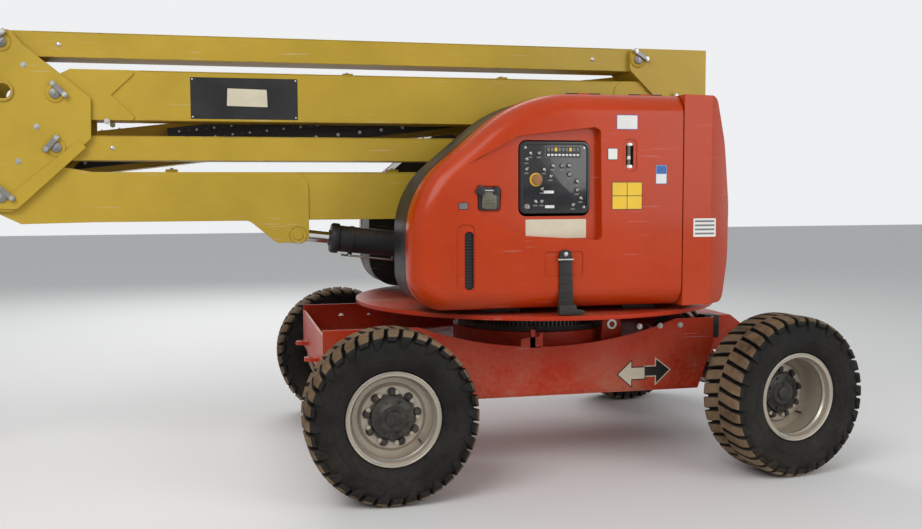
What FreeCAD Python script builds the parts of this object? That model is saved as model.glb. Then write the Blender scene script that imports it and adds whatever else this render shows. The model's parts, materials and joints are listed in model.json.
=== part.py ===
import FreeCAD, Part
import math
import os
import Sketcher

# Articulating boom lift, stowed: chassis on four wheels, turntable with two hoods,
# a folded tower of two stacked parallelograms, a telescoping main boom, a jib and
# a platform. +X runs towards the steered axle, +Z up, the photographed side is -Y.
# Millimetres.

SIZES = (
    # name, value, what it is
    ("swing_x", 1734, "turntable axis from the middle of the whole length"),
    ("wheelbase", 2050, "between the axles"),
    ("overall_width", 2340, "over the tyres"),
    ("tyre_radius", 415.5, "to the lugs' tips"),
    ("tyre_width", 307, ""),
    ("lug_height", 22, ""),
    ("lug_width", 44, "around the tyre"),
    ("lug_count", 18, "on each shoulder"),
    ("bead_radius", 210, "where the tyre sits on the rim"),
    ("rim_flange_radius", 228, ""),
    ("rim_width", 236, "over the flanges"),
    ("rim_wall", 8, ""),
    ("fixed_dish", 62, "from the rim's outer edge to the disc, fixed axle"),
    ("steer_dish", 150, "the same on the steered axle"),
    ("disc_thick", 14, ""),
    ("hub_radius", 98, ""),
    ("hub_flange_radius", 148, ""),
    ("stud_circle", 122, "radius of the wheel bolts' circle"),
    ("stud_radius", 11, ""),
    ("kingpin_inset", 200, "kingpin from the tyre's middle"),
    ("kingpin_radius", 24, ""),
    ("steer_pivot", 46, "radius of the pin that the steered axle rocks on"),
    ("steer_rest", 9.7, "degrees the steered wheels are turned at rest"),
    ("pin_clearance", 0.05, "radial, pins in their bores"),
    ("running_gap", 6, "between parts that turn past each other"),
    ("seat_gap", 0.3, "between parts that sit on each other"),
    ("spindle_radius", 32, "wheels' shafts"),
    ("frame_half_width", 606, "chassis over its side plates, half"),
    ("frame_plate", 12, ""),
    ("frame_top", 772, "side plates' top at both ends"),
    ("saddle_low", 645, "lowest point of the side plates' saddle"),
    ("saddle_radius", 2117, ""),
    ("saddle_offset", 85, "saddle's lowest point behind the turntable axis"),
    ("frame_bottom", 380, "ground clearance under the belly"),
    ("frame_step_bottom", 520, "underside over the axles"),
    ("frame_rear", 1300, "rear end of the frame from the turntable axis"),
    ("frame_front", 865, "front end of the side plates"),
    ("nose_half_width", 230, ""),
    ("nose_front", 1290, "nose end from the turntable axis"),
    ("deck_height", 622, "top of the chassis deck"),
    ("tie_ear", 20, "tie-down eyes' thickness"),
    ("tie_hole", 20, "their holes' radius"),
    ("axle_tube_radius", 78, ""),
    ("slew_radius", 440, ""),
    ("table_bottom", 838, "underside of the turntable plate"),
    ("table_thick", 22, ""),
    ("table_radius", 1040, ""),
    ("swing_circle", 1176, "nothing of the tail passes it"),
    ("tower_y", -220, "middle of the tower booms"),
    ("boom_width", 220, "tower booms and links"),
    ("boom_depth", 250, ""),
    ("link_depth", 125, ""),
    ("boom_wall", 8, ""),
    ("doubler", 8, "side plates at the booms' ends"),
    ("cheek", 16, "side plates of uprights and masts"),
    ("cheek_gap", 8, "between a boom's doubler and the cheek"),
    ("pin_radius", 25, ""),
    ("boss_radius", 42, ""),
    ("lower_boom_length", 3100, "between pins"),
    ("lower_pin_x", 267, "lower boom's pin on the turntable from its axis"),
    ("lower_pin_z", 1453, ""),
    ("lower_link_dx", 259, "link's pin from the boom's pin"),
    ("lower_link_dz", 245, ""),
    ("mid_boom_length", 3316, "between pins"),
    ("mid_pin_dx", 259, "mid boom's pin from the lower boom's pin, on the lower upright"),
    ("mid_pin_z", 1963, ""),
    ("mid_link_dx", -238, "link's pin from the mid boom's pin"),
    ("mid_link_dz", 244, ""),
    ("upright_reach", 163, "back plate from the mid boom's right pin"),
    ("main_y", 100, "middle of the main boom, jib and platform"),
    ("main_width", 200, ""),
    ("main_depth", 220, ""),
    ("main_wall", 8, ""),
    ("main_pin_dx", 33, "main boom's pin from the mid boom's right pin"),
    ("main_pin_z", 2070, ""),
    ("main_slope", 6.8, "degrees the stowed main boom dips"),
    ("main_base_length", 3640, "base section from its pin to its open end"),
    ("fly_depth", 176, ""),
    ("fly_width", 156, ""),
    ("fly_inside", 2300, "fly section left inside the base, from its open end"),
    ("main_length", 3992, "main boom's pin to the tip pin, retracted"),
    ("tip_radius", 52, ""),
    ("jib_pin_dx", 100, "jib's pin from the tip pin"),
    ("jib_pin_dz", 95, "and below it"),
    ("jib_length", 1240, "between pins"),
    ("jib_rest", 58, "degrees the stowed jib dips"),
    ("jib_depth", 90, ""),
    ("jib_width", 76, ""),
    ("jib_shift", 38, "its middle line from the main boom's, towards the near side"),
    ("jib_link_offset", 260, "between the jib's pins and its link's pins"),
    ("jib_link_lean", 12, "degrees that line leans"),
    ("jib_link_depth", 40, ""),
    ("bracket_half_width", 81, "level bracket inside its plates, half"),
    ("bracket_plate", 12, ""),
    ("rotator_dx", 120, "rotator's axis from the jib's end pin"),
    ("rotator_radius", 70, ""),
    ("platform_gap", 130, "from the rotator's axis to the platform"),
    ("platform_deep", 760, ""),
    ("platform_wide", 1830, ""),
    ("platform_floor", 330, "top of its floor above the ground"),
    ("rail_height", 1100, "above the floor"),
    ("rail_radius", 19, ""),
    ("toe_board", 150, ""),
    ("toe_plate", 4, ""),
    ("tread_rise", 4, "deck plate above the floor's frame"),
    ("gate_wide", 480, ""),
    ("gate_stand_off", 50, "its hinge from its right post"),
    ("gate_pin", 7, "radius"),
    ("console_room", 175, "floor's end kept clear under the console"),
    ("gate_from", 110, "its opening from the platform's left end"),
    ("hood_face", 980, "hoods' outer faces from the centre line"),
    ("hood_back", 800, "where the hood meets its frame"),
    ("hood_inner", 460, "hood frames' inner plates"),
    ("hood_wall", 8, ""),
    ("hood_round", 110, "its outer edge"),
    ("hood_left", 905, "its left end from the turntable axis"),
    ("hood_right", 490, "its seam with the counterweight"),
    ("hood_bottom", 890, ""),
    ("hood_top", 1960, ""),
    ("hood_seam", 6, ""),
    ("hinge_rise", 7, "hood hinges' axis above the hoods' top"),
    ("hinge_radius", 6, ""),
    ("hinge_pin", 3, "radius"),
    ("hinge_leaf", 60, "length of one knuckle"),
    ("pocket_depth", 45, "near hood's sunk panel at its right edge"),
    ("recess", 5, "depth of the hoods' small recesses"),
    ("window_left", 372, "ground controls' window from the turntable axis"),
    ("window_wide", 376, ""),
    ("window_low", 1352, ""),
    ("window_high", 373, ""),
    ("weight_rear", 818, "counterweight's rear face from the turntable axis"),
    ("lift_bore_radius", 71, "lower lift cylinder's barrel"),
    ("lift_rod_radius", 32, ""),
    ("lift_base_x", -25, "its base pin from the turntable axis"),
    ("lift_base_z", 1090, ""),
    ("lift_ear_x", 1438, "its rod's pin from the lower boom's far pin"),
    ("lift_ear_drop", 205, "and below that pin"),
    ("main_lift_bore", 48, "main lift cylinder's barrel radius"),
    ("main_lift_rod", 24, ""),
    ("main_lift_dx", 155, "its base pin from the main boom's pin"),
    ("main_lift_z", 1640, ""),
    ("main_lift_reach", 1100, "its rod's pin along the main boom"),
    ("main_lift_drop", 160, "and below the boom's middle line"),
    ("jib_bore", 26, "jib cylinder's barrel radius"),
    ("jib_rod", 15, ""),
    ("jib_cyl_shift", 39, "its middle line from the main boom's, towards the far side"),
    ("jib_eye", 50, "width of its eyes"),
    ("jib_cyl_dx", 15, "its base pin beyond the jib's pin"),
    ("jib_cyl_drop", 140, "and under it"),
    ("jib_cyl_reach", 650, "its rod's pin along the jib"),
    ("jib_cyl_side", 200, "and below the jib's middle line"),
)

DOC = FreeCAD.newDocument("boom_lift")
SHEET = DOC.addObject("Spreadsheet::Sheet", "Sizes")


class Size:
    """A number with the text that binds a property to the sheet."""

    def __init__(self, value, text=None):
        self.value = float(value)
        self.text = text or repr(float(value))

    def __add__(self, other):
        other = sized(other)
        return Size(self.value + other.value, f"({self.text} + {other.text})")

    def __radd__(self, other):
        return sized(other) + self

    def __sub__(self, other):
        other = sized(other)
        return Size(self.value - other.value, f"({self.text} - {other.text})")

    def __rsub__(self, other):
        return sized(other) - self

    def __mul__(self, other):
        other = sized(other)
        return Size(self.value * other.value, f"({self.text} * {other.text})")

    def __rmul__(self, other):
        return sized(other) * self

    def __truediv__(self, other):
        other = sized(other)
        return Size(self.value / other.value, f"({self.text} / {other.text})")

    def __neg__(self):
        return Size(-self.value, f"(0 - {self.text})")

    def __float__(self):
        return self.value


def sized(number):
    return number if isinstance(number, Size) else Size(number)


class Sheet:
    """Reads a size by its alias, as S.wheelbase."""

    def __init__(self, rows):
        self.values = {}
        for row, (name, value, note) in enumerate(rows, 1):
            SHEET.set(f"A{row}", name)
            SHEET.set(f"B{row}", str(value))
            SHEET.setAlias(f"B{row}", name)
            SHEET.set(f"C{row}", note)
            self.values[name] = value
        DOC.recompute()

    def __getattr__(self, name):
        return Size(self.values[name], f"Sizes.{name}")


S = Sheet(SIZES)
NODES = {}


def bind(thing, prop, size):
    """Sets a property from the sheet."""
    size = sized(size)
    if "Sizes." in size.text or "." in prop:
        thing.setExpression(prop, size.text)
    else:
        setattr(thing, prop, size.value)


def put(thing, place):
    for letter, size in zip("xyz", place):
        bind(thing, f"Placement.Base.{letter}", size)


def point(place):
    return FreeCAD.Vector(*[float(size) for size in place])


# Solids

def box(name, low, high):
    """A block between two corners."""
    solid = DOC.addObject("Part::Box", name)
    for prop, near, far in zip(("Length", "Width", "Height"), low, high):
        bind(solid, prop, sized(far) - sized(near))
    put(solid, low)
    return solid


TURNS = {
    "x": FreeCAD.Rotation(FreeCAD.Vector(0, 1, 0), 90),
    "y": FreeCAD.Rotation(FreeCAD.Vector(1, 0, 0), -90),
    "z": FreeCAD.Rotation(),
}


def rod(name, axis, start, radius, length):
    """A round bar that runs from start along +x, +y or +z."""
    solid = DOC.addObject("Part::Cylinder", name)
    bind(solid, "Radius", radius)
    bind(solid, "Height", length)
    solid.Placement.Rotation = TURNS[axis]
    put(solid, start)
    return solid


def sketch_on(body, role, points, level):
    """A closed outline of straight sides with every corner bound to the sheet."""
    plane = [f for f in body.Origin.OriginFeatures if f.Role == role][0]
    sketch = body.newObject("Sketcher::SketchObject", body.Name + "_outline")
    sketch.AttachmentSupport = (plane, [""])
    sketch.MapMode = "FlatFace"
    bind(sketch, "AttachmentOffset.Base.z", level)
    corners = [FreeCAD.Vector(float(x), float(y), 0) for x, y in points]
    count = len(corners)
    sides = [Part.LineSegment(corners[i], corners[(i + 1) % count]) for i in range(count)]
    sketch.addGeometry(sides, False)
    rules = [Sketcher.Constraint("Coincident", i, 2, (i + 1) % count, 1) for i in range(count)]
    for i, (x, y) in enumerate(points):
        rules.append(Sketcher.Constraint("DistanceX", -1, 1, i, 1, float(x)))
        rules.append(Sketcher.Constraint("DistanceY", -1, 1, i, 1, float(y)))
    sketch.addConstraint(rules)
    for i, (x, y) in enumerate(points):
        for step, size in enumerate((sized(x), sized(y))):
            if "Sizes." in size.text:
                sketch.setExpression(f"Constraints[{count + 2 * i + step}]", size.text)
    return sketch


PLANES = {
    # role, sketch axes as indices of x, y, z, the pad's axis and its sense
    "xz": ("XZ_Plane", (0, 2), 1, -1),
    "xy": ("XY_Plane", (0, 1), 2, 1),
    "yz": ("YZ_Plane", (1, 2), 0, 1),
}


def pad(name, plane, points, low, high, rounds=()):
    """An outline padded from low to high; rounds pairs corner numbers with radii."""
    role, axes, along, sense = PLANES[plane]
    body = DOC.addObject("PartDesign::Body", name)
    level = sized(low) if sense > 0 else -sized(high)
    sketch = sketch_on(body, role, points, level)
    solid = body.newObject("PartDesign::Pad", name + "_pad")
    solid.Profile = sketch
    bind(solid, "Length", sized(high) - sized(low))
    sketch.Visibility = False
    DOC.recompute()
    for number, (corners, radius) in enumerate(rounds, 1):
        wanted = [(float(points[c][0]), float(points[c][1])) for c in corners]
        names = []
        for count, edge in enumerate(body.Shape.Edges, 1):
            ends = [vertex.Point for vertex in edge.Vertexes]
            if len(ends) != 2 or abs(ends[0][along] - ends[1][along]) < 0.001:
                continue
            for a, b in wanted:
                if all(abs(end[axes[0]] - a) + abs(end[axes[1]] - b) < 0.01 for end in ends):
                    names.append(f"Edge{count}")
        last = body.Tip
        rounding = body.newObject("PartDesign::Fillet", f"{name}_round{number}")
        rounding.Base = (last, names)
        bind(rounding, "Radius", radius)
        DOC.recompute()
    return body


def turned(name, points, centre):
    """A half section, as distances along y and radii, turned about a y axis."""
    body = DOC.addObject("PartDesign::Body", name)
    sketch = sketch_on(body, "YZ_Plane", points, 0)
    solid = body.newObject("PartDesign::Revolution", name + "_turn")
    solid.Profile = sketch
    solid.ReferenceAxis = (sketch, ["H_Axis"])
    solid.Angle = 360
    sketch.Visibility = False
    put(body, centre)
    return body


def joined(name, parts, refine=True):
    solid = DOC.addObject("Part::MultiFuse", name)
    solid.Shapes = parts
    solid.Refine = refine
    return solid


def apart(name, parts):
    """Solids of one node that don't touch."""
    solid = DOC.addObject("Part::Compound", name)
    solid.Links = parts
    return solid


def less(name, base, tools):
    """What is left of base when the tools are cut away."""
    solid = DOC.addObject("Part::Cut", name)
    solid.Base = base
    solid.Tool = tools[0] if len(tools) == 1 else joined(name + "_tools", tools)
    return solid


def shared(name, first, second):
    solid = DOC.addObject("Part::Common", name)
    solid.Base = first
    solid.Tool = second
    return solid


def tilt(thing, pivot, degrees):
    """Turns a part about a y axis through pivot; positive lifts its -x end."""
    turn = FreeCAD.Rotation(FreeCAD.Vector(0, 1, 0), float(degrees))
    thing.Placement = FreeCAD.Placement(FreeCAD.Vector(), turn, point(pivot))
    return thing


def turn_flat(thing, pivot, degrees):
    """Turns a part about a z axis through pivot."""
    turn = FreeCAD.Rotation(FreeCAD.Vector(0, 0, 1), float(degrees))
    thing.Placement = FreeCAD.Placement(FreeCAD.Vector(), turn, point(pivot))
    return thing


def node(name, thing):
    thing.Label = name
    NODES[name] = thing
    return thing


def pin(name, x, z, low, high, radius=None):
    """A cross pin along y."""
    return rod(name, "y", (x, low, z), radius or S.pin_radius, sized(high) - sized(low))


def bore(name, x, z, low, high, radius=None):
    """The hole for a cross pin, long enough to pass both faces."""
    wide = sized(radius or S.pin_radius) + S.pin_clearance
    return rod(name, "y", (x, sized(low) - 1, z), wide, sized(high) - sized(low) + 2)


# Places that several parts share

FIXED_X = S.swing_x - S.wheelbase / 2
STEER_X = S.swing_x + S.wheelbase / 2
AXLE_Z = S.tyre_radius
LOWER_PIN = (S.swing_x + S.lower_pin_x, S.lower_pin_z)
LOWER_LINK_PIN = (LOWER_PIN[0] + S.lower_link_dx, LOWER_PIN[1] + S.lower_link_dz)
FAR_PIN = (LOWER_PIN[0] - S.lower_boom_length, LOWER_PIN[1])
FAR_LINK_PIN = (FAR_PIN[0] + S.lower_link_dx, FAR_PIN[1] + S.lower_link_dz)
MID_PIN = (FAR_PIN[0] + S.mid_pin_dx, S.mid_pin_z)
MID_LINK_PIN = (MID_PIN[0] + S.mid_link_dx, MID_PIN[1] + S.mid_link_dz)
UPPER_PIN = (MID_PIN[0] + S.mid_boom_length, MID_PIN[1])
UPPER_LINK_PIN = (UPPER_PIN[0] + S.mid_link_dx, UPPER_PIN[1] + S.mid_link_dz)
MAIN_PIN = (UPPER_PIN[0] + S.main_pin_dx, S.main_pin_z)
MAIN_LIFT_X = MAIN_PIN[0] - S.main_lift_dx
KINGPIN_Y = S.overall_width / 2 - S.tyre_width / 2 - S.kingpin_inset

BOOM_LOW = S.tower_y - S.boom_width / 2
BOOM_HIGH = S.tower_y + S.boom_width / 2
CHEEK_LOW = BOOM_LOW - S.doubler - S.cheek_gap
CHEEK_HIGH = BOOM_HIGH + S.doubler + S.cheek_gap
MAIN_LOW = S.main_y - S.main_width / 2
MAIN_HIGH = S.main_y + S.main_width / 2
TABLE_TOP = S.table_bottom + S.table_thick


def along(start, degrees, distance):
    """The place at a distance from start, to the left and down by an angle."""
    angle = math.radians(float(degrees))
    return (start[0] - sized(distance) * math.cos(angle), start[1] - sized(distance) * math.sin(angle))


TIP_PIN = along(MAIN_PIN, S.main_slope, S.main_length)
JIB_PIN = (TIP_PIN[0] - S.jib_pin_dx, TIP_PIN[1] - S.jib_pin_dz)
LEAN = math.radians(float(S.jib_link_lean))
LINK_DX = S.jib_link_offset * math.sin(LEAN)
LINK_DZ = S.jib_link_offset * math.cos(LEAN)
JIB_LINK_PIN = (JIB_PIN[0] + LINK_DX, JIB_PIN[1] + LINK_DZ)
JIB_END = along(JIB_PIN, S.jib_rest, S.jib_length)
JIB_LINK_END = (JIB_END[0] + LINK_DX, JIB_END[1] + LINK_DZ)
ROTATOR_X = JIB_END[0] - S.rotator_dx
PLATFORM_RIGHT = ROTATOR_X - S.platform_gap
PLATFORM_LEFT = PLATFORM_RIGHT - S.platform_deep
PLATFORM_LOW = S.main_y - S.platform_wide / 2
PLATFORM_HIGH = S.main_y + S.platform_wide / 2
LIFT_BASE = (S.swing_x + S.lift_base_x, S.lift_base_z)
LIFT_EAR = (FAR_PIN[0] + S.lift_ear_x, FAR_PIN[1] - S.lift_ear_drop)


# Wheels

def lug(name, side, turn):
    """One tread bar, slanted, from the shoulder past the tyre's middle."""
    half = S.tyre_width / 2
    low = -half + 6 if side < 0 else -14
    high = 14 if side < 0 else half - 6
    bar = DOC.addObject("Part::Box", name)
    bind(bar, "Length", S.lug_width)
    bind(bar, "Width", sized(high) - sized(low))
    bind(bar, "Height", S.lug_height + 26)
    across = FreeCAD.Rotation(FreeCAD.Vector(0, 0, 1), 16 * side)
    start = FreeCAD.Vector(-float(S.lug_width) / 2, float(low), float(S.tyre_radius - S.lug_height) - 26)
    leaned = FreeCAD.Placement(FreeCAD.Vector(), across)
    round_tyre = FreeCAD.Placement(FreeCAD.Vector(), FreeCAD.Rotation(FreeCAD.Vector(0, 1, 0), turn))
    bar.Placement = round_tyre.multiply(leaned).multiply(FreeCAD.Placement(start, FreeCAD.Rotation()))
    return bar


def tyre_blank():
    """Carcass and lugs about the origin, trimmed to the tyre's round outline."""
    half = S.tyre_width / 2
    tread = S.tyre_radius - S.lug_height
    bead = S.rim_width / 2 - S.rim_wall - 6 - S.seat_gap
    carcass = turned(
        "carcass",
        [
            (-bead, S.bead_radius), (bead, S.bead_radius), (bead, S.rim_flange_radius + 3),
            (half - 14, S.rim_flange_radius + 30), (half, S.tyre_radius - 110),
            (half - 8, S.tyre_radius - 48), (half - 36, tread),
            (-half + 36, tread), (-half + 8, S.tyre_radius - 48),
            (-half, S.tyre_radius - 110), (-half + 14, S.rim_flange_radius + 30),
            (-bead, S.rim_flange_radius + 3),
        ],
        (0, 0, 0),
    )
    outline = turned(
        "tread_outline",
        [
            (-half + 2, tread - 60), (half - 2, tread - 60), (half - 1, tread - 22),
            (half - 16, S.tyre_radius - 12), (half - 40, S.tyre_radius),
            (-half + 40, S.tyre_radius), (-half + 16, S.tyre_radius - 12), (-half + 1, tread - 22),
        ],
        (0, 0, 0),
    )
    pitch = 360.0 / float(S.lug_count)
    pieces = [carcass]
    for number in range(int(float(S.lug_count))):
        for side, turn in ((-1, number * pitch), (1, (number + 0.5) * pitch)):
            name = f"lug_{number}_{'near' if side < 0 else 'far'}"
            pieces.append(shared(name, lug(name + "_bar", side, turn), outline))
    return joined("tyre_blank", pieces, refine=False)


def rim_blank(name, dish):
    """Rim with its disc and hub, outer face towards -y, middle at the origin."""
    half = S.rim_width / 2
    flange = S.rim_flange_radius
    seat = S.bead_radius - S.seat_gap
    wall = S.rim_wall
    face = -half + dish
    barrel = turned(
        f"{name}_barrel",
        [
            (-half, flange), (-half, flange - wall - 14), (-half + 26, seat - wall), (half - 26, seat - wall),
            (half, flange - wall - 14), (half, flange), (half - wall, flange), (half - wall - 6, seat),
            (-half + wall + 6, seat), (-half + wall, flange),
        ],
        (0, 0, 0),
    )
    disc = turned(
        f"{name}_disc",
        [
            (face, 0), (face, S.hub_flange_radius), (face + 16, S.hub_flange_radius + 16),
            (face + 16, seat - wall + 1), (face + 16 + S.disc_thick, seat - wall + 1),
            (face + 16 + S.disc_thick, S.hub_flange_radius + 8), (face + S.disc_thick, S.hub_flange_radius - 4),
            (face + S.disc_thick, 0),
        ],
        (0, 0, 0),
    )
    hub = turned(
        f"{name}_hub",
        [
            (face - 34, 0), (face - 34, S.hub_radius - 42), (face - 26, S.hub_radius - 30),
            (face - 20, S.hub_radius), (face, S.hub_radius + 4), (face, 0),
        ],
        (0, 0, 0),
    )
    studs = []
    for number in range(9):
        angle = math.radians(number * 40.0)
        x = S.stud_circle * math.cos(angle)
        z = S.stud_circle * math.sin(angle)
        studs.append(rod(f"{name}_stud_{number}", "y", (x, face - 16, z), S.stud_radius, S.disc_thick + 10))
    blank = joined(name + "_blank", [barrel, disc, hub] + studs)
    shaft = rod(f"{name}_shaft_hole", "y", (0, face - 20, 0), S.spindle_radius + S.pin_clearance, 60)
    return less(name, blank, [shaft])


def copy_at(name, source, placement):
    """Another wheel from the same solid."""
    twin = DOC.addObject("Part::Feature", name)
    twin.Shape = source.Shape
    twin.Placement = placement
    return twin


def wheels():
    tyre = tyre_blank()
    rims = {"fixed": rim_blank("rim_fixed", S.fixed_dish), "steer": rim_blank("rim_steer", S.steer_dish)}
    DOC.recompute()
    middle = float(S.overall_width / 2 - S.tyre_width / 2)
    for end, x in (("fixed", FIXED_X), ("steer", STEER_X)):
        for side, sign in (("near", -1), ("far", 1)):
            place = FreeCAD.Vector(float(x), sign * middle, float(AXLE_Z))
            facing = FreeCAD.Rotation(FreeCAD.Vector(0, 0, 1), 0 if sign < 0 else 180)
            placement = FreeCAD.Placement(place, facing)
            if end == "steer":
                kingpin = FreeCAD.Vector(float(x), sign * float(KINGPIN_Y), 0)
                rest = FreeCAD.Rotation(FreeCAD.Vector(0, 0, 1), float(S.steer_rest))
                placement = FreeCAD.Placement(FreeCAD.Vector(), rest, kingpin).multiply(placement)
            node(f"tyre_{end}_{side}", copy_at(f"tyre_{end}_{side}", tyre, placement))
            node(f"rim_{end}_{side}", copy_at(f"rim_{end}_{side}", rims[end], placement))


def rim_back(dish):
    """How far the disc's inner face lies from the centre line."""
    return S.overall_width / 2 - S.tyre_width / 2 + S.rim_width / 2 - dish - S.disc_thick


def axles():
    """The fixed axle with its drive hubs, and the steered beam with two knuckles."""
    low = S.frame_step_bottom
    reach = rim_back(S.fixed_dish) - S.running_gap
    tube = rod("fixed_tube", "y", (FIXED_X, -reach, AXLE_Z), S.axle_tube_radius, reach * 2)
    bowl = turned(
        "fixed_bowl",
        [(-170, 0), (-150, 88), (-70, 100), (70, 100), (150, 88), (170, 0)],
        (FIXED_X, 0, AXLE_Z),
    )
    drives = []
    for side, sign in (("near", -1), ("far", 1)):
        start = -reach if sign < 0 else reach - 150
        drives.append(rod(f"fixed_drive_{side}", "y", (FIXED_X, start, AXLE_Z), S.hub_radius + 22, 150))
        shaft_start = -reach - 32 if sign < 0 else reach - 10
        drives.append(rod(f"fixed_shaft_{side}", "y", (FIXED_X, shaft_start, AXLE_Z), S.spindle_radius, 42))
        pad_y = S.frame_half_width - 130 if sign > 0 else -S.frame_half_width + 30
        seat_top = low - S.seat_gap
        drives.append(
            box(f"fixed_seat_{side}", (FIXED_X - 90, pad_y, AXLE_Z), (FIXED_X + 90, pad_y + 100, seat_top))
        )
    node("axle_fixed", joined("axle_fixed", [tube, bowl] + drives))

    beam_end = KINGPIN_Y - 62
    beam = pad(
        "steer_beam",
        "yz",
        [
            (-beam_end, AXLE_Z - 40), (-260, AXLE_Z - 70), (260, AXLE_Z - 70), (beam_end, AXLE_Z - 40),
            (beam_end, AXLE_Z + 40), (260, AXLE_Z + 70), (-260, AXLE_Z + 70), (-beam_end, AXLE_Z + 40),
        ],
        STEER_X - 70,
        STEER_X + 70,
    )
    pieces = [beam]
    for side, sign in (("near", -1), ("far", 1)):
        for level, z in (("upper", AXLE_Z + 78), ("lower", AXLE_Z - 78 - 26)):
            inner = sign * (KINGPIN_Y - 144)
            outer = sign * (KINGPIN_Y + 44)
            low_y, high_y = (outer, inner) if sign < 0 else (inner, outer)
            pieces.append(
                box(f"steer_ear_{side}_{level}", (STEER_X - 44, low_y, z), (STEER_X + 44, high_y, z + 26))
            )
        web_low = -KINGPIN_Y + 98 if sign < 0 else KINGPIN_Y - 144
        pieces.append(
            box(
                f"steer_web_{side}",
                (STEER_X - 60, web_low, AXLE_Z - 78 - 26),
                (STEER_X + 60, web_low + 46, AXLE_Z + 78 + 26),
            )
        )
        pieces.append(
            rod(f"kingpin_{side}", "z", (STEER_X, sign * KINGPIN_Y, AXLE_Z - 110), S.kingpin_radius, 220)
        )
    pieces.append(rod("steer_pivot", "x", (STEER_X - 150, 0, AXLE_Z + 24), S.steer_pivot, 300))
    pieces.append(rod("steer_ram", "y", (STEER_X - 160, -330, AXLE_Z), 30, 660))
    pieces.append(rod("steer_ram_rod", "y", (STEER_X - 160, -560, AXLE_Z), 15, 1120))
    for side, low_y in (("near", -150), ("far", 100)):
        start = (STEER_X - 160, low_y, AXLE_Z - 25)
        pieces.append(box(f"steer_ram_mount_{side}", start, (STEER_X - 60, low_y + 50, AXLE_Z + 25)))
    node("axle_steer", joined("axle_steer", pieces))

    back = rim_back(S.steer_dish) - S.running_gap
    for side, sign in (("near", -1), ("far", 1)):
        y = sign * KINGPIN_Y
        barrel = rod(f"knuckle_barrel_{side}", "z", (STEER_X, y, AXLE_Z - 72), 52, 144)
        start = -back if sign < 0 else KINGPIN_Y + 10
        spindle = rod(f"knuckle_spindle_{side}", "y", (STEER_X, start, AXLE_Z), 70, back - KINGPIN_Y - 10)
        drive = rod(f"knuckle_drive_{side}", "y", (STEER_X, start, AXLE_Z), S.hub_radius, 50)
        if sign > 0:
            drive = rod(f"knuckle_drive_{side}b", "y", (STEER_X, back - 50, AXLE_Z), S.hub_radius, 50)
        arm = box(f"knuckle_arm_{side}", (STEER_X - 190, y - 40, AXLE_Z - 72), (STEER_X, y + 40, AXLE_Z - 50))
        shaft_start = -back - 32 if sign < 0 else back - 10
        shaft = rod(f"knuckle_shaft_{side}", "y", (STEER_X, shaft_start, AXLE_Z), S.spindle_radius, 42)
        blank = joined(f"knuckle_blank_{side}", [barrel, spindle, drive, arm, shaft])
        hole = rod(
            f"knuckle_hole_{side}", "z", (STEER_X, y, AXLE_Z - 90), S.kingpin_radius + S.pin_clearance, 180
        )
        piece = less(f"knuckle_{side}", blank, [hole])
        node(f"knuckle_{side}", turn_flat(piece, (STEER_X, y, 0), S.steer_rest))


# Chassis

def tie_places():
    """Centres of the tie-down eyes, one pair at each end."""
    rear = S.swing_x - S.frame_rear - 34
    front = S.swing_x + S.nose_front + 34
    return (("rear", rear, 300, S.frame_step_bottom + 60, 1), ("front", front, 150, AXLE_Z + 170, -1))


def tie_ears():
    """Flat eyes for the hooks that hold the machine down on a trailer."""
    reach = 36
    ears = []
    for end, x, y, z, inwards in tie_places():
        for side, sign in (("near", -1), ("far", 1)):
            middle = sign * y
            low, high = z - S.tie_ear / 2, z + S.tie_ear / 2
            left, right = (x, x + 40) if inwards > 0 else (x - 40, x)
            name = f"tie_{end}_{side}"
            plate = box(name + "_plate", (left, middle - reach, low), (right, middle + reach, high))
            lobe = rod(name + "_lobe", "z", (x, middle, low), reach, S.tie_ear)
            hole = rod(name + "_hole", "z", (x, middle, low - 1), S.tie_hole, S.tie_ear + 2)
            ears.append(less(name, joined(name + "_blank", [plate, lobe]), [hole]))
    return ears


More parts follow.
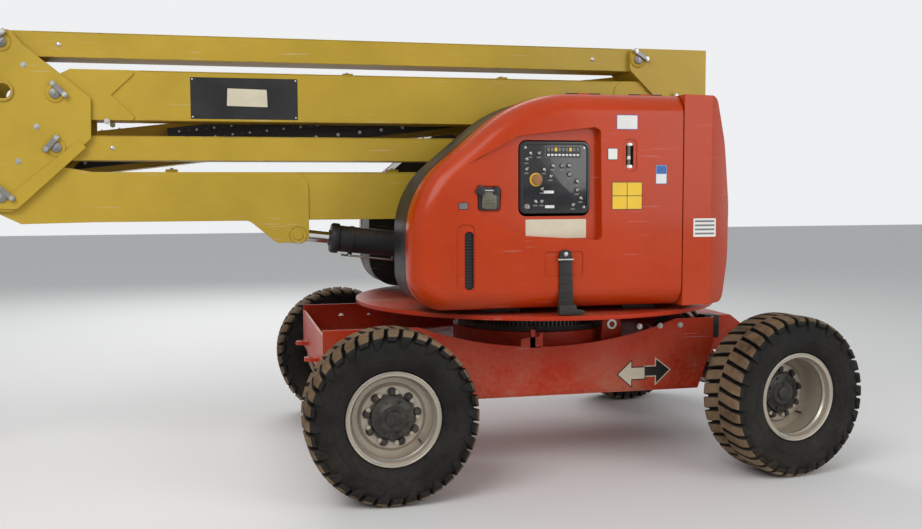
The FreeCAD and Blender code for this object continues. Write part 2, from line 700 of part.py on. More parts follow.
def chassis():
    """Two side plates with a saddle in their top edge, a deck, ends and a nose."""
    x = S.swing_x
    side = [
        (x - S.frame_rear, S.frame_step_bottom), (x - 850, S.frame_step_bottom), (x - 620, S.frame_bottom),
        (x + 775, S.frame_bottom), (x + S.frame_front, 630), (x + S.frame_front, S.frame_top),
        (x - S.frame_rear, S.frame_top),
    ]
    half = S.frame_half_width
    thick = S.frame_plate
    saddle = rod(
        "saddle", "y",
        (x - S.saddle_offset, -half - 10, S.saddle_low + S.saddle_radius), S.saddle_radius, half * 2 + 20,
    )
    plates = joined(
        "side_plates",
        [pad("side_near", "xz", side, -half, -half + thick), pad("side_far", "xz", side, half - thick, half)],
    )
    cut_plates = less("saddle_plates", plates, [saddle])
    deck = box(
        "deck", (x - S.frame_rear, -half + thick, S.deck_height - thick),
        (x + S.frame_front, half - thick, S.deck_height),
    )
    belly = box(
        "belly", (x - 620, -half + thick, S.frame_bottom), (x + 775, half - thick, S.frame_bottom + thick)
    )
    rear = box(
        "frame_rear", (x - S.frame_rear, -half + thick, S.frame_step_bottom),
        (x - S.frame_rear + thick, half - thick, S.frame_top - 30),
    )
    rear_floor = box(
        "rear_floor", (x - S.frame_rear, -half + thick, S.frame_step_bottom),
        (x - 850, half - thick, S.frame_step_bottom + thick),
    )
    front = pad(
        "frame_front", "xz",
        [
            (x + 775 - thick, S.frame_bottom), (x + 775, S.frame_bottom), (x + S.frame_front, 630),
            (x + S.frame_front, S.frame_top - 30), (x + S.frame_front - thick, S.frame_top - 30),
            (x + S.frame_front - thick, 634),
        ],
        -half + thick, half - thick,
    )
    slope = pad(
        "frame_slope", "xz",
        [
            (x - 850, S.frame_step_bottom), (x - 620, S.frame_bottom), (x - 620, S.frame_bottom + thick),
            (x - 850, S.frame_step_bottom + thick),
        ],
        -half + thick, half - thick,
    )
    nose = pad(
        "nose", "xz",
        [
            (x + S.frame_front - thick, AXLE_Z + 110), (x + S.nose_front, AXLE_Z + 110),
            (x + S.nose_front, 640), (x + S.nose_front - 120, S.frame_top - 40),
            (x + S.frame_front - thick, S.frame_top - 40),
        ],
        -S.nose_half_width, S.nose_half_width,
    )
    pedestal = rod("pedestal", "z", (x, 0, S.deck_height - 4), S.slew_radius + 30, 84)
    bearers = []
    for number, place in enumerate((STEER_X - 110, STEER_X + 80)):
        bearers.append(box(f"bearer_{number}", (place, -80, AXLE_Z - 40), (place + 30, 80, AXLE_Z + 120)))
    tab = pad(
        "saddle_tab", "xz",
        [(x - 250, 640), (x - 170, 640), (x - 170, 735), (x - 195, 742), (x - 195, 700), (x - 250, 690)],
        -half, -half + thick,
    )
    plates = [cut_plates, deck, belly, rear, rear_floor, front, slope, nose, pedestal, tab]
    blank = joined("chassis_blank", plates + bearers + tie_ears())
    hole = rod("pivot_hole", "x", (STEER_X - 130, 0, AXLE_Z + 24), S.steer_pivot + S.pin_clearance, 300)
    axle_room = box("axle_room", (STEER_X - 79.5, -220, 200), (STEER_X + 79.5, 220, AXLE_Z + 76))
    node("chassis_frame", less("chassis_frame", blank, [hole, axle_room]))
    top = S.deck_height + 80
    ring = rod("slew_outer", "z", (x, 0, top), S.slew_radius, S.table_bottom - top - S.seat_gap)
    inner = rod("slew_inner", "z", (x, 0, top - 1), S.slew_radius - 130, S.table_bottom - top + 2)
    node("slew_bearing", less("slew_bearing", ring, [inner]))


# Turntable

def mast_outline():
    """The cheeks that carry the tower's lower pins and the lift cylinder's base."""
    x = S.swing_x
    return [
        (x - 170, TABLE_TOP), (x + 632, TABLE_TOP), (x + 632, 1240),
        (LOWER_LINK_PIN[0] + 90, LOWER_LINK_PIN[1] - 20), (LOWER_LINK_PIN[0] + 40, LOWER_LINK_PIN[1] + 66),
        (LOWER_LINK_PIN[0] - 70, LOWER_LINK_PIN[1] + 66), (LOWER_PIN[0] - 90, LOWER_PIN[1] + 70),
        (LOWER_PIN[0] - 110, LOWER_PIN[1] - 60), (LIFT_BASE[0] - 90, LIFT_BASE[1] + 80),
    ]


def turntable():
    x = S.swing_x
    disc = rod("table_disc", "z", (x, 0, S.table_bottom), S.table_radius, S.table_thick)
    pieces = [disc]
    for side, low in (("near", CHEEK_LOW - S.cheek), ("far", CHEEK_HIGH)):
        pieces.append(
            pad(f"mast_{side}", "xz", mast_outline(), low, low + S.cheek, rounds=[((3, 4, 5, 6), 40)])
        )
    low, high = CHEEK_LOW - S.cheek - 14, CHEEK_HIGH + S.cheek + 14
    for name, place in (("lower", LOWER_PIN), ("link", LOWER_LINK_PIN), ("lift", LIFT_BASE)):
        pieces.append(pin(f"table_pin_{name}", place[0], place[1], low, high))
    pieces.append(
        box("mast_web", (x + 560, CHEEK_LOW - 1, TABLE_TOP - 1), (x + 580, CHEEK_HIGH + 1, 1330))
    )
    node("turntable", joined("turntable", pieces))


def weight_outline():
    x = S.swing_x
    seam = x + S.hood_right + S.hood_seam
    rear = x + S.weight_rear
    return [
        (seam, S.hood_bottom), (rear - 62, S.hood_bottom + 8), (rear - 6, 1120), (rear, 1400),
        (rear - 50, 1720), (rear - 130, S.hood_top - 4), (seam, S.hood_top),
    ]


def counterweight():
    """The cast tail: one profile across the machine, trimmed to the swing circle."""
    x = S.swing_x
    face = S.hood_face
    bar = pad("weight_bar", "xz", weight_outline(), -face, face, rounds=[((1, 5), 55), ((2, 3, 4), 400)])
    circle = rod("tail_circle", "z", (x, 0, 600), S.swing_circle, 1600)
    notch = box(
        "tower_notch", (x + 300, -S.hood_inner + 14, 1220), (x + 1200, S.hood_inner - 14, 2300)
    )
    lower = box("table_notch", (x + 300, -S.hood_inner + 14, 700), (x + 640, S.hood_inner - 14, 1300))
    trimmed = shared("weight_trimmed", bar, circle)
    foot = box("weight_foot", (x + 640, -500, TABLE_TOP + S.seat_gap), (x + 760, 500, S.hood_bottom + 30))
    body = less("weight_body", trimmed, [notch, lower])
    node("counterweight", joined("counterweight", [body, foot]))


def hood_outline(inset=0):
    x = S.swing_x
    left = x - S.hood_left + inset
    return [
        (left, S.hood_bottom + inset), (x + S.hood_right, S.hood_bottom + inset),
        (x + S.hood_right, S.hood_top - inset), (x - 335 + inset / 2, S.hood_top - inset),
        (left, 1476 - inset / 2),
    ]


def hood_rounds(inset=0):
    return [((0,), sized(170) - inset), ((3,), sized(700) - inset), ((4,), sized(450) - inset)]


def control_window():
    """Opening for the ground controls, as x from, x to, z from, z to."""
    left = S.swing_x - S.window_left
    return left, left + S.window_wide, S.window_low, S.window_low + S.window_high


def window_outline(window, margin=0):
    """The window's four corners, moved inwards by a margin."""
    left, right, low, high = window
    return [
        (left + margin, low + margin), (right - margin, low + margin),
        (right - margin, high - margin), (left + margin, high - margin),
    ]


def pocket_outline():
    """The near hood's sunk panel, which the ground controls look out of."""
    x = S.swing_x
    return [
        (x - 739, 1464), (x - 349, 1257), (x + 57, 1231), (x + 48, 1776), (x + 17, 1790), (x - 375, 1743),
        (x - 719, 1559),
    ]


def pocket_backing():
    """Material behind the sunk panel, a wall wider than the panel all round."""
    x = S.swing_x
    outline = [
        (x - 644, 1385), (x - 353, 1235), (x + 67, 1221), (x + 58, 1782), (x + 22, 1800), (x - 378, 1753),
        (x - 644, 1590),
    ]
    inside = -S.hood_face + S.hood_wall
    return pad("pocket_backing", "xz", outline, inside - 1, inside + S.pocket_depth)


def pocket_cutter():
    """The panel's sunk space: its outline, deeper towards the right."""
    x = S.swing_x
    face = -S.hood_face
    walls = pad("pocket_walls", "xz", pocket_outline(), face - 20, face + 60, rounds=[((0, 1, 2, 3, 5), 20)])
    left, right = x - 739, x + 60
    wedge = pad(
        "pocket_wedge", "xy",
        [(left, face - 20), (right, face - 20), (right, face + S.pocket_depth), (left, face)],
        1200, 1820,
    )
    return shared("pocket_cutter", walls, wedge)


def recess(name, sign, sides, depth, radius):
    """A shallow sunk field in a hood's face; sides are x from, x to, z from, z to."""
    face = sign * S.hood_face
    inner = face - sign * depth
    outer = face + sign * 20
    low, high = (outer, inner) if sign < 0 else (inner, outer)
    return pad(name, "xz", window_outline(sides), low, high, rounds=[((0, 1, 2, 3), radius)])


def hood_cutters(side, sign):
    """Vent on both hoods; on the near one also the panel, window and small fields."""
    x = S.swing_x
    through = S.hood_wall + S.recess
    cutters = [
        recess(f"vent_field_{side}", sign, (x - 686, x - 597, 978, 1315), S.recess, 30),
        recess(f"vent_slot_{side}", sign, (x - 646, x - 602, 998, 1280), through, 18),
    ]
    if sign > 0:
        return cutters
    cutters.append(pocket_cutter())
    cutters.append(recess("control_window", sign, control_window(), 90, 40))
    cutters.append(recess("latch_field", sign, (x - 581, x - 461, 1376, 1502), S.recess * 5, 25))
    cutters.append(recess("strap_field", sign, (x - 241, x - 42, 1053, 1177), S.recess, 14))
    cutters.append(recess("gauge_field", sign, (x + 165, x + 241, 1570, 1733), S.recess, 30))
    cutters.append(recess("gauge_slot", sign, (x + 183, x + 223, 1588, 1715), through, 18))
    return cutters


def hinge_places():
    return (S.swing_x - 10, S.swing_x + 330)


def hinge_leaf(name, x, sign, outwards):
    """One knuckle on the hoods' hinge axis with the plate that carries it."""
    axis_y = sign * S.hood_back
    axis_z = S.hood_top + S.hinge_rise
    knuckle = rod(name + "_knuckle", "x", (x, axis_y, axis_z), S.hinge_radius, S.hinge_leaf)
    side = sign if outwards else -sign
    near, far = axis_y + side * 3, axis_y + side * 32
    low, high = (far, near) if side < 0 else (near, far)
    base = S.hood_top - 3
    plate = box(name + "_plate", (x, low, base), (x + S.hinge_leaf, high, axis_z - 2))
    return joined(name, [knuckle, plate])


def hood(side, sign):
    """A moulded cover hinged along its top: a shell with rounded edges and sunk fields."""
    face, back = S.hood_face, S.hood_back
    low, high = (-face, -back) if sign < 0 else (back, face)
    body = pad(f"hood_{side}_blank", "xz", hood_outline(), low, high, hood_rounds())
    outer = []
    for count, edge in enumerate(body.Shape.Edges, 1):
        ends = [vertex.Point for vertex in edge.Vertexes]
        flat = all(abs(abs(end.y) - float(face)) < 0.01 for end in ends)
        seam = all(abs(end.x - float(S.swing_x + S.hood_right)) < 0.01 for end in ends)
        if flat and not seam:
            outer.append(f"Edge{count}")
    last = body.Tip
    edge_round = body.newObject("PartDesign::Fillet", f"hood_{side}_edge")
    edge_round.Base = (last, outer)
    bind(edge_round, "Radius", S.hood_round)
    DOC.recompute()
    faces = []
    for count, surface in enumerate(body.Shape.Faces, 1):
        middle = surface.CenterOfMass
        if abs(abs(middle.y) - float(back)) < 0.01:
            faces.append(f"Face{count}")
    shell = body.newObject("PartDesign::Thickness", f"hood_{side}_shell")
    shell.Base = (edge_round, faces)
    bind(shell, "Value", S.hood_wall)
    shell.Reversed = True
    shell.Mode = 0
    shell.Join = 1
    DOC.recompute()
    pieces = [body]
    for number, x in enumerate(hinge_places()):
        pieces.append(hinge_leaf(f"hood_leaf_{side}_{number}", x, sign, True))
    if sign < 0:
        pieces.append(pocket_backing())
    cutters = hood_cutters(side, sign)
    axis = (S.swing_x - 400, sign * S.hood_back, S.hood_top + S.hinge_rise)
    cutters.append(rod(f"hood_hinge_bore_{side}", "x", axis, S.hinge_pin + S.pin_clearance, 900))
    node(f"hood_{side}", less(f"hood_{side}", joined(f"hood_{side}_whole", pieces), cutters))


def hood_frame(side, sign):
    """The black frame behind a hood: an inner plate and a rim that the hood closes on."""
    inner, back = S.hood_inner, S.hood_back - S.seat_gap
    low, high = (-back, -inner) if sign < 0 else (inner, back)
    outer = pad(f"frame_{side}_outer", "xz", hood_outline(2), low, high, hood_rounds(2))
    room_low, room_high = (low - 1, high - 10) if sign < 0 else (low + 10, high + 1)
    room = pad(f"frame_{side}_room", "xz", hood_outline(14), room_low, room_high, hood_rounds(14))
    pieces = [less(f"hood_frame_{side}_shell", outer, [room])]
    for number, x in enumerate((S.swing_x - 480, S.swing_x + 260)):
        foot_low = -760 if sign < 0 else 500
        start = (x, foot_low, TABLE_TOP + S.seat_gap)
        pieces.append(box(f"hood_foot_{side}_{number}", start, (x + 180, foot_low + 260, S.hood_bottom + 8)))
    step = S.hinge_leaf + 2
    for number, x in enumerate(hinge_places()):
        name = f"frame_leaf_{side}_{number}"
        pieces.append(hinge_leaf(name + "a", x - step, sign, False))
        pieces.append(hinge_leaf(name + "b", x + step, sign, False))
        start = (x - step, sign * S.hood_back, S.hood_top + S.hinge_rise)
        pieces.append(rod(name + "_pin", "x", start, S.hinge_pin, step * 2 + S.hinge_leaf))
    node(f"hood_frame_{side}", joined(f"hood_frame_{side}", pieces))


def inside_hoods():
    """Engine and tanks as plain blocks, and the ground control box."""
    x = S.swing_x
    floor = S.hood_bottom + 14 + S.seat_gap
    inner = S.hood_inner + 40
    outer = S.hood_back - 30
    node("engine", box("engine_block", (x - 520, inner, floor), (x + 180, outer, 1480)))
    node("hydraulic_tank", box("tank_block", (x - 640, -outer, floor), (x - 120, -inner, 1230)))
    node("fuel_tank", box("fuel_block", (x - 60, -outer, floor), (x + 400, -inner, 1250)))
    left, right, bottom, top = control_window()
    window = (left, right, bottom + 8, top)
    case_back = -S.hood_back + 60
    case = pad(
        "control_case", "xz", window_outline(window, 6), -S.hood_face + 23, case_back,
        rounds=[((0, 1, 2, 3), 34)],
    )
    stem = box(
        "control_stem", (left + 120, case_back - 1, bottom + 80),
        (right - 120, -S.hood_inner - 10 - S.seat_gap, bottom + 180),
    )
    node("ground_controls", joined("ground_controls", [case, stem]))


# Tower

def tube(name, left, right, z, depth, low, high, wall):
    """A box section along x, open at both ends."""
    outer = box(name + "_outer", (left, low, z - depth / 2), (right, high, z + depth / 2))
    half = depth / 2
    inner = box(
        name + "_inner", (left - 1, low + wall, z - half + wall), (right + 1, high - wall, z + half - wall)
    )
    return less(name + "_tube", outer, [inner])


def link(name, left_pin, right_pin, depth):
    """A timing link: a tube with a boss at each end."""
    low, high = BOOM_LOW, BOOM_HIGH
    z = left_pin[1]
    pieces = [tube(name, left_pin[0] + 20, right_pin[0] - 20, z, depth, low, high, S.boom_wall)]
    for end, place in (("left", left_pin), ("right", right_pin)):
        pieces.append(pin(f"{name}_boss_{end}", place[0], z, low, high, S.boss_radius))
    holes = []
    for end, place in (("left", left_pin), ("right", right_pin)):
        holes.append(bore(f"{name}_bore_{end}", place[0], z, low, high))
    return less(name, joined(name + "_blank", pieces), holes)


def boom(name, left_pin, right_pin, cheeks):
    """A tower boom: a tube with shaped doubler plates that carry the bosses."""
    low, high = BOOM_LOW, BOOM_HIGH
    z = left_pin[1]
    pieces = [tube(name, left_pin[0] + 70, right_pin[0] - 60, z, S.boom_depth, low, high, S.boom_wall)]
    for number, (points, rounds) in enumerate(cheeks):
        for side, start in (("near", low - S.doubler), ("far", high)):
            pieces.append(pad(f"{name}_plate{number}_{side}", "xz", points, start, start + S.doubler, rounds))
    outer_low, outer_high = low - S.doubler, high + S.doubler
    for end, place in (("left", left_pin), ("right", right_pin)):
        pieces.append(pin(f"{name}_boss_{end}", place[0], z, outer_low, outer_high, S.boss_radius))
    holes = []
    for end, place in (("left", left_pin), ("right", right_pin)):
        holes.append(bore(f"{name}_bore_{end}", place[0], z, outer_low, outer_high))
    return pieces, holes


def lower_tower():
    z = FAR_PIN[1]
    half = S.boom_depth / 2
    ear_x, ear_z = LIFT_EAR
    left = [
        (FAR_PIN[0] - 62, z - 62), (FAR_PIN[0] + 80, z - half - 8), (FAR_PIN[0] + 420, z - half - 2),
        (ear_x - 250, z - half - 2), (ear_x - 110, ear_z - 40), (ear_x + 58, ear_z - 40),
        (ear_x + 58, z + half), (FAR_PIN[0] + 420, z + half), (FAR_PIN[0] + 230, z + half + 34),
        (FAR_PIN[0] - 62, z + 62),
    ]
    left_rounds = [((0, 9), 40), ((3,), 60), ((4, 5), 38), ((6,), 90)]
    right_pin = LOWER_PIN
    right = [
        (right_pin[0] - 420, z - half), (right_pin[0] - 60, z - half), (right_pin[0] + 66, z - 50),
        (right_pin[0] + 66, z + 50), (right_pin[0] - 60, z + half), (right_pin[0] - 420, z + half),
    ]
    pieces, holes = boom("lower_boom", FAR_PIN, LOWER_PIN, [(left, left_rounds), (right, [((2, 3), 40)])])
    low, high = BOOM_LOW - S.doubler, BOOM_HIGH + S.doubler
    for side, start in (("near", low - 5), ("far", high - 2)):
        pieces.append(pin(f"lift_ear_cap_{side}", ear_x, ear_z, start, start + 7))
    node("lower_boom", less("lower_boom", joined("lower_boom_blank", pieces), holes))
    node("lower_link", link("lower_link", FAR_LINK_PIN, LOWER_LINK_PIN, S.link_depth))


def upright_outline():
    """The octagonal cheek of the lower upright."""
    x, low, high = FAR_PIN[0], FAR_PIN[1], MID_LINK_PIN[1]
    return [
        (x - 70, low - 70), (x + 46, low - 70), (x + 421, MID_PIN[1] - 219), (x + 425, MID_PIN[1] - 19),
        (x + 117, high - 8), (x + 60, high + 62), (x - 60, high + 62), (x - 142, high - 40),
        (x - 142, low + 90),
    ]


def lower_upright():
    pieces = []
    for side, low in (("near", CHEEK_LOW - S.cheek), ("far", CHEEK_HIGH)):
        pieces.append(
            pad(f"upright_{side}", "xz", upright_outline(), low, low + S.cheek, rounds=[((0, 1, 5, 6), 30)])
        )
    low, high = CHEEK_LOW - S.cheek - 14, CHEEK_HIGH + S.cheek + 14
    places = (("lower", FAR_PIN), ("lower_link", FAR_LINK_PIN), ("mid", MID_PIN), ("mid_link", MID_LINK_PIN))
    for name, place in places:
        pieces.append(pin(f"upright_pin_{name}", place[0], place[1], low, high))
    x = FAR_PIN[0]
    pieces.append(
        box(
            "upright_web", (x - 142, CHEEK_LOW - 1, FAR_PIN[1] + 92),
            (x - 126, CHEEK_HIGH + 1, MID_LINK_PIN[1] - 90),
        )
    )
    hole = rod("upright_hole", "y", (x + 20, CHEEK_LOW - 60, MID_PIN[1] + 8), 36, 400)
    node("lower_upright", less("lower_upright", joined("upright_blank", pieces), [hole]))


def mid_tower():
    z = MID_PIN[1]
    half = S.boom_depth / 2
    left = [
        (MID_PIN[0] - 60, z - 60), (MID_PIN[0] + 70, z - half), (MID_PIN[0] + 390, z - half),
        (MID_PIN[0] + 260, z), (MID_PIN[0] + 390, z + half), (MID_PIN[0] + 70, z + half),
        (MID_PIN[0] - 60, z + 60),
    ]
    right_pin = UPPER_PIN
    right = [
        (right_pin[0] - 366, z - half), (right_pin[0] - 70, z - half), (right_pin[0] + 60, z - 50),
        (right_pin[0] + 60, z + 50), (right_pin[0] - 70, z + half), (right_pin[0] - 366, z + half),
    ]
    left_rounds = [((0, 6), 40), ((2, 4), 14)]
    right_rounds = [((0, 5), 60), ((2, 3), 36)]
    pieces, holes = boom("mid_boom", MID_PIN, UPPER_PIN, [(left, left_rounds), (right, right_rounds)])
    node("mid_boom", less("mid_boom", joined("mid_boom_blank", pieces), holes))
    node("mid_link", link("mid_link", MID_LINK_PIN, UPPER_LINK_PIN, S.link_depth))


def upper_upright():
    """Four cheeks on a back plate: two for the tower, two for the main boom."""
    back = UPPER_PIN[0] + S.upright_reach
    top = UPPER_LINK_PIN[1] + 62
    tower = [
        (UPPER_LINK_PIN[0] - 46, top), (UPPER_LINK_PIN[0] - 46, UPPER_LINK_PIN[1] - 58),
        (UPPER_PIN[0] - 70, UPPER_PIN[1] - 20), (UPPER_PIN[0] - 50, UPPER_PIN[1] - 90),
        (back, UPPER_PIN[1] - 200), (back, top),
    ]
    main = [
        (MAIN_PIN[0] - 90, MAIN_PIN[1] + 90), (MAIN_PIN[0] - 90, MAIN_PIN[1] - 60),
        (MAIN_LIFT_X - 60, S.main_lift_z + 60), (MAIN_LIFT_X - 60, S.main_lift_z - 60),
        (back, S.main_lift_z - 60), (back, top), (MAIN_PIN[0] + 20, top),
    ]
    pieces = []
    for side, low in (("near", CHEEK_LOW - S.cheek), ("far", CHEEK_HIGH)):
        rounds = [((0, 1), 40), ((2, 3), 30)]
        pieces.append(pad(f"upper_{side}", "xz", tower, low, low + S.cheek, rounds))
    plate = 14
    main_low, main_high = MAIN_LOW - S.running_gap - plate, MAIN_HIGH + S.running_gap
    for side, low in (("near", main_low), ("far", main_high)):
        rounds = [((0, 1, 6), 50), ((2, 3), 40)]
        pieces.append(pad(f"upper_main_{side}", "xz", main, low, low + plate, rounds))
    pieces.append(
        box("upper_back", (back, CHEEK_LOW - S.cheek, S.main_lift_z - 60), (back + 15, main_high + plate, top))
    )
    low, high = CHEEK_LOW - S.cheek - 14, CHEEK_HIGH + S.cheek + 4
    for name, place in (("mid", UPPER_PIN), ("mid_link", UPPER_LINK_PIN)):
        pieces.append(pin(f"upper_pin_{name}", place[0], place[1], low, high))
    pieces.append(pin("upper_pin_main", MAIN_PIN[0], MAIN_PIN[1], main_low - 2, main_high + 28, 32))
    pieces.append(pin("upper_pin_lift", MAIN_LIFT_X, S.main_lift_z, main_low - 2, main_high + 22))
    node("upper_upright", joined("upper_upright", pieces))


# Cylinders

def cylinder(name, base, eye, y, bore_radius, rod_radius, barrel_share, eye_width, pin_size):
    """A barrel with its eye, and a rod with its own, laid level and then turned onto the line."""
    dx = float(eye[0]) - float(base[0])
    dz = float(eye[1]) - float(base[1])
    length = math.hypot(dx, dz)
    angle = math.degrees(math.atan2(dz, -dx))
    x = float(base[0])
    z = base[1]
    y = sized(y)
    barrel_end = length * barrel_share
    barrel_left = (x - barrel_end, y, z)
    half = eye_width / 2
    body = rod(name + "_bore_tube", "x", barrel_left, bore_radius, barrel_end - pin_size - 12)
    cap = rod(name + "_gland", "x", barrel_left, sized(bore_radius) + 5, 40)
    base_eye = rod(name + "_base_eye", "y", (x, y - half, z), pin_size + 18, eye_width)
    neck = box(
        name + "_neck", (x - pin_size - 30, y - half, sized(z) - pin_size),
        (x - pin_size * 0.2, y + half, sized(z) + pin_size),
    )
    room_start = (x - barrel_end - 1, y, z)
    room = rod(name + "_room", "x", room_start, sized(rod_radius) + S.seat_gap, barrel_end - pin_size - 60)
    hole_start = (x, y - eye_width, z)
    hole = rod(name + "_base_hole", "y", hole_start, pin_size + S.pin_clearance, eye_width * 2)
    blank = joined(name + "_barrel_blank", [body, cap, base_eye, neck])
    barrel = less(name + "_barrel", blank, [room, hole])
    stick_start = x - length + pin_size * 0.6
    stick_length = length - pin_size * 0.6 - pin_size - 90
    stick = rod(name + "_stick", "x", (stick_start, y, z), rod_radius, stick_length)
    rod_eye = rod(name + "_rod_eye", "y", (x - length, y - half, z), pin_size + 16, eye_width)
    piston = joined(name + "_rod", [stick, rod_eye])
    place = (x, y, z)
    node(name + "_barrel", tilt(barrel, place, angle))
    node(name + "_rod", tilt(piston, place, angle))


def cylinders():
    cylinder(
        "lower_lift", LIFT_BASE, LIFT_EAR, S.tower_y, S.lift_bore_radius, S.lift_rod_radius, 0.865, 120, 25
    )
    main_base = (MAIN_LIFT_X, S.main_lift_z)
    cylinder(
        "main_lift", main_base, main_lift_ear(), S.main_y, S.main_lift_bore, S.main_lift_rod, 0.8, 90, 25
    )
    jib_lane = S.main_y + S.jib_cyl_shift
    cylinder(
        "jib_lift", jib_cylinder_base(), jib_cylinder_ear(), jib_lane, S.jib_bore, S.jib_rod, 0.85, S.jib_eye,
        16,
    )


def rotated(place, pivot, degrees):
    """A place turned about pivot; positive lifts what lies to the left."""
    angle = math.radians(float(degrees))
    dx = place[0] - pivot[0]
    dz = place[1] - pivot[1]
    return (
        pivot[0] + dx * math.cos(angle) + dz * math.sin(angle),
        pivot[1] - dx * math.sin(angle) + dz * math.cos(angle),
    )


def main_lift_ear():
    flat = (MAIN_PIN[0] - S.main_lift_reach, MAIN_PIN[1] - S.main_lift_drop)
    return rotated(flat, MAIN_PIN, -float(S.main_slope))


def jib_y():
    return S.main_y - S.jib_shift


def jib_cylinder_base():
    return (JIB_PIN[0] - S.jib_cyl_dx, JIB_PIN[1] - S.jib_cyl_drop)


def jib_cylinder_ear():
    flat = (JIB_PIN[0] - S.jib_cyl_reach, JIB_PIN[1] - S.jib_cyl_side)
    return rotated(flat, JIB_PIN, -float(S.jib_rest))


# Main boom

def main_boom():
    """The base section, modelled level and then dipped about its pin."""
    x, z = MAIN_PIN
    low, high = MAIN_LOW, MAIN_HIGH
    end = x - S.main_base_length
    pieces = [tube("main_boom", end, x - 60, z, S.main_depth, low, high, S.main_wall)]
    half = S.main_depth / 2
    cheek = [
        (x - 400, z - half), (x - 60, z - half), (x + 80, z - 70), (x + 80, z + 70), (x - 60, z + half),
        (x - 400, z + half),
    ]
    for side, start in (("near", low), ("far", high - 12)):
        pieces.append(pad(f"main_cheek_{side}", "xz", cheek, start, start + 12, rounds=[((2, 3), 60)]))
    pieces.append(pin("main_boss", x, z, low, high, 60))
    ear_x = x - S.main_lift_reach
    ear = [
        (ear_x - 140, z - half), (ear_x - 45, z - S.main_lift_drop - 42), (ear_x + 45, z - S.main_lift_drop - 42),
        (ear_x + 140, z - half),
    ]
    for side, start in (("near", S.main_y - 62), ("far", S.main_y + 48)):
        pieces.append(pad(f"main_ear_{side}", "xz", ear, start, start + 14, rounds=[((1, 2), 30)]))
    for side, start in (("near", S.main_y - 67), ("far", S.main_y + 60)):
        pieces.append(pin(f"main_ear_cap_{side}", ear_x, z - S.main_lift_drop, start, start + 7))
    collar = less(
        "main_collar",
        box("main_collar_outer", (end, low - 8, z - half - 8), (end + 90, high + 8, z + half + 8)),
        [box("main_collar_inner", (end - 1, low + 1, z - half + 1), (end + 91, high - 1, z + half - 1))],
    )
    pieces.append(collar)
    hole = bore("main_bore", x, z, low, high, 32)
    piece = less("main_boom", joined("main_boom_blank", pieces), [hole])
    node("main_boom", tilt(piece, (x, 0, z), -float(S.main_slope)))


def fly_boom():
    """The inner section with the ears of the tip pin, and the pads that it slides on."""
    x, z = MAIN_PIN
    tip = x - S.main_length
    low, high = S.main_y - S.fly_width / 2, S.main_y + S.fly_width / 2
    inside = x - S.main_base_length + S.fly_inside
    pieces = [tube("fly_boom", tip + 110, inside, z, S.fly_depth, low, high, 7)]
    half = S.fly_depth / 2
    ear = [
        (tip - S.tip_radius, z - S.tip_radius), (tip + 200, z - half), (tip + 200, z + half),
        (tip - S.tip_radius, z + S.tip_radius),
    ]
    for side, start in (("near", low), ("far", high - 14)):
        pieces.append(pad(f"fly_ear_{side}", "xz", ear, start, start + 14, rounds=[((0, 3), 46)]))
    reach = S.bracket_half_width + S.bracket_plate + 3
    pieces.append(pin("fly_pin", tip, z, S.main_y - reach, S.main_y + reach))
    node("fly_boom", tilt(joined("fly_boom", pieces), (x, 0, z), -float(S.main_slope)))
    left = x - S.main_base_length + 6
    right = left + 80
    gap, thick = S.seat_gap, 13.4
    pads = []
    for side, start in (("near", low - gap - thick), ("far", high + gap)):
        pads.append(box(f"wear_pad_{side}", (left, start, z - 50), (right, start + thick, z + 50)))
    for side, start in (("under", z - half - gap - thick), ("over", z + half + gap)):
        pads.append(
            box(f"wear_pad_{side}", (left, S.main_y - 50, start), (right, S.main_y + 50, start + thick))
        )
    node("wear_pads", tilt(apart("wear_pads", pads), (x, 0, z), -float(S.main_slope)))


def cable_carrier():
    """The hose chain in its tray on the main boom's near side."""
    x, z = MAIN_PIN
    high = MAIN_LOW - S.seat_gap
    start = x - S.main_base_length + 96
    tray = box("carrier_tray", (start, high - 56, z - 80), (x - 560, high, z - 20))
    run = box("carrier_run", (start + 700, high - 56, z - 20), (x - 560, high, z + 84))
    node("cable_carrier", tilt(joined("cable_carrier", [tray, run]), (x, 0, z), -float(S.main_slope)))


# Jib and platform

def level_bracket():
    """Two plates on the tip pin with the pins of the jib, its link and its cylinder."""
    mid = S.main_y
    base = jib_cylinder_base()
    outline = [
        (TIP_PIN[0] + 55, TIP_PIN[1] - 40), (TIP_PIN[0] + 55, TIP_PIN[1] + 40),
        (JIB_LINK_PIN[0] + 40, JIB_LINK_PIN[1] + 40), (JIB_LINK_PIN[0] - 34, JIB_LINK_PIN[1] + 40),
        (JIB_PIN[0] - 40, JIB_PIN[1] + 10), (base[0] - 30, base[1] - 28), (base[0] + 34, base[1] - 28),
    ]
    half = S.bracket_half_width
    pieces = []
    for side, low in (("near", mid - half - S.bracket_plate), ("far", mid + half)):
        rounds = [((0, 1, 2, 3, 4, 5, 6), 22)]
        pieces.append(pad(f"bracket_{side}", "xz", outline, low, low + S.bracket_plate, rounds))
    low, high = mid - half - 14, mid + half + 14
    pieces.append(pin("bracket_pin_jib", JIB_PIN[0], JIB_PIN[1], low, high, 20))
    pieces.append(pin("bracket_pin_link", JIB_LINK_PIN[0], JIB_LINK_PIN[1], low, high, 14))
    lane = mid + S.jib_cyl_shift - S.jib_eye / 2 - S.running_gap
    pieces.append(pin("bracket_pin_cylinder", base[0], base[1], lane, high, 16))
    holes = [bore("bracket_bore", TIP_PIN[0], TIP_PIN[1], low, high)]
    node("level_bracket", less("level_bracket", joined("bracket_blank", pieces), holes))


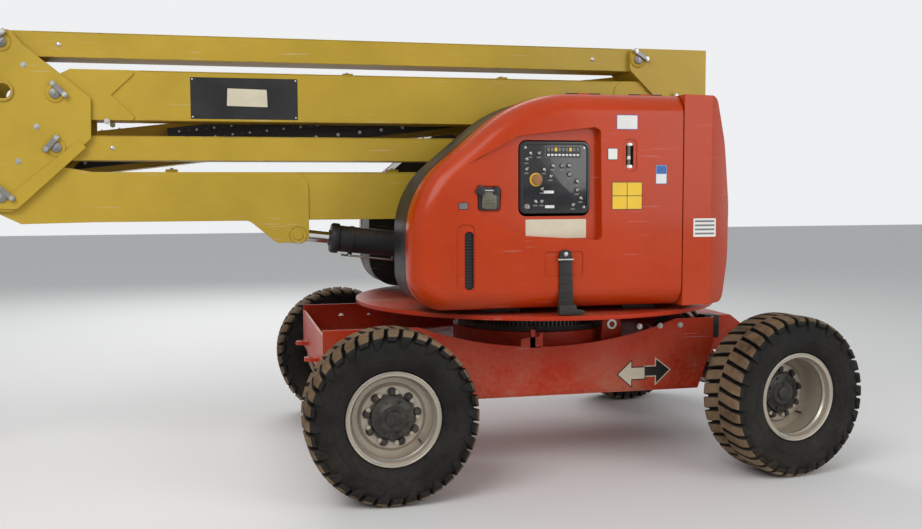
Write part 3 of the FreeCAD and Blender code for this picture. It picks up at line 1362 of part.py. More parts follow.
def jib():
    """The jib's box tube and its link, modelled level and then dipped."""
    x, z = JIB_PIN
    low = jib_y() - S.jib_width / 2
    high = jib_y() + S.jib_width / 2
    far = x - S.jib_length
    body = tube("jib", far + 30, x - 30, z, S.jib_depth, low, high, 6)
    pieces = [body]
    for end, place in (("near", x), ("far", far)):
        pieces.append(pin(f"jib_boss_{end}", place, z, low, high, 38))
    ear_x, ear_z = x - S.jib_cyl_reach, z - S.jib_cyl_side
    ear = [(ear_x - 60, z - 40), (ear_x - 28, ear_z - 26), (ear_x + 28, ear_z - 26), (ear_x + 60, z - 40)]
    for side, start in (("near", low), ("far", high - 12)):
        pieces.append(pad(f"jib_ear_{side}", "xz", ear, start, start + 12, rounds=[((1, 2), 20)]))
    eye = S.main_y + S.jib_cyl_shift - S.jib_eye / 2
    pieces.append(pin("jib_ear_pin", ear_x, ear_z, low - 5, eye - S.seat_gap, 16))
    holes = [bore("jib_bore_near", x, z, low, high, 20), bore("jib_bore_far", far, z, low, high, 20)]
    piece = less("jib", joined("jib_blank", pieces), holes)
    node("jib", tilt(piece, (x, 0, z), -float(S.jib_rest)))
    link_x, link_z = JIB_LINK_PIN
    link_far = link_x - S.jib_length
    half = S.jib_link_depth / 2
    bar = [
        box("jib_link_bar", (link_far + 10, low + 20, link_z - half), (link_x - 10, high - 20, link_z + half))
    ]
    for end, place in (("near", link_x), ("far", link_far)):
        bar.append(pin(f"jib_link_boss_{end}", place, link_z, low + 20, high - 20, 26))
    link_holes = [
        bore("jib_link_bore_near", link_x, link_z, low, high, 14),
        bore("jib_link_bore_far", link_far, link_z, low, high, 14),
    ]
    piece = less("jib_link", joined("jib_link_blank", bar), link_holes)
    node("jib_link", tilt(piece, (link_x, 0, link_z), -float(S.jib_rest)))


def platform_support():
    """Plates on the jib's end pins that hold the rotator's upright body."""
    mid = S.main_y
    x, z = JIB_END
    turning = ROTATOR_X + 80
    outline = [
        (x + 34, z - 34), (JIB_LINK_END[0] + 34, JIB_LINK_END[1] + 30),
        (JIB_LINK_END[0] - 30, JIB_LINK_END[1] + 34), (turning, z + 248), (ROTATOR_X, z + 248),
        (ROTATOR_X, z - 20), (turning, z - 20),
    ]
    half = S.bracket_half_width
    pieces = []
    for side, low in (("near", mid - half - S.bracket_plate), ("far", mid + half)):
        rounds = [((0, 1, 2), 24)]
        pieces.append(pad(f"support_{side}", "xz", outline, low, low + S.bracket_plate, rounds))
    low, high = mid - half - S.bracket_plate - 2, mid + half + S.bracket_plate + 2
    pieces.append(pin("support_pin_jib", x, z, low, high, 20))
    pieces.append(pin("support_pin_link", JIB_LINK_END[0], JIB_LINK_END[1], low, high, 14))
    pieces.append(rod("rotator_body", "z", (ROTATOR_X, mid, z - 20), S.rotator_radius, 270))
    web = box("support_web", (ROTATOR_X - 20, mid - half - 1, z - 20), (ROTATOR_X + 56, mid + half + 1, z + 250))
    pieces.append(web)
    hole = rod("rotator_hole", "z", (ROTATOR_X, mid, z - 21), S.spindle_radius + S.pin_clearance, 272)
    node("platform_support", less("platform_support", joined("support_blank", pieces), [hole]))


def gate_opening():
    """The gate's two posts, as x places."""
    start = PLATFORM_LEFT + S.rail_radius + S.gate_from
    return start, start + S.gate_wide


def rails():
    """The platform's tube frame: posts on the floor, rails a little thinner, toe boards."""
    floor = S.platform_floor - S.tread_rise
    r = S.rail_radius
    thin = r - 2
    left, right = PLATFORM_LEFT + r, PLATFORM_RIGHT - r
    low, high = PLATFORM_LOW + r, PLATFORM_HIGH - r
    middle = S.main_y
    gate_from, gate_to = gate_opening()
    top = S.platform_floor + S.rail_height
    posts = [
        (left, low), (right, low), (left, high), (right, high), (left, middle), (right, middle),
        (gate_from, low), (gate_to, low),
    ]
    pieces = []
    for number, (x, y) in enumerate(posts):
        pieces.append(rod(f"post_{number}", "z", (x, y, floor), r, top - floor))
    for level, z in (("top", top - r), ("mid", S.platform_floor + S.rail_height / 2)):
        pieces.append(rod(f"rail_{level}_left", "y", (left, low, z), thin, high - low))
        pieces.append(rod(f"rail_{level}_right", "y", (right, low, z), thin, high - low))
        pieces.append(rod(f"rail_{level}_far", "x", (left, high, z), thin, right - left))
        pieces.append(rod(f"rail_{level}_near_a", "x", (left, low, z), thin, gate_from - left))
        pieces.append(rod(f"rail_{level}_near_b", "x", (gate_to, low, z), thin, right - gate_to))
    half = S.toe_plate / 2
    toe = floor + S.toe_board
    for name, start, end in (
        ("left", (left - half, low), (left + half, high)),
        ("right", (right - half, low), (right + half, high)),
        ("far", (left, high - half), (right, high + half)),
        ("near_a", (left, low - half), (gate_from, low + half)),
        ("near_b", (gate_to, low - half), (right, low + half)),
    ):
        pieces.append(box("toe_" + name, (start[0], start[1], floor), (end[0], end[1], toe)))
    hinge_x = gate_to - S.gate_stand_off
    leaf_low, leaf_top = gate_levels()
    for name, z_low, z_pin in (("low", leaf_low - 16, leaf_low - 12), ("top", leaf_top + 6, leaf_top - 34)):
        pieces.append(box(f"gate_hinge_{name}", (hinge_x - 12, low - 10, z_low), (gate_to, low + 10, z_low + 10)))
        pieces.append(rod(f"gate_hinge_pin_{name}", "z", (hinge_x, low, z_pin), S.gate_pin, 46))
    node("platform_rails", joined("platform_rails", pieces))


def floor_plate():
    """The platform's floor on its beams, with the arms that hold the rotator's pins."""
    floor = S.platform_floor - S.tread_rise
    r = S.rail_radius
    middle = S.main_y
    inset = r * 2 + 6
    pieces = [
        box("floor_plate", (PLATFORM_LEFT, PLATFORM_LOW, floor - 8), (PLATFORM_RIGHT, PLATFORM_HIGH, floor)),
        box(
            "floor_tread", (PLATFORM_LEFT + inset, PLATFORM_LOW + inset, floor - 1),
            (PLATFORM_RIGHT - S.console_room, PLATFORM_HIGH - inset, S.platform_floor),
        ),
    ]
    beams = (PLATFORM_LOW + r, middle - 25, PLATFORM_HIGH - r - 50)
    for number, y in enumerate(beams):
        start = (PLATFORM_LEFT + r, y, floor - 48)
        pieces.append(box(f"floor_beam_{number}", start, (PLATFORM_RIGHT - r, y + 50, floor - 7)))
    z = JIB_END[1]
    swing_top = z + 256
    near, far = middle - 60, middle + 60
    inner = ROTATOR_X + 40
    pieces += [
        box("swing_arm_top", (PLATFORM_RIGHT + 1, near, swing_top), (inner, far, swing_top + 20)),
        box("swing_arm_low", (PLATFORM_RIGHT + 1, near, z - 46), (inner, far, z - 26)),
        box(
            "swing_arm_back", (PLATFORM_RIGHT + S.seat_gap, near, floor - 48),
            (PLATFORM_RIGHT + 12, far, swing_top + 20),
        ),
        box("swing_arm_foot", (PLATFORM_RIGHT - 60, near, floor - 48), (PLATFORM_RIGHT + 12, far, floor - 7)),
        rod("rotator_pin_low", "z", (ROTATOR_X, middle, z - 30), S.spindle_radius, 80),
        rod("rotator_pin_top", "z", (ROTATOR_X, middle, swing_top - 70), S.spindle_radius, 80),
    ]
    node("platform_floor", joined("platform_floor", pieces))


def gate_levels():
    """Bottom and top of the gate's posts."""
    low = S.platform_floor + S.toe_board + 40
    return low, low + S.rail_height - S.toe_board - 90


def gate():
    """A tube leaf on two pins in the near rail."""
    r = S.rail_radius
    y = PLATFORM_LOW + r
    gate_from, gate_to = gate_opening()
    low, top = gate_levels()
    start, hinge_x = gate_from + 56, gate_to - S.gate_stand_off
    leaf = [rod("gate_post_a", "z", (start, y, low), r - 3, top - low)]
    leaf.append(rod("gate_post_b", "z", (hinge_x, y, low), r - 3, top - low))
    for number, z in enumerate((low + 20, S.platform_floor + S.rail_height / 2, top - 20)):
        leaf.append(rod(f"gate_bar_{number}", "x", (start, y, z), r - 5, hinge_x - start))
    hole = rod("gate_hole", "z", (hinge_x, y, low - 5), S.gate_pin + S.pin_clearance, S.rail_height)
    node("platform_gate", less("platform_gate", joined("gate_blank", leaf), [hole]))


def console():
    """The control box on the top rail, with two joysticks."""
    right = PLATFORM_RIGHT - S.rail_radius
    back = right - S.rail_radius - S.seat_gap
    top = S.platform_floor + S.rail_height
    middle = S.main_y
    front = PLATFORM_RIGHT - S.console_room + 6
    case = pad(
        "console_case", "xz",
        [(front, top - 200), (back, top - 200), (back, top - 20), (right - 30, top + 20), (front, top - 30)],
        middle - 230, middle + 230,
    )
    pieces = [case]
    for name, y in (("a", middle - 140), ("b", middle + 140)):
        pieces.append(rod(f"console_stick_{name}", "z", (right - 90, y, top - 30), 9, 90))
        pieces.append(rod(f"console_knob_{name}", "z", (right - 90, y, top + 40), 17, 30))
    node("platform_console", joined("platform_console", pieces))


def check_document():
    """Stops the build when a feature or a node's solid has failed."""
    DOC.recompute()
    faults = []
    for thing in DOC.Objects:
        if "Invalid" in thing.State or "Error" in thing.State:
            faults.append(f"{thing.Name} {thing.State}")
    for name, thing in NODES.items():
        shape = thing.Shape
        if shape.isNull() or not shape.isValid() or not shape.Solids:
            faults.append(f"{name} has no valid solid")
    if faults:
        raise RuntimeError("; ".join(faults))


def write_parts():
    os.makedirs("parts", exist_ok=True)
    for name, thing in NODES.items():
        thing.Shape.exportStep(f"parts/{name}.step")


wheels()
axles()
chassis()
turntable()
counterweight()
for hood_side, hood_sign in (("near", -1), ("far", 1)):
    hood(hood_side, hood_sign)
    hood_frame(hood_side, hood_sign)
inside_hoods()
lower_tower()
lower_upright()
mid_tower()
upper_upright()
cylinders()
main_boom()
fly_boom()
cable_carrier()
level_bracket()
jib()
platform_support()
rails()
floor_plate()
gate()
console()
check_document()
write_parts()
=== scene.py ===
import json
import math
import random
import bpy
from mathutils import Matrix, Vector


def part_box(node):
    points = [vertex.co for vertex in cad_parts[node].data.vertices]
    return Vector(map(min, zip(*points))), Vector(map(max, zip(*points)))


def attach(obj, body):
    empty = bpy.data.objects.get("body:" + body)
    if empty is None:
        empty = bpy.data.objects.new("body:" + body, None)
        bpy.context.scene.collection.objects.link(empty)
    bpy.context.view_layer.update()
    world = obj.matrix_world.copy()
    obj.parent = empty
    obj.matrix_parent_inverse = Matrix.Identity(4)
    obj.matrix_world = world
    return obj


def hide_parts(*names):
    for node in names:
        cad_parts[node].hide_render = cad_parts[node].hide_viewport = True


bl_info = {
    "name": "Articulating boom lift",
    "version": (1, 0, 0),
    "blender": (4, 5, 0),
    "location": "View3D > Sidebar > Boom lift",
    "description": "Dresses the packed boom lift with paint, trim, hoses and a studio floor",
    "category": "Object",
}

import bmesh
import bpy
from mathutils import Matrix, Vector

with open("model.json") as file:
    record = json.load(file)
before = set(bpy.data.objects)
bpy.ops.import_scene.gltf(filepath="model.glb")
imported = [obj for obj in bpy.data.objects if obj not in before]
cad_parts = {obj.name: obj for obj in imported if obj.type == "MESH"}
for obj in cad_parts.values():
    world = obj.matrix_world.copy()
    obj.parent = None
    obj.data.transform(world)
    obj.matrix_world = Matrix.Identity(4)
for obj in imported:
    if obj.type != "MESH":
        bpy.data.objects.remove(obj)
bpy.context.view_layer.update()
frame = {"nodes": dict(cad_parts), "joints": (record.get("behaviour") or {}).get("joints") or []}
NODES = frame["nodes"]
PLACE = {joint["name"]: Vector(joint["pos_m"]) for joint in frame["joints"] if "pos_m" in joint}

UP = Vector((0.0, 0.0, 1.0))
NEAR = Vector((0.0, -1.0, 0.0))


# Settings

class PaintSettings(bpy.types.PropertyGroup):
    """Colours and wear of the painted steel and the mouldings."""

    hood: bpy.props.FloatVectorProperty(
        name="Hood colour", description="Glossy moulded covers and counterweight",
        subtype="COLOR", size=3, min=0.0, max=1.0, default=(0.45, 0.036, 0.001),
    )
    chassis: bpy.props.FloatVectorProperty(
        name="Chassis colour", description="Painted steel of chassis, turntable, jib and platform",
        subtype="COLOR", size=3, min=0.0, max=1.0, default=(0.42, 0.022, 0.001),
    )
    boom: bpy.props.FloatVectorProperty(
        name="Boom colour", description="Booms, links and uprights",
        subtype="COLOR", size=3, min=0.0, max=1.0, default=(0.45, 0.300, 0.029),
    )
    black: bpy.props.FloatVectorProperty(
        name="Black paint", description="Axles, cylinders and brackets",
        subtype="COLOR", size=3, min=0.0, max=1.0, default=(0.018, 0.018, 0.019),
    )
    rim: bpy.props.FloatVectorProperty(
        name="Rim colour", description="Wheel rims and discs",
        subtype="COLOR", size=3, min=0.0, max=1.0, default=(0.37, 0.325, 0.26),
    )
    wear: bpy.props.FloatProperty(
        name="Wear", description="How far edges are rubbed to bare metal", subtype="FACTOR",
        min=0.0, max=1.0, default=0.5,
    )
    dust: bpy.props.FloatProperty(
        name="Dust", description="Tan road dust near the ground", subtype="FACTOR",
        min=0.0, max=1.0, default=0.5,
    )


class StageSettings(bpy.types.PropertyGroup):
    """Camera and studio."""

    place: bpy.props.FloatVectorProperty(
        name="Camera place", description="Where the camera stands", subtype="TRANSLATION", unit="LENGTH",
        size=3, default=(-0.073, -5.764, 1.488),
    )
    yaw: bpy.props.FloatProperty(
        name="Yaw", description="Turn to the right of +Y", subtype="ANGLE", default=math.radians(13.41),
    )
    pitch: bpy.props.FloatProperty(
        name="Pitch", description="Dip below the horizon", subtype="ANGLE", default=math.radians(4.24),
    )
    roll: bpy.props.FloatProperty(
        name="Roll", description="Lean of the horizon", subtype="ANGLE", default=math.radians(-0.18),
    )
    lens: bpy.props.FloatProperty(
        name="Lens", description="Focal length on a 36 mm sensor", unit="CAMERA", default=39.83,
    )
    floor: bpy.props.FloatVectorProperty(
        name="Floor colour", description="Floor and backdrop", subtype="COLOR", size=3,
        min=0.0, max=1.0, default=(0.80, 0.80, 0.79),
    )


# Mesh helpers

def piece_from(name, bm, material, body, smooth=35.0):
    """Turns a bmesh into a piece that rides on a body."""
    bmesh.ops.remove_doubles(bm, verts=bm.verts, dist=1e-6)
    bmesh.ops.recalc_face_normals(bm, faces=bm.faces)
    mesh = bpy.data.meshes.new(name)
    bm.to_mesh(mesh)
    bm.free()
    piece = bpy.data.objects.new(name, mesh)
    bpy.context.scene.collection.objects.link(piece)
    if smooth is not None:
        for face in mesh.polygons:
            face.use_smooth = True
        mesh.set_sharp_from_angle(angle=math.radians(smooth))
    for each in material if isinstance(material, (list, tuple)) else [material]:
        mesh.materials.append(each)
    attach(piece, body)
    return piece


def add_prism(bm, outline, low, high, plane="xz", bevel=0.0, segments=2, material=0):
    """An outline drawn out from low to high, with rounded edges."""
    order = {"xz": (0, 2, 1), "xy": (0, 1, 2), "yz": (1, 2, 0)}[plane]
    rings = []
    for level in (low, high):
        ring = []
        for a, b in outline:
            place = [0.0, 0.0, 0.0]
            place[order[0]] = a
            place[order[1]] = b
            place[order[2]] = level
            ring.append(bm.verts.new(place))
        rings.append(ring)
    faces = [bm.faces.new(rings[0]), bm.faces.new(list(reversed(rings[1])))]
    count = len(outline)
    for i in range(count):
        j = (i + 1) % count
        faces.append(bm.faces.new((rings[0][j], rings[0][i], rings[1][i], rings[1][j])))
    for face in faces:
        face.material_index = material
    if bevel > 0.0:
        edges = {edge for face in faces for edge in face.edges}
        result = bmesh.ops.bevel(
            bm, geom=list(edges), offset=bevel, segments=segments, profile=0.6, affect="EDGES",
            clamp_overlap=True,
        )
        for face in result["faces"]:
            face.material_index = material
    return faces


def add_block(bm, low, high, bevel=0.002, segments=2, material=0):
    """A block between two corners with rounded edges."""
    outline = [(low[0], low[2]), (high[0], low[2]), (high[0], high[2]), (low[0], high[2])]
    return add_prism(bm, outline, low[1], high[1], "xz", bevel, segments, material)


def frame_along(axis):
    """Two directions square to an axis."""
    axis = Vector(axis).normalized()
    side = axis.orthogonal().normalized()
    return side, axis.cross(side)


def add_lathe(bm, centre, axis, profile, segments=32, material=0, closed=False):
    """A profile of (distance along, radius) turned about an axis."""
    axis = Vector(axis).normalized()
    side, other = frame_along(axis)
    centre = Vector(centre)
    rings = []
    for reach, radius in profile:
        if radius < 1e-7:
            rings.append([bm.verts.new(centre + axis * reach)])
            continue
        ring = []
        for step in range(segments):
            angle = 2.0 * math.pi * step / segments
            ring.append(
                bm.verts.new(centre + axis * reach + (side * math.cos(angle) + other * math.sin(angle)) * radius)
            )
        rings.append(ring)
    pairs = list(zip(rings, rings[1:]))
    if closed:
        pairs.append((rings[-1], rings[0]))
    for one, two in pairs:
        if len(one) == 1 and len(two) == 1:
            continue
        for step in range(segments):
            following = (step + 1) % segments
            if len(one) == 1:
                corners = (one[0], two[following], two[step])
            elif len(two) == 1:
                corners = (one[step], one[following], two[0])
            else:
                corners = (one[step], one[following], two[following], two[step])
            bm.faces.new(corners).material_index = material
    return rings


def add_rod(bm, start, end, radius, segments=20, chamfer=0.15, material=0):
    """A round bar with chamfered ends."""
    start, end = Vector(start), Vector(end)
    length = (end - start).length
    cut = radius * chamfer
    profile = [(0.0, 0.0), (0.0, radius - cut), (cut, radius), (length - cut, radius), (length, radius - cut), (length, 0.0)]
    add_lathe(bm, start, end - start, profile, segments, material)


def add_bolt(bm, centre, axis, radius, height, material=0, washer=True):
    """A hexagon head on a washer."""
    axis = Vector(axis).normalized()
    centre = Vector(centre)
    if washer:
        add_lathe(
            bm, centre, axis,
            [(0, 0), (0, radius * 1.45), (height * 0.16, radius * 1.45), (height * 0.22, radius * 1.38), (height * 0.22, 0)],
            20, material,
        )
    side, other = frame_along(axis)
    base = centre + axis * height * 0.2
    rings = []
    for reach, size in ((0.0, 1.0), (height * 0.7, 1.0), (height * 0.8, 0.88)):
        ring = []
        for step in range(6):
            angle = math.pi / 3.0 * step
            ring.append(bm.verts.new(base + axis * reach + (side * math.cos(angle) + other * math.sin(angle)) * radius * size))
        rings.append(ring)
    for one, two in zip(rings, rings[1:]):
        for step in range(6):
            following = (step + 1) % 6
            bm.faces.new((one[step], one[following], two[following], two[step])).material_index = material
    bm.faces.new(rings[-1]).material_index = material
    bm.faces.new(list(reversed(rings[0]))).material_index = material


def smooth_path(points, steps=8):
    """Points on a rounded line through the given points."""
    points = [Vector(point) for point in points]
    if len(points) < 3:
        return points
    line = []
    padded = [points[0] * 2 - points[1]] + points + [points[-1] * 2 - points[-2]]
    for before, start, end, after in zip(padded, padded[1:], padded[2:], padded[3:]):
        for step in range(steps):
            t = step / steps
            line.append(
                0.5
                * (
                    2 * start
                    + (end - before) * t
                    + (2 * before - 5 * start + 4 * end - after) * t * t
                    + (3 * start - before - 3 * end + after) * t * t * t
                )
            )
    line.append(points[-1])
    return line


def add_tube(bm, points, radius, segments=12, material=0, steps=8):
    """A round tube along a rounded line, with closed ends."""
    line = smooth_path(points, steps)
    tangents = []
    for index in range(len(line)):
        ahead = line[min(index + 1, len(line) - 1)]
        behind = line[max(index - 1, 0)]
        tangents.append((ahead - behind).normalized())
    side = tangents[0].orthogonal().normalized()
    rings = []
    for place, tangent in zip(line, tangents):
        side = (side - tangent * side.dot(tangent)).normalized()
        other = tangent.cross(side)
        ring = []
        for step in range(segments):
            angle = 2.0 * math.pi * step / segments
            ring.append(bm.verts.new(place + (side * math.cos(angle) + other * math.sin(angle)) * radius))
        rings.append(ring)
    for one, two in zip(rings, rings[1:]):
        for step in range(segments):
            following = (step + 1) % segments
            bm.faces.new((one[step], one[following], two[following], two[step])).material_index = material
    bm.faces.new(list(reversed(rings[0]))).material_index = material
    bm.faces.new(rings[-1]).material_index = material


def rounded(outline, radii, steps=6):
    """An outline with its corners rounded; radii is one number or one for each corner."""
    count = len(outline)
    if not isinstance(radii, (list, tuple)):
        radii = [radii] * count
    line = []
    for index in range(count):
        here = Vector(outline[index])
        before = Vector(outline[index - 1])
        after = Vector(outline[(index + 1) % count])
        radius = radii[index]
        back, forth = (before - here), (after - here)
        if radius <= 0.0 or back.length < 1e-9 or forth.length < 1e-9:
            line.append(tuple(here))
            continue
        back_unit, forth_unit = back.normalized(), forth.normalized()
        half = back_unit.angle(forth_unit) / 2.0
        reach = min(radius / math.tan(half), back.length * 0.49, forth.length * 0.49)
        radius = reach * math.tan(half)
        centre = here + (back_unit + forth_unit).normalized() * (radius / math.sin(half))
        start = here + back_unit * reach - centre
        end = here + forth_unit * reach - centre
        turn = start.angle_signed(end)
        for step in range(steps + 1):
            angle = -turn * step / steps
            cosine, sine = math.cos(angle), math.sin(angle)
            line.append((centre.x + start.x * cosine - start.y * sine, centre.y + start.x * sine + start.y * cosine))
    return line


# Shader groups

def new_group(name, inputs, outputs):
    """A shader node group with named sockets; returns it with its two end nodes."""
    tree = bpy.data.node_groups.new(name, "ShaderNodeTree")
    for socket, kind, default in inputs:
        made = tree.interface.new_socket(name=socket, in_out="INPUT", socket_type=kind)
        made.default_value = default
    for socket, kind in outputs:
        tree.interface.new_socket(name=socket, in_out="OUTPUT", socket_type=kind)
    return tree, tree.nodes.new("NodeGroupInput"), tree.nodes.new("NodeGroupOutput")


class Wiring:
    """Short calls that add and link nodes in one tree."""

    def __init__(self, tree):
        self.tree = tree

    def add(self, kind, **settings):
        made = self.tree.nodes.new(kind)
        for key, value in settings.items():
            setattr(made, key, value)
        return made

    def link(self, source, target):
        self.tree.links.new(source, target)

    def feed(self, socket, value):
        if isinstance(value, bpy.types.NodeSocket):
            self.link(value, socket)
        else:
            socket.default_value = value

    def math(self, operation, one, two=0.5, clamp=False):
        made = self.add("ShaderNodeMath", operation=operation, use_clamp=clamp)
        self.feed(made.inputs[0], one)
        self.feed(made.inputs[1], two)
        return made.outputs[0]

    def ramp(self, value, low, high, out_low=0.0, out_high=1.0, smooth=True):
        """Maps a value between two limits to another range."""
        made = self.add("ShaderNodeMapRange", interpolation_type="SMOOTHSTEP" if smooth else "LINEAR")
        made.clamp = True
        self.feed(made.inputs["Value"], value)
        self.feed(made.inputs["From Min"], low)
        self.feed(made.inputs["From Max"], high)
        self.feed(made.inputs["To Min"], out_low)
        self.feed(made.inputs["To Max"], out_high)
        return made.outputs["Result"]

    def noise(self, vector, scale, detail=4.0, rough=0.55, distortion=0.0):
        made = self.add("ShaderNodeTexNoise")
        self.feed(made.inputs["Vector"], vector)
        self.feed(made.inputs["Scale"], scale)
        made.inputs["Detail"].default_value = detail
        made.inputs["Roughness"].default_value = rough
        made.inputs["Distortion"].default_value = distortion
        return made.outputs["Fac"]

    def mix(self, factor, one, two, blend="MIX"):
        made = self.add("ShaderNodeMix", data_type="RGBA", blend_type=blend)
        self.feed(made.inputs[0], factor)
        self.feed(made.inputs[6], one)
        self.feed(made.inputs[7], two)
        return made.outputs[2]

    def stretch(self, vector, scale):
        made = self.add("ShaderNodeMapping")
        self.feed(made.inputs["Vector"], vector)
        made.inputs["Scale"].default_value = scale
        return made.outputs["Vector"]


GROUPS = {}


def edge_group():
    """Where a surface is rubbed: rounded edges broken up by noise."""
    tree, start, end = new_group(
        "Edge wear",
        [("Radius", "NodeSocketFloat", 0.006), ("Amount", "NodeSocketFloat", 0.5)],
        [("Mask", "NodeSocketFloat")],
    )
    wires = Wiring(tree)
    bevel = wires.add("ShaderNodeBevel", samples=4)
    wires.link(start.outputs["Radius"], bevel.inputs["Radius"])
    shape = wires.add("ShaderNodeNewGeometry")
    dot = wires.add("ShaderNodeVectorMath", operation="DOT_PRODUCT")
    wires.link(bevel.outputs["Normal"], dot.inputs[0])
    wires.link(shape.outputs["Normal"], dot.inputs[1])
    edge = wires.math("SUBTRACT", 1.0, dot.outputs["Value"])
    place = wires.add("ShaderNodeTexCoord").outputs["Object"]
    patch = wires.noise(place, 9.0, 6.0, 0.65)
    grain = wires.noise(place, 70.0, 3.0, 0.6)
    both = wires.math("ADD", wires.math("MULTIPLY", patch, 0.7), wires.math("MULTIPLY", grain, 0.3))
    wanted = wires.math("SUBTRACT", 0.78, wires.math("MULTIPLY", start.outputs["Amount"], 0.42))
    broken = wires.ramp(both, wanted, wires.math("ADD", wanted, 0.05))
    mask = wires.math("MULTIPLY", wires.ramp(edge, 0.015, 0.10), broken, clamp=True)
    wires.link(mask, end.inputs["Mask"])
    return tree


def dust_group():
    """Road dust: thicker near the ground and on faces that look up."""
    tree, start, end = new_group(
        "Road dust",
        [("Amount", "NodeSocketFloat", 0.5), ("Top", "NodeSocketFloat", 0.9)],
        [("Mask", "NodeSocketFloat")],
    )
    wires = Wiring(tree)
    place = wires.add("ShaderNodeTexCoord").outputs["Object"]
    split = wires.add("ShaderNodeSeparateXYZ")
    wires.link(place, split.inputs[0])
    low = wires.ramp(split.outputs["Z"], start.outputs["Top"], 0.05)
    facing = wires.add("ShaderNodeSeparateXYZ")
    wires.link(wires.add("ShaderNodeNewGeometry").outputs["Normal"], facing.inputs[0])
    upward = wires.ramp(facing.outputs["Z"], 0.2, 0.9)
    cloud = wires.noise(place, 3.2, 7.0, 0.62)
    speck = wires.noise(place, 38.0, 5.0, 0.7)
    both = wires.math("ADD", wires.math("MULTIPLY", cloud, 0.65), wires.math("MULTIPLY", speck, 0.35))
    spread = wires.ramp(both, 0.36, 0.68)
    settle = wires.math("ADD", wires.math("MULTIPLY", low, 0.85), wires.math("MULTIPLY", upward, 0.45))
    mask = wires.math("MULTIPLY", wires.math("MULTIPLY", settle, spread), start.outputs["Amount"], clamp=True)
    wires.link(mask, end.inputs["Mask"])
    return tree


def rust_group():
    """Rust: freckles everywhere, blooms and runs where the noise is strongest."""
    tree, start, end = new_group(
        "Rust",
        [("Amount", "NodeSocketFloat", 0.3)],
        [("Mask", "NodeSocketFloat"), ("Color", "NodeSocketColor")],
    )
    wires = Wiring(tree)
    place = wires.add("ShaderNodeTexCoord").outputs["Object"]
    bloom = wires.noise(place, 5.5, 8.0, 0.66, 0.4)
    fine = wires.noise(place, 46.0, 6.0, 0.7)
    runs = wires.noise(wires.stretch(place, (30.0, 30.0, 2.2)), 1.0, 4.0, 0.6)
    total = wires.math("ADD", wires.math("MULTIPLY", bloom, 0.55), wires.math("MULTIPLY", fine, 0.27))
    total = wires.math("ADD", total, wires.math("MULTIPLY", runs, 0.18))
    wanted = wires.math("SUBTRACT", 0.74, wires.math("MULTIPLY", start.outputs["Amount"], 0.25))
    mask = wires.ramp(total, wanted, wires.math("ADD", wanted, 0.045))
    wires.link(mask, end.inputs["Mask"])
    tone = wires.noise(place, 25.0, 6.0, 0.7)
    colour = wires.mix(wires.ramp(tone, 0.35, 0.65), (0.115, 0.034, 0.012, 1.0), (0.30, 0.115, 0.035, 1.0))
    wires.link(colour, end.inputs["Color"])
    return tree


def scratch_group():
    """Fine scratches in two slanted directions."""
    tree, start, end = new_group(
        "Scratches",
        [("Amount", "NodeSocketFloat", 0.4), ("Scale", "NodeSocketFloat", 1.0)],
        [("Mask", "NodeSocketFloat")],
    )
    wires = Wiring(tree)
    place = wires.add("ShaderNodeTexCoord").outputs["Object"]
    sized = wires.add("ShaderNodeVectorMath", operation="SCALE")
    wires.link(place, sized.inputs[0])
    wires.link(start.outputs["Scale"], sized.inputs["Scale"])
    total = None
    for turn, stretch in (((0.0, 0.35, 0.1), (3.0, 14.0, 95.0)), ((0.2, -0.9, -0.2), (4.0, 20.0, 120.0))):
        turned = wires.add("ShaderNodeMapping")
        wires.link(sized.outputs[0], turned.inputs["Vector"])
        turned.inputs["Rotation"].default_value = turn
        turned.inputs["Scale"].default_value = stretch
        line = wires.noise(turned.outputs[0], 1.0, 2.0, 0.4)
        thin = wires.ramp(line, 0.70, 0.76)
        total = thin if total is None else wires.math("MAXIMUM", total, thin)
    where = wires.ramp(wires.noise(place, 2.6, 3.0, 0.5), 0.42, 0.62)
    mask = wires.math("MULTIPLY", wires.math("MULTIPLY", total, where), start.outputs["Amount"], clamp=True)
    wires.link(mask, end.inputs["Mask"])
    return tree


def mottle_group():
    """Slow variation of colour and fine unevenness of height."""
    tree, start, end = new_group(
        "Paint mottle",
        [("Scale", "NodeSocketFloat", 1.0)],
        [("Tone", "NodeSocketFloat"), ("Height", "NodeSocketFloat")],
    )
    wires = Wiring(tree)
    place = wires.add("ShaderNodeTexCoord").outputs["Object"]
    slow = wires.noise(place, wires.math("MULTIPLY", start.outputs["Scale"], 2.0), 6.0, 0.6)
    fine = wires.noise(place, wires.math("MULTIPLY", start.outputs["Scale"], 160.0), 2.0, 0.5)
    wires.link(slow, end.inputs["Tone"])
    wires.link(fine, end.inputs["Height"])
    return tree


# Materials

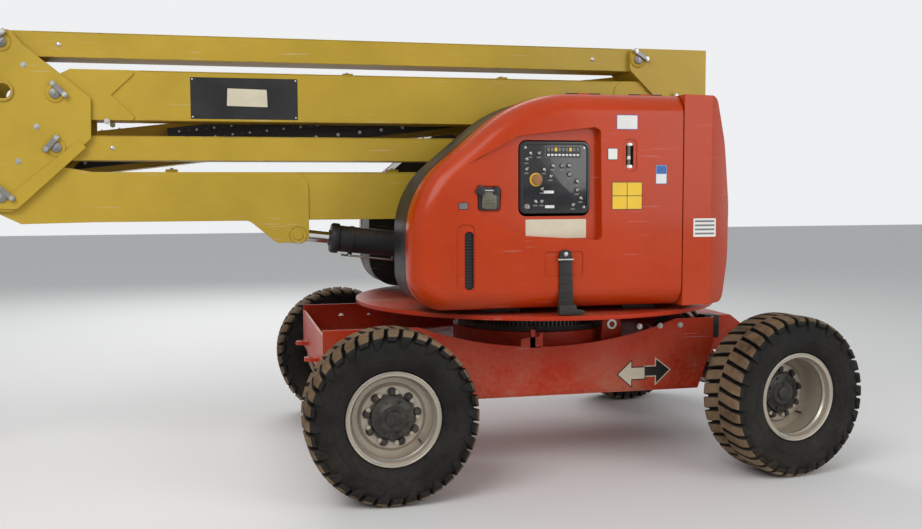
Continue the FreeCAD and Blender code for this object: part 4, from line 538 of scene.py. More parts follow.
def painted(
    name, colour, rough=0.38, coat=0.0, wear=0.4, rust=0.2, dust=0.3, dust_top=0.9, scratch=0.3,
    bare=(0.30, 0.29, 0.27), metallic=0.0, bump=0.08, edge=0.006, fade=0.12, dust_colour=(0.42, 0.32, 0.21),
    gleam=0.20,
):
    """Paint over steel with mottled colour, scratches, rubbed edges, rust and dust."""
    material = bpy.data.materials.new(name)
    material.use_nodes = True
    wires = Wiring(material.node_tree)
    shader = material.node_tree.nodes["Principled BSDF"]

    def group(title, **values):
        made = wires.add("ShaderNodeGroup")
        made.node_tree = GROUPS[title]
        for key, value in values.items():
            made.inputs[key].default_value = value
        return made

    base = (*colour, 1.0)
    pale = tuple(min(1.0, c * (1.0 + fade * 1.6) + fade * 0.05) for c in colour) + (1.0,)
    dark = tuple(c * (1.0 - fade * 1.5) for c in colour) + (1.0,)
    mottle = group("mottle", Scale=1.0)
    shade = wires.ramp(mottle.outputs["Tone"], 0.30, 0.70)
    tone = wires.mix(shade, dark, pale)
    tone = wires.mix(0.45, base, tone)
    marks = group("scratches", Amount=scratch, Scale=1.0)
    tone = wires.mix(marks.outputs["Mask"], tone, tuple(min(1.0, c * 0.5 + 0.28) for c in colour) + (1.0,))
    edges = group("edges", Radius=edge, Amount=wear)
    tone = wires.mix(edges.outputs["Mask"], tone, (*bare, 1.0))
    corroded = group("rust", Amount=rust)
    tone = wires.mix(corroded.outputs["Mask"], tone, corroded.outputs["Color"])
    road = group("dust", Amount=dust, Top=dust_top)
    tone = wires.mix(road.outputs["Mask"], tone, (*dust_colour, 1.0))
    wires.link(tone, shader.inputs["Base Color"])
    grain = wires.ramp(mottle.outputs["Tone"], 0.3, 0.7, rough - 0.05, rough + 0.08)
    dirty = wires.math("MAXIMUM", corroded.outputs["Mask"], road.outputs["Mask"])
    wires.link(wires.ramp(dirty, 0.0, 1.0, grain, 0.85, smooth=False), shader.inputs["Roughness"])
    if coat > 0.0:
        wires.link(wires.ramp(dirty, 0.0, 0.6, coat, 0.0), shader.inputs["Coat Weight"])
        shader.inputs["Coat Roughness"].default_value = 0.08
    if metallic > 0.0:
        shader.inputs["Metallic"].default_value = metallic
    shader.inputs["Specular IOR Level"].default_value = 0.5 if metallic > 0.0 else gleam
    height = wires.math("ADD", wires.math("MULTIPLY", mottle.outputs["Height"], 0.4), wires.math("MULTIPLY", dirty, 0.6))
    relief = wires.add("ShaderNodeBump")
    relief.inputs["Strength"].default_value = bump
    relief.inputs["Distance"].default_value = 0.0015
    wires.link(height, relief.inputs["Height"])
    soft = wires.add("ShaderNodeBevel", samples=4)
    soft.inputs["Radius"].default_value = min(edge, 0.004)
    wires.link(soft.outputs["Normal"], relief.inputs["Normal"])
    wires.link(relief.outputs["Normal"], shader.inputs["Normal"])
    return material


def plain(
    name, colour, rough=0.5, metallic=0.0, grain=120.0, bump=0.1, vary=0.10, dust=0.15, dust_top=0.9, coat=0.0,
    gleam=0.35,
):
    """A moulded or bare material with fine grain, colour variation and dust."""
    material = bpy.data.materials.new(name)
    material.use_nodes = True
    wires = Wiring(material.node_tree)
    shader = material.node_tree.nodes["Principled BSDF"]
    place = wires.add("ShaderNodeTexCoord").outputs["Object"]
    slow = wires.noise(place, 7.0, 6.0, 0.6)
    fine = wires.noise(place, grain, 3.0, 0.6)
    dark = tuple(c * (1.0 - vary) for c in colour) + (1.0,)
    pale = tuple(min(1.0, c * (1.0 + vary) + 0.006) for c in colour) + (1.0,)
    tone = wires.mix(wires.ramp(slow, 0.3, 0.7), dark, pale)
    road = wires.add("ShaderNodeGroup")
    road.node_tree = GROUPS["dust"]
    road.inputs["Amount"].default_value = dust
    road.inputs["Top"].default_value = dust_top
    tone = wires.mix(road.outputs["Mask"], tone, (0.42, 0.33, 0.22, 1.0))
    wires.link(tone, shader.inputs["Base Color"])
    wires.link(wires.ramp(slow, 0.3, 0.7, rough - 0.06, rough + 0.10), shader.inputs["Roughness"])
    shader.inputs["Metallic"].default_value = metallic
    shader.inputs["Specular IOR Level"].default_value = 0.5 if metallic > 0.0 else gleam
    if coat > 0.0:
        shader.inputs["Coat Weight"].default_value = coat
    relief = wires.add("ShaderNodeBump")
    relief.inputs["Strength"].default_value = bump
    relief.inputs["Distance"].default_value = 0.001
    wires.link(fine, relief.inputs["Height"])
    wires.link(relief.outputs["Normal"], shader.inputs["Normal"])
    return material


def build_materials():
    """Every finish on the machine."""
    paint = bpy.context.scene.boom_lift_paint
    GROUPS["edges"] = edge_group()
    GROUPS["dust"] = dust_group()
    GROUPS["rust"] = rust_group()
    GROUPS["scratches"] = scratch_group()
    GROUPS["mottle"] = mottle_group()
    wear, dust = paint.wear, paint.dust
    hood, chassis, boom, black, rim = (tuple(c) for c in (paint.hood, paint.chassis, paint.boom, paint.black, paint.rim))
    return {
        "hood": painted("moulded_cover", hood, 0.28, 0.12, wear * 0.2, 0.0, dust * 0.35, 1.4, 0.35, hood, bump=0.03, fade=0.10),
        "chassis": painted("chassis_paint", chassis, 0.38, 0.05, wear * 0.9, 0.12, dust * 1.3, 1.0, 0.5),
        "boom": painted("boom_paint", boom, 0.40, 0.10, wear * 0.8, 0.22, dust * 0.5, 0.9, 0.7, (0.22, 0.17, 0.13)),
        "pin_area": painted("worn_boom_paint", boom, 0.45, 0.0, wear * 1.2, 0.55, dust * 0.6, 0.9, 0.9, (0.20, 0.14, 0.10)),
        "black": painted("black_paint", black, 0.42, 0.0, wear * 0.7, 0.12, dust * 1.1, 0.9, 0.4, (0.16, 0.15, 0.14), fade=0.3),
        "axle": painted("axle_paint", black, 0.55, 0.0, wear * 0.8, 0.30, dust * 1.9, 1.0, 0.3, (0.14, 0.12, 0.10), fade=0.3),
        "rim": painted("rim_paint", rim, 0.38, 0.1, wear, 0.22, dust * 1.1, 0.9, 0.4, (0.5, 0.49, 0.46), 0.25, fade=0.15),
        "steel": painted(
            "bare_steel", (0.36, 0.35, 0.33), 0.36, 0.0, wear, 0.25, dust * 0.6, 0.9, 0.6, (0.6, 0.6, 0.58), 0.9,
            fade=0.2,
        ),
        "chrome": plain("chrome_rod", (0.62, 0.62, 0.63), 0.10, 1.0, 300.0, 0.02, 0.04, 0.10),
        "rubber": plain("tyre_rubber", (0.010, 0.0095, 0.009), 0.62, 0.0, 240.0, 0.30, 0.25, 0.06, 0.95, gleam=0.12),
        "tread": plain("dusty_tread", (0.115, 0.070, 0.036), 0.85, 0.0, 90.0, 0.5, 0.45, 0.50, 1.4, gleam=0.1),
        "rubber_part": plain("moulded_rubber", (0.012, 0.012, 0.012), 0.55, 0.0, 260.0, 0.2, 0.2, 0.2, 1.4),
        "hub": plain("hub_black", (0.012, 0.012, 0.012), 0.45, 0.0, 130.0, 0.25, 0.3, 0.35, 0.9),
        # Lighter metallic rim colour for the rolled lip and the well's step: partly bare steel rubbed at the lip,
        # partly a painted highlight standing in for light on the well's slope.
        "rim_wear_and_highlight": painted(
            "rim_edge_wear_and_painted_highlight", (0.40, 0.37, 0.32), 0.30, 0.0, wear, 0.35, dust * 0.5, 0.9, 0.5, (0.66, 0.63, 0.58),
            0.75, fade=0.2,
        ),
        "pin_steel": painted(
            "pin_steel", (0.20, 0.19, 0.18), 0.42, 0.0, wear, 0.55, dust * 0.5, 0.9, 0.5, (0.5, 0.48, 0.45), 0.8,
            fade=0.2,
        ),
        "sign_black": plain("sign_black", (0.010, 0.010, 0.011), 0.32, 0.0, 90.0, 0.05, 0.1, 0.06, 1.4),
        "smoke": plain("smoked_plastic", (0.13, 0.12, 0.085), 0.30, 0.0, 200.0, 0.08, 0.2, 0.2, 1.4),
        "grease": plain("greased_gear", (0.030, 0.026, 0.020), 0.28, 0.7, 140.0, 0.5, 0.4, 0.3, 1.0),
        "knob": plain("faded_knob", (0.30, 0.13, 0.045), 0.38, 0.0, 120.0, 0.08, 0.2, 0.08, 1.4),
        "hose": plain("hose_rubber", (0.013, 0.013, 0.014), 0.50, 0.0, 200.0, 0.2, 0.2, 0.25),
        "plastic": plain("black_plastic", (0.016, 0.016, 0.018), 0.42, 0.0, 420.0, 0.18, 0.15, 0.25, 1.4),
        "gloss_black": plain("gloss_black", (0.010, 0.010, 0.012), 0.18, 0.0, 60.0, 0.02, 0.1, 0.08, 1.4, 0.4),
        "grey_plastic": plain("grey_plastic", (0.16, 0.16, 0.16), 0.45, 0.0, 300.0, 0.15, 0.1, 0.2, 1.4),
        "white": plain("white_label", (0.72, 0.71, 0.68), 0.35, 0.0, 60.0, 0.02, 0.05, 0.10),
        "yellow": plain("yellow_label", (0.78, 0.50, 0.03), 0.35, 0.0, 60.0, 0.02, 0.06, 0.10),
        "blue": plain("blue_label", (0.03, 0.11, 0.36), 0.35, 0.0, 60.0, 0.02, 0.06, 0.10),
        "red": plain("red_plastic", (0.50, 0.02, 0.015), 0.32, 0.0, 90.0, 0.05, 0.08, 0.05),
        "cream_label": plain("cream_label", (0.62, 0.56, 0.42), 0.38, 0.0, 60.0, 0.02, 0.06, 0.12),
        "brass": plain("brass_fitting", (0.60, 0.42, 0.15), 0.32, 1.0, 120.0, 0.08, 0.12, 0.2),
        "zinc": plain("zinc_plate", (0.46, 0.45, 0.42), 0.34, 0.9, 160.0, 0.12, 0.15, 0.3),
        "engine": plain("engine_grey", (0.055, 0.057, 0.06), 0.55, 0.2, 90.0, 0.4, 0.3, 0.4),
        "mesh": plain("expanded_steel", (0.22, 0.22, 0.21), 0.45, 0.7, 120.0, 0.3, 0.2, 0.4),
        "lamp": plain("amber_lens", (0.85, 0.28, 0.02), 0.12, 0.0, 200.0, 0.05, 0.05, 0.0),
    }


MATERIALS = {}

NODE_FINISH = {
    "chassis": ("chassis_frame", "turntable", "level_bracket", "jib", "jib_link"),
    "hood": ("counterweight", "hood_near", "hood_far"),
    "boom": (
        "lower_boom", "lower_link", "lower_upright", "mid_boom", "mid_link", "upper_upright", "main_boom",
        "platform_support",
    ),
    "axle": ("axle_fixed", "axle_steer", "knuckle_near", "knuckle_far", "slew_bearing"),
    "black": ("hood_frame_near", "hood_frame_far", "lower_lift_barrel", "main_lift_barrel", "jib_lift_barrel"),
    "rim": ("rim_fixed_near", "rim_fixed_far", "rim_steer_near", "rim_steer_far"),
    "rubber": ("tyre_fixed_near", "tyre_fixed_far", "tyre_steer_near", "tyre_steer_far"),
    "chrome": ("lower_lift_rod", "main_lift_rod", "jib_lift_rod"),
    "plastic": ("ground_controls", "platform_console", "cable_carrier", "wear_pads", "fuel_tank", "hydraulic_tank"),
    "engine": ("engine",),
    "steel": ("fly_boom",),
    "platform": ("platform_rails", "platform_floor", "platform_gate"),
}


class BOOMLIFT_OT_finish_nodes(bpy.types.Operator):
    """Gives every carried-over solid its paint, rubber or plated finish."""

    bl_idname = "boomlift.finish_nodes"
    bl_label = "Paint the machine"

    def execute(self, context):
        MATERIALS.update(build_materials())
        for finish, names in NODE_FINISH.items():
            material = MATERIALS["chassis" if finish == "platform" else finish]
            for name in names:
                mesh = NODES[name].data
                mesh.materials.clear()
                mesh.materials.append(material)
        return {"FINISHED"}


# Places that the pieces share, in metres

SWING_X = 1.734
TOWER_NEAR = -0.362
TOWER_FAR = -0.078
PIN_NEAR = -0.376
HOOD_FACE = -0.98
AXIS = {joint["name"]: Vector(joint["axis"]) for joint in frame["joints"]}


def stretch_bar(x, z, angle, length, width):
    """Corners of a bar in the xz plane about its middle; angle in degrees above +x."""
    turn = math.radians(angle)
    cosine, sine = math.cos(turn), math.sin(turn)
    corners = ((-length, -width), (length, -width), (length, width), (-length, width))
    return [
        (x + (a * cosine - b * sine) / 2.0, z + (a * sine + b * cosine) / 2.0) for a, b in corners
    ]


def grown(outline, margin):
    """An outline moved outwards by a margin."""
    area = sum(a[0] * b[1] - b[0] * a[1] for a, b in zip(outline, outline[1:] + outline[:1]))
    turn = 1.0 if area > 0 else -1.0
    line = []
    count = len(outline)
    for index in range(count):
        before, here, after = (Vector(outline[(index + step) % count]) for step in (-1, 0, 1))
        one = (here - before).normalized()
        two = (after - here).normalized()
        first = Vector((one.y, -one.x)) * turn
        second = Vector((two.y, -two.x)) * turn
        middle = (first + second).normalized()
        reach = margin / max(0.35, middle.dot(first))
        line.append(tuple(here + middle * reach))
    return line


def rectangle(left, right, low, high, radius=0.0, steps=5):
    outline = [(left, low), (right, low), (right, high), (left, high)]
    return rounded(outline, radius, steps) if radius > 0.0 else outline


def add_weld(bm, centre, axis, radius, size=0.004, material=0, segments=40):
    """A rippled bead round a boss."""
    axis = Vector(axis).normalized()
    side, other = frame_along(axis)
    centre = Vector(centre)
    rings = []
    for step in range(segments):
        angle = 2.0 * math.pi * step / segments
        outward = side * math.cos(angle) + other * math.sin(angle)
        swell = size * (1.0 if step % 2 else 0.78)
        ring = []
        for corner in range(5):
            lean = math.pi * corner / 4.0
            place = outward * (radius - size * 0.2 + swell * math.sin(lean * 0.5) * math.cos(lean * 0.5) * 1.6)
            ring.append(bm.verts.new(centre + place + axis * swell * (corner / 2.0 - 1.0)))
        rings.append(ring)
    for one, two in zip(rings, rings[1:] + rings[:1]):
        for corner in range(4):
            quad = (one[corner], one[corner + 1], two[corner + 1], two[corner])
            bm.faces.new(quad).material_index = material
        bm.faces.new((one[4], one[0], two[0], two[4])).material_index = material


def add_seam(bm, start, end, size=0.004, material=0, pitch=0.012):
    """A straight rippled weld bead."""
    start, end = Vector(start), Vector(end)
    length = (end - start).length
    count = max(4, int(length / pitch))
    axis = (end - start).normalized()
    side, other = frame_along(axis)
    rings = []
    for step in range(count + 1):
        swell = size * (1.0 if step % 2 else 0.8)
        middle = start + axis * length * step / count
        ring = []
        for corner in range(6):
            angle = math.pi * corner / 3.0
            ring.append(bm.verts.new(middle + (side * math.cos(angle) + other * math.sin(angle)) * swell))
        rings.append(ring)
    for one, two in zip(rings, rings[1:]):
        for corner in range(6):
            following = (corner + 1) % 6
            quad = (one[corner], one[following], two[following], two[corner])
            bm.faces.new(quad).material_index = material
    bm.faces.new(list(reversed(rings[0]))).material_index = material
    bm.faces.new(rings[-1]).material_index = material


# Wheels

WHEELS = (
    # wheel, outwards along +y, outer face of the hub's flange from the wheel's middle
    ("fixed_near", -1.0, -0.056),
    ("fixed_far", 1.0, -0.056),
    ("steer_near", -1.0, 0.032),
    ("steer_far", 1.0, 0.032),
)
LUGS = 36
LUG_STATIONS = (
    # across, radius, turn in degrees, half width, tread or flank
    (-0.002, 0.4135, 3.2, 0.0265, 1),
    (0.030, 0.4150, 2.4, 0.0275, 1),
    (0.075, 0.4155, 1.2, 0.0285, 1),
    (0.106, 0.4140, 0.2, 0.0290, 1),
    (0.129, 0.4075, -0.3, 0.0285, 1),
    (0.1435, 0.3950, -1.1, 0.0265, 0),
    (0.1515, 0.3780, -2.1, 0.0230, 0),
    (0.1530, 0.3600, -3.0, 0.0190, 0),
    (0.1515, 0.3440, -3.7, 0.0165, 0),
)
SIDEWALL = (
    (0.104, 0.2108), (0.107, 0.2288), (0.118, 0.2330), (0.1235, 0.2385), (0.1270, 0.2385), (0.1300, 0.2450),
    (0.1365, 0.2530), (0.1430, 0.2630), (0.1480, 0.2760), (0.1500, 0.2880), (0.1522, 0.2895),
    (0.1522, 0.2935), (0.1505, 0.2950), (0.1505, 0.3180), (0.1485, 0.3400), (0.1425, 0.3620),
    (0.1300, 0.3780), (0.1050, 0.3860), (0.0600, 0.3895), (0.0, 0.3905),
)


def wheel_place(joint, outwards):
    """The wheel's own frame: its outer side looks along -y."""
    axis = AXIS[joint] * outwards
    across = -axis
    onwards = across.cross(UP)
    columns = Matrix((onwards, across, UP)).transposed().to_4x4()
    return Matrix.Translation(PLACE[joint]) @ columns


def add_lug(bm, side, turn, last):
    """One lug of the tread, from the middle line over the shoulder."""
    rings = []
    stations = LUG_STATIONS[:last]
    for across, radius, lean, half, kind in stations:
        middle = math.radians(turn + lean)
        depth = Vector((across, radius - 0.300)).normalized() * 0.026
        low_across, low_radius = across - depth.x, radius - depth.y
        cut = Vector((across, radius - 0.300)).normalized() * 0.0035
        ring = []
        for place_across, place_radius, reach in (
            (low_across, low_radius, -half - 0.004), (across - cut.x, radius - cut.y, -half),
            (across, radius, -half + 0.0035), (across, radius, half - 0.0035),
            (across - cut.x, radius - cut.y, half), (low_across, low_radius, half + 0.004),
        ):
            angle = middle + reach / 0.4155
            ring.append(
                bm.verts.new(
                    (place_radius * math.sin(angle), side * place_across, place_radius * math.cos(angle))
                )
            )
        rings.append((ring, kind))
    for (one, kind), (two, _) in zip(rings, rings[1:]):
        for corner in range(5):
            quad = (one[corner], one[corner + 1], two[corner + 1], two[corner])
            bm.faces.new(quad).material_index = kind if corner == 2 else 0
    bm.faces.new(rings[0][0])
    bm.faces.new(list(reversed(rings[-1][0])))


class BOOMLIFT_OT_tyres(bpy.types.Operator):
    """Replaces the tyres with moulded carcasses and hockey-stick lugs."""

    bl_idname = "boomlift.tyres"
    bl_label = "Tyres"

    def execute(self, context):
        profile = list(SIDEWALL) + [(-across, radius) for across, radius in reversed(SIDEWALL[:-1])]
        for wheel, outwards, _ in WHEELS:
            bm = bmesh.new()
            add_lathe(bm, (0, 0, 0), (0, 1, 0), profile, 120, 0, closed=True)
            for number in range(LUGS):
                last = 9 if number % 2 else 7
                add_lug(bm, -1.0, number * 360.0 / LUGS, last)
                add_lug(bm, 1.0, (number + 0.5) * 360.0 / LUGS, last)
            bmesh.ops.transform(bm, matrix=wheel_place(f"wheel_{wheel}", outwards), verts=bm.verts)
            material = [MATERIALS["rubber"], MATERIALS["tread"]]
            body = f"wheel_{wheel}"
            tyre = piece_from(f"{body}_tyre", bm, material, body, 32.0)
            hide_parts(f"tyre_{wheel}")
        return {"FINISHED"}


class BOOMLIFT_OT_wheel_trim(bpy.types.Operator):
    """Hub covers, wheel nuts, valve, rolled lip and formed well of each rim."""

    bl_idname = "boomlift.wheel_trim"
    bl_label = "Wheel trim"

    def execute(self, context):
        for wheel, outwards, face in WHEELS:
            place = wheel_place(f"wheel_{wheel}", outwards)
            self.hub(wheel, face, place)
            self.well(wheel, face, place)
        return {"FINISHED"}

    def hub(self, wheel, face, place):
        bm = bmesh.new()
        outward = (0, -1, 0)
        start = (0, face, 0)
        profile = [
            (0.0, 0.1070), (0.004, 0.1070), (0.020, 0.1015), (0.0225, 0.0990), (0.0285, 0.0720),
            (0.0330, 0.0660), (0.0375, 0.0600), (0.0380, 0.0370), (0.0440, 0.0345), (0.0475, 0.0260),
            (0.0485, 0.0),
        ]
        add_lathe(bm, start, outward, profile, 72)
        outline = []
        for step in range(144):
            angle = 2.0 * math.pi * step / 144
            lobe = (0.5 - 0.5 * math.cos(9.0 * angle)) ** 1.6
            radius = 0.1045 + 0.0125 * lobe
            outline.append((radius * math.sin(angle), radius * math.cos(angle)))
        add_prism(bm, outline, face - 0.011, face + 0.0005, "xz", 0.0, 1)
        for number in range(8):
            angle = math.radians(number * 45.0 + 22.5)
            bolt = (0.084 * math.sin(angle), face - 0.0255, 0.084 * math.cos(angle))
            add_bolt(bm, bolt, outward, 0.0072, 0.008, 0, washer=False)
        for number in range(9):
            angle = math.radians(number * 40.0)
            x, z = 0.122 * math.sin(angle), 0.122 * math.cos(angle)
            add_bolt(bm, (x, face - 0.0005, z), outward, 0.0150, 0.0215)
            add_rod(bm, (x, face - 0.015, z), (x, face - 0.0260, z), 0.0080, 12, 0.3)
        add_bolt(bm, (0.0, face - 0.0370, 0.049), outward, 0.0075, 0.007, 0, washer=False)
        bmesh.ops.transform(bm, matrix=place, verts=bm.verts)
        body = f"wheel_{wheel}"
        piece_from(f"{body}_hub", bm, MATERIALS["hub"], body, 30.0)

    def well(self, wheel, face, place):
        bm = bmesh.new()
        # The lip and the step ring get the lighter rim colour: at the lip partly bare-steel wear, on the step ring a
        # painted highlight of the well's lit slope.
        lip = []
        for step in range(12):
            angle = 2.0 * math.pi * step / 12
            lip.append((-0.1160 + 0.0048 * math.cos(angle), 0.2235 + 0.0048 * math.sin(angle)))
        add_lathe(bm, (0, 0, 0), (0, 1, 0), lip, 96, 0, closed=True)
        step_ring = [
            (-0.1080, 0.2130), (-0.1020, 0.2055), (-0.0880, 0.2015), (-0.0840, 0.1960), (-0.0790, 0.1925),
            (-0.0700, 0.1925), (-0.0650, 0.1975), (-0.0650, 0.2030), (-0.1060, 0.2140),
        ]
        add_lathe(bm, (0, 0, 0), (0, 1, 0), step_ring, 96, 0, closed=True)
        angle = math.radians(132.0)
        x, z = 0.176 * math.sin(angle), 0.176 * math.cos(angle)
        base = face + 0.017
        add_rod(bm, (x, base, z), (x, base - 0.030, z), 0.0048, 14, 0.2, 1)
        add_rod(bm, (x, base - 0.028, z), (x, base - 0.040, z), 0.0062, 14, 0.25, 1)
        for turn in (205.0,):
            angle = math.radians(turn)
            outline = []
            for step in range(-3, 4):
                lean = angle + math.radians(step * 2.2)
                outline.append((0.2050 * math.sin(lean), 0.2050 * math.cos(lean)))
            for step in range(3, -4, -1):
                lean = angle + math.radians(step * 2.2)
                outline.append((0.2160 * math.sin(lean), 0.2160 * math.cos(lean)))
            add_prism(bm, outline, -0.1225, -0.1120, "xz", 0.0015, 2, 2)
        bmesh.ops.transform(bm, matrix=place, verts=bm.verts)
        body = f"wheel_{wheel}"
        materials = [MATERIALS["rim_wear_and_highlight"], MATERIALS["hose"], MATERIALS["zinc"]]
        piece_from(f"{body}_rim_lip", bm, materials, body, 40.0)


# Tower

PINS = (
    # body, pin, x, z, near end, far end, radius, lean of the near and the far keeper
    ("turntable", "lower", 2.001, 1.453, -0.376, -0.064, 0.025, 62.0, -38.0),
    ("turntable", "lower_link", 2.260, 1.698, -0.376, -0.064, 0.025, -40.0, 35.0),
    ("lower_upright", "far", -1.099, 1.453, -0.376, -0.064, 0.025, -42.0, 40.0),
    ("lower_upright", "far_link", -0.840, 1.698, -0.376, -0.064, 0.025, 48.0, -40.0),
    ("lower_upright", "mid", -0.840, 1.963, -0.376, -0.064, 0.025, -45.0, 40.0),
    ("lower_upright", "mid_link", -1.078, 2.207, -0.376, -0.064, 0.025, 40.0, -40.0),
    ("upper_upright", "mid_right", 2.476, 1.963, -0.376, -0.074, 0.025, -38.0, 35.0),
    ("upper_upright", "mid_link_right", 2.238, 2.207, -0.376, -0.074, 0.025, -32.0, 35.0),
    ("upper_upright", "main", 2.509, 2.070, None, 0.242, 0.032, 0.0, -30.0),
    ("upper_upright", "main_lift", 2.354, 1.640, None, 0.236, 0.025, 0.0, 50.0),
)


def add_pin_end(bm, x, z, end, outwards, radius, lean, stand=0.014):
    """The pin's chamfered end with its weld, grease nipple and bolted keeper bar."""
    axis = (0.0, outwards, 0.0)
    face = end - outwards * stand
    add_weld(bm, (x, face, z), axis, radius + 0.018, 0.005, 0)
    collar = [
        (0.0, radius + 0.018), (stand * 0.35, radius + 0.018), (stand * 0.5, radius + 0.014),
        (stand * 0.5, radius - 0.001), (0.0, radius - 0.001),
    ]
    add_lathe(bm, (x, face, z), axis, collar, 40, 0, closed=True)
    cap = [(-0.004, 0.0), (-0.004, radius + 0.0006), (-0.0005, radius + 0.0006), (0.0015, radius - 0.003), (0.0015, 0.0)]
    add_lathe(bm, (x, end, z), axis, cap, 36, 1)
    add_rod(bm, (x, end, z), (x, end + outwards * 0.009, z), 0.0045, 8, 0.3, 2)
    turn = math.radians(lean)
    off_x, off_z = -math.sin(turn), math.cos(turn)
    shift = radius + 0.004
    bar_x, bar_z = x + off_x * shift, z + off_z * shift
    near, far = sorted((end + outwards * 0.0005, end + outwards * 0.0095))
    add_prism(bm, rounded(stretch_bar(bar_x, bar_z, lean, 0.106, 0.026), 0.006, 3), near, far, "xz", 0.0012, 1, 1)
    for way in (-1.0, 1.0):
        bolt_x = bar_x + way * 0.038 * math.cos(turn)
        bolt_z = bar_z + way * 0.038 * math.sin(turn)
        start = (bolt_x, face - outwards * 0.001, bolt_z)
        add_rod(bm, start, (bolt_x, end + outwards * 0.001, bolt_z), 0.013, 18, 0.05, 0)
        add_bolt(bm, (bolt_x, end + outwards * 0.0095, bolt_z), axis, 0.0088, 0.009, 2)


class BOOMLIFT_OT_tower_pins(bpy.types.Operator):
    """Pins' ends with keepers on masts and uprights."""

    bl_idname = "boomlift.tower_pins"
    bl_label = "Tower pins"

    def execute(self, context):
        for body in ("turntable", "lower_upright", "upper_upright"):
            bm = bmesh.new()
            for owner, _, x, z, near, far, radius, near_lean, far_lean in PINS:
                if owner != body:
                    continue
                if near is not None:
                    add_pin_end(bm, x, z, near, -1.0, radius, near_lean)
                add_pin_end(bm, x, z, far, 1.0, radius, far_lean)
            materials = [MATERIALS["pin_area"], MATERIALS["pin_steel"], MATERIALS["zinc"]]
            piece_from(f"{body}_pin_ends", bm, materials, body, 30.0)
        return {"FINISHED"}


class BOOMLIFT_OT_boom_trim(bpy.types.Operator):
    """Seams, the blank black plate, bolts and pads of the tower's booms."""

    bl_idname = "boomlift.boom_trim"
    bl_label = "Boom trim"

    def execute(self, context):
        self.mid_boom()
        self.lower_boom()
        self.links()
        self.uprights()
        return {"FINISHED"}

    def mid_boom(self):
        bm = bmesh.new()
        near = -0.330
        plate = rectangle(-0.195, 0.347, 1.850, 2.061, 0.004, 2)
        add_prism(bm, plate, near - 0.0022, near + 0.001, "xz", 0.0006, 1, 0)
        label = rounded([(-0.014, 1.918), (0.192, 1.914), (0.188, 2.003), (-0.010, 2.007)], 0.003, 2)
        add_prism(bm, label, near - 0.0030, near - 0.0020, "xz", 0.0, 1, 1)
        for x in (-0.185, 0.337):
            for z in (1.860, 2.051):
                add_lathe(
                    bm, (x, near - 0.0022, z), (0, -1, 0),
                    [(0, 0), (0, 0.0045), (0.0014, 0.004), (0.0022, 0.0022), (0.0024, 0)], 14, 2,
                )
        far = -0.110
        add_prism(bm, plate, far - 0.001, far + 0.0022, "xz", 0.0006, 1, 0)
        materials = [MATERIALS["sign_black"], MATERIALS["cream_label"], MATERIALS["zinc"]]
        piece_from("mid_boom_plate", bm, materials, "mid_boom", 30.0)
        bm = bmesh.new()
        for z, way in ((1.838, -1.0), (2.088, 1.0)):
            for y in (-0.330, -0.110):
                add_seam(bm, (-0.44, y, z - way * 0.002), (2.10, y, z - way * 0.002), 0.0028)
        for x in (0.62, 1.48):
            add_prism(bm, rectangle(x - 0.028, x + 0.028, 2.086, 2.104, 0.004, 2), -0.262, -0.178, "xz", 0.001, 1)
            add_bolt(bm, (x, -0.22, 2.104), UP, 0.008, 0.008, 1)
        piece_from("mid_boom_seams", bm, [MATERIALS["pin_area"], MATERIALS["zinc"]], "mid_boom")

    def lower_boom(self):
        bm = bmesh.new()
        for z in (1.330, 1.576):
            for y in (-0.330, -0.110):
                add_seam(bm, (-0.68, y, z), (1.60, y, z), 0.0028)
        for y, out in ((-0.338, -1.0), (-0.102, 1.0)):
            for x, z in ((0.339, 1.248),):
                add_weld(bm, (x, y, z), (0, out, 0), 0.046, 0.004)
        for x in (-0.30, 0.86):
            add_prism(bm, rectangle(x - 0.030, x + 0.030, 1.574, 1.594, 0.004, 2), -0.262, -0.178, "xz", 0.001, 1)
            add_bolt(bm, (x, -0.22, 1.594), UP, 0.008, 0.008, 1)
        piece_from("lower_boom_seams", bm, [MATERIALS["pin_area"], MATERIALS["zinc"]], "lower_boom")

    def links(self):
        for body, left, right, z in (("lower_link", -0.70, 2.12, 1.698), ("mid_link", -0.94, 2.10, 2.207)):
            bm = bmesh.new()
            for way in (-1.0, 1.0):
                for y in (-0.330, -0.110):
                    level = z + way * 0.0605
                    add_seam(bm, (left, y, level), (right, y, level), 0.0024)
            for x in (left + 0.12, right - 0.12):
                for y, out in ((-0.330, -1.0), (-0.110, 1.0)):
                    add_lathe(
                        bm, (x, y, z), (0, out, 0),
                        [(-0.001, 0), (-0.001, 0.011), (0.003, 0.011), (0.0055, 0.0075), (0.006, 0)], 18, 1,
                    )
            piece_from(f"{body}_seams", bm, [MATERIALS["pin_area"], MATERIALS["zinc"]], body)

    def uprights(self):
        bm = bmesh.new()
        for y, out in ((TOWER_NEAR, -1.0), (TOWER_FAR, 1.0)):
            ring = [
                (-0.001, 0.036), (0.007, 0.036), (0.010, 0.039), (0.010, 0.048), (0.007, 0.051), (-0.001, 0.051),
            ]
            add_lathe(bm, (-1.079, y, 1.971), (0, out, 0), ring, 40, 0, closed=True)
            low, high = sorted((y - out * 0.001, y + out * 0.008))
            band = [(-1.150, 1.395), (-1.030, 1.395), (-0.700, 1.700), (-0.735, 1.735)]
            add_prism(bm, rounded(band, 0.008, 3), low, high, "xz", 0.0015, 1, 0)
            for x, z in ((-1.02, 1.63), (-0.93, 1.80), (-0.60, 1.83), (-0.98, 2.10)):
                add_bolt(bm, (x, y, z), (0, out, 0), 0.010, 0.009, 1)
        piece_from("lower_upright_trim", bm, [MATERIALS["pin_area"], MATERIALS["zinc"]], "lower_upright")


# Hoods and ground controls

def pocket_floor(x):
    """The sunk panel's face at a place along the hood."""
    return HOOD_FACE + 0.045 * (x - (SWING_X - 0.739)) / 0.799


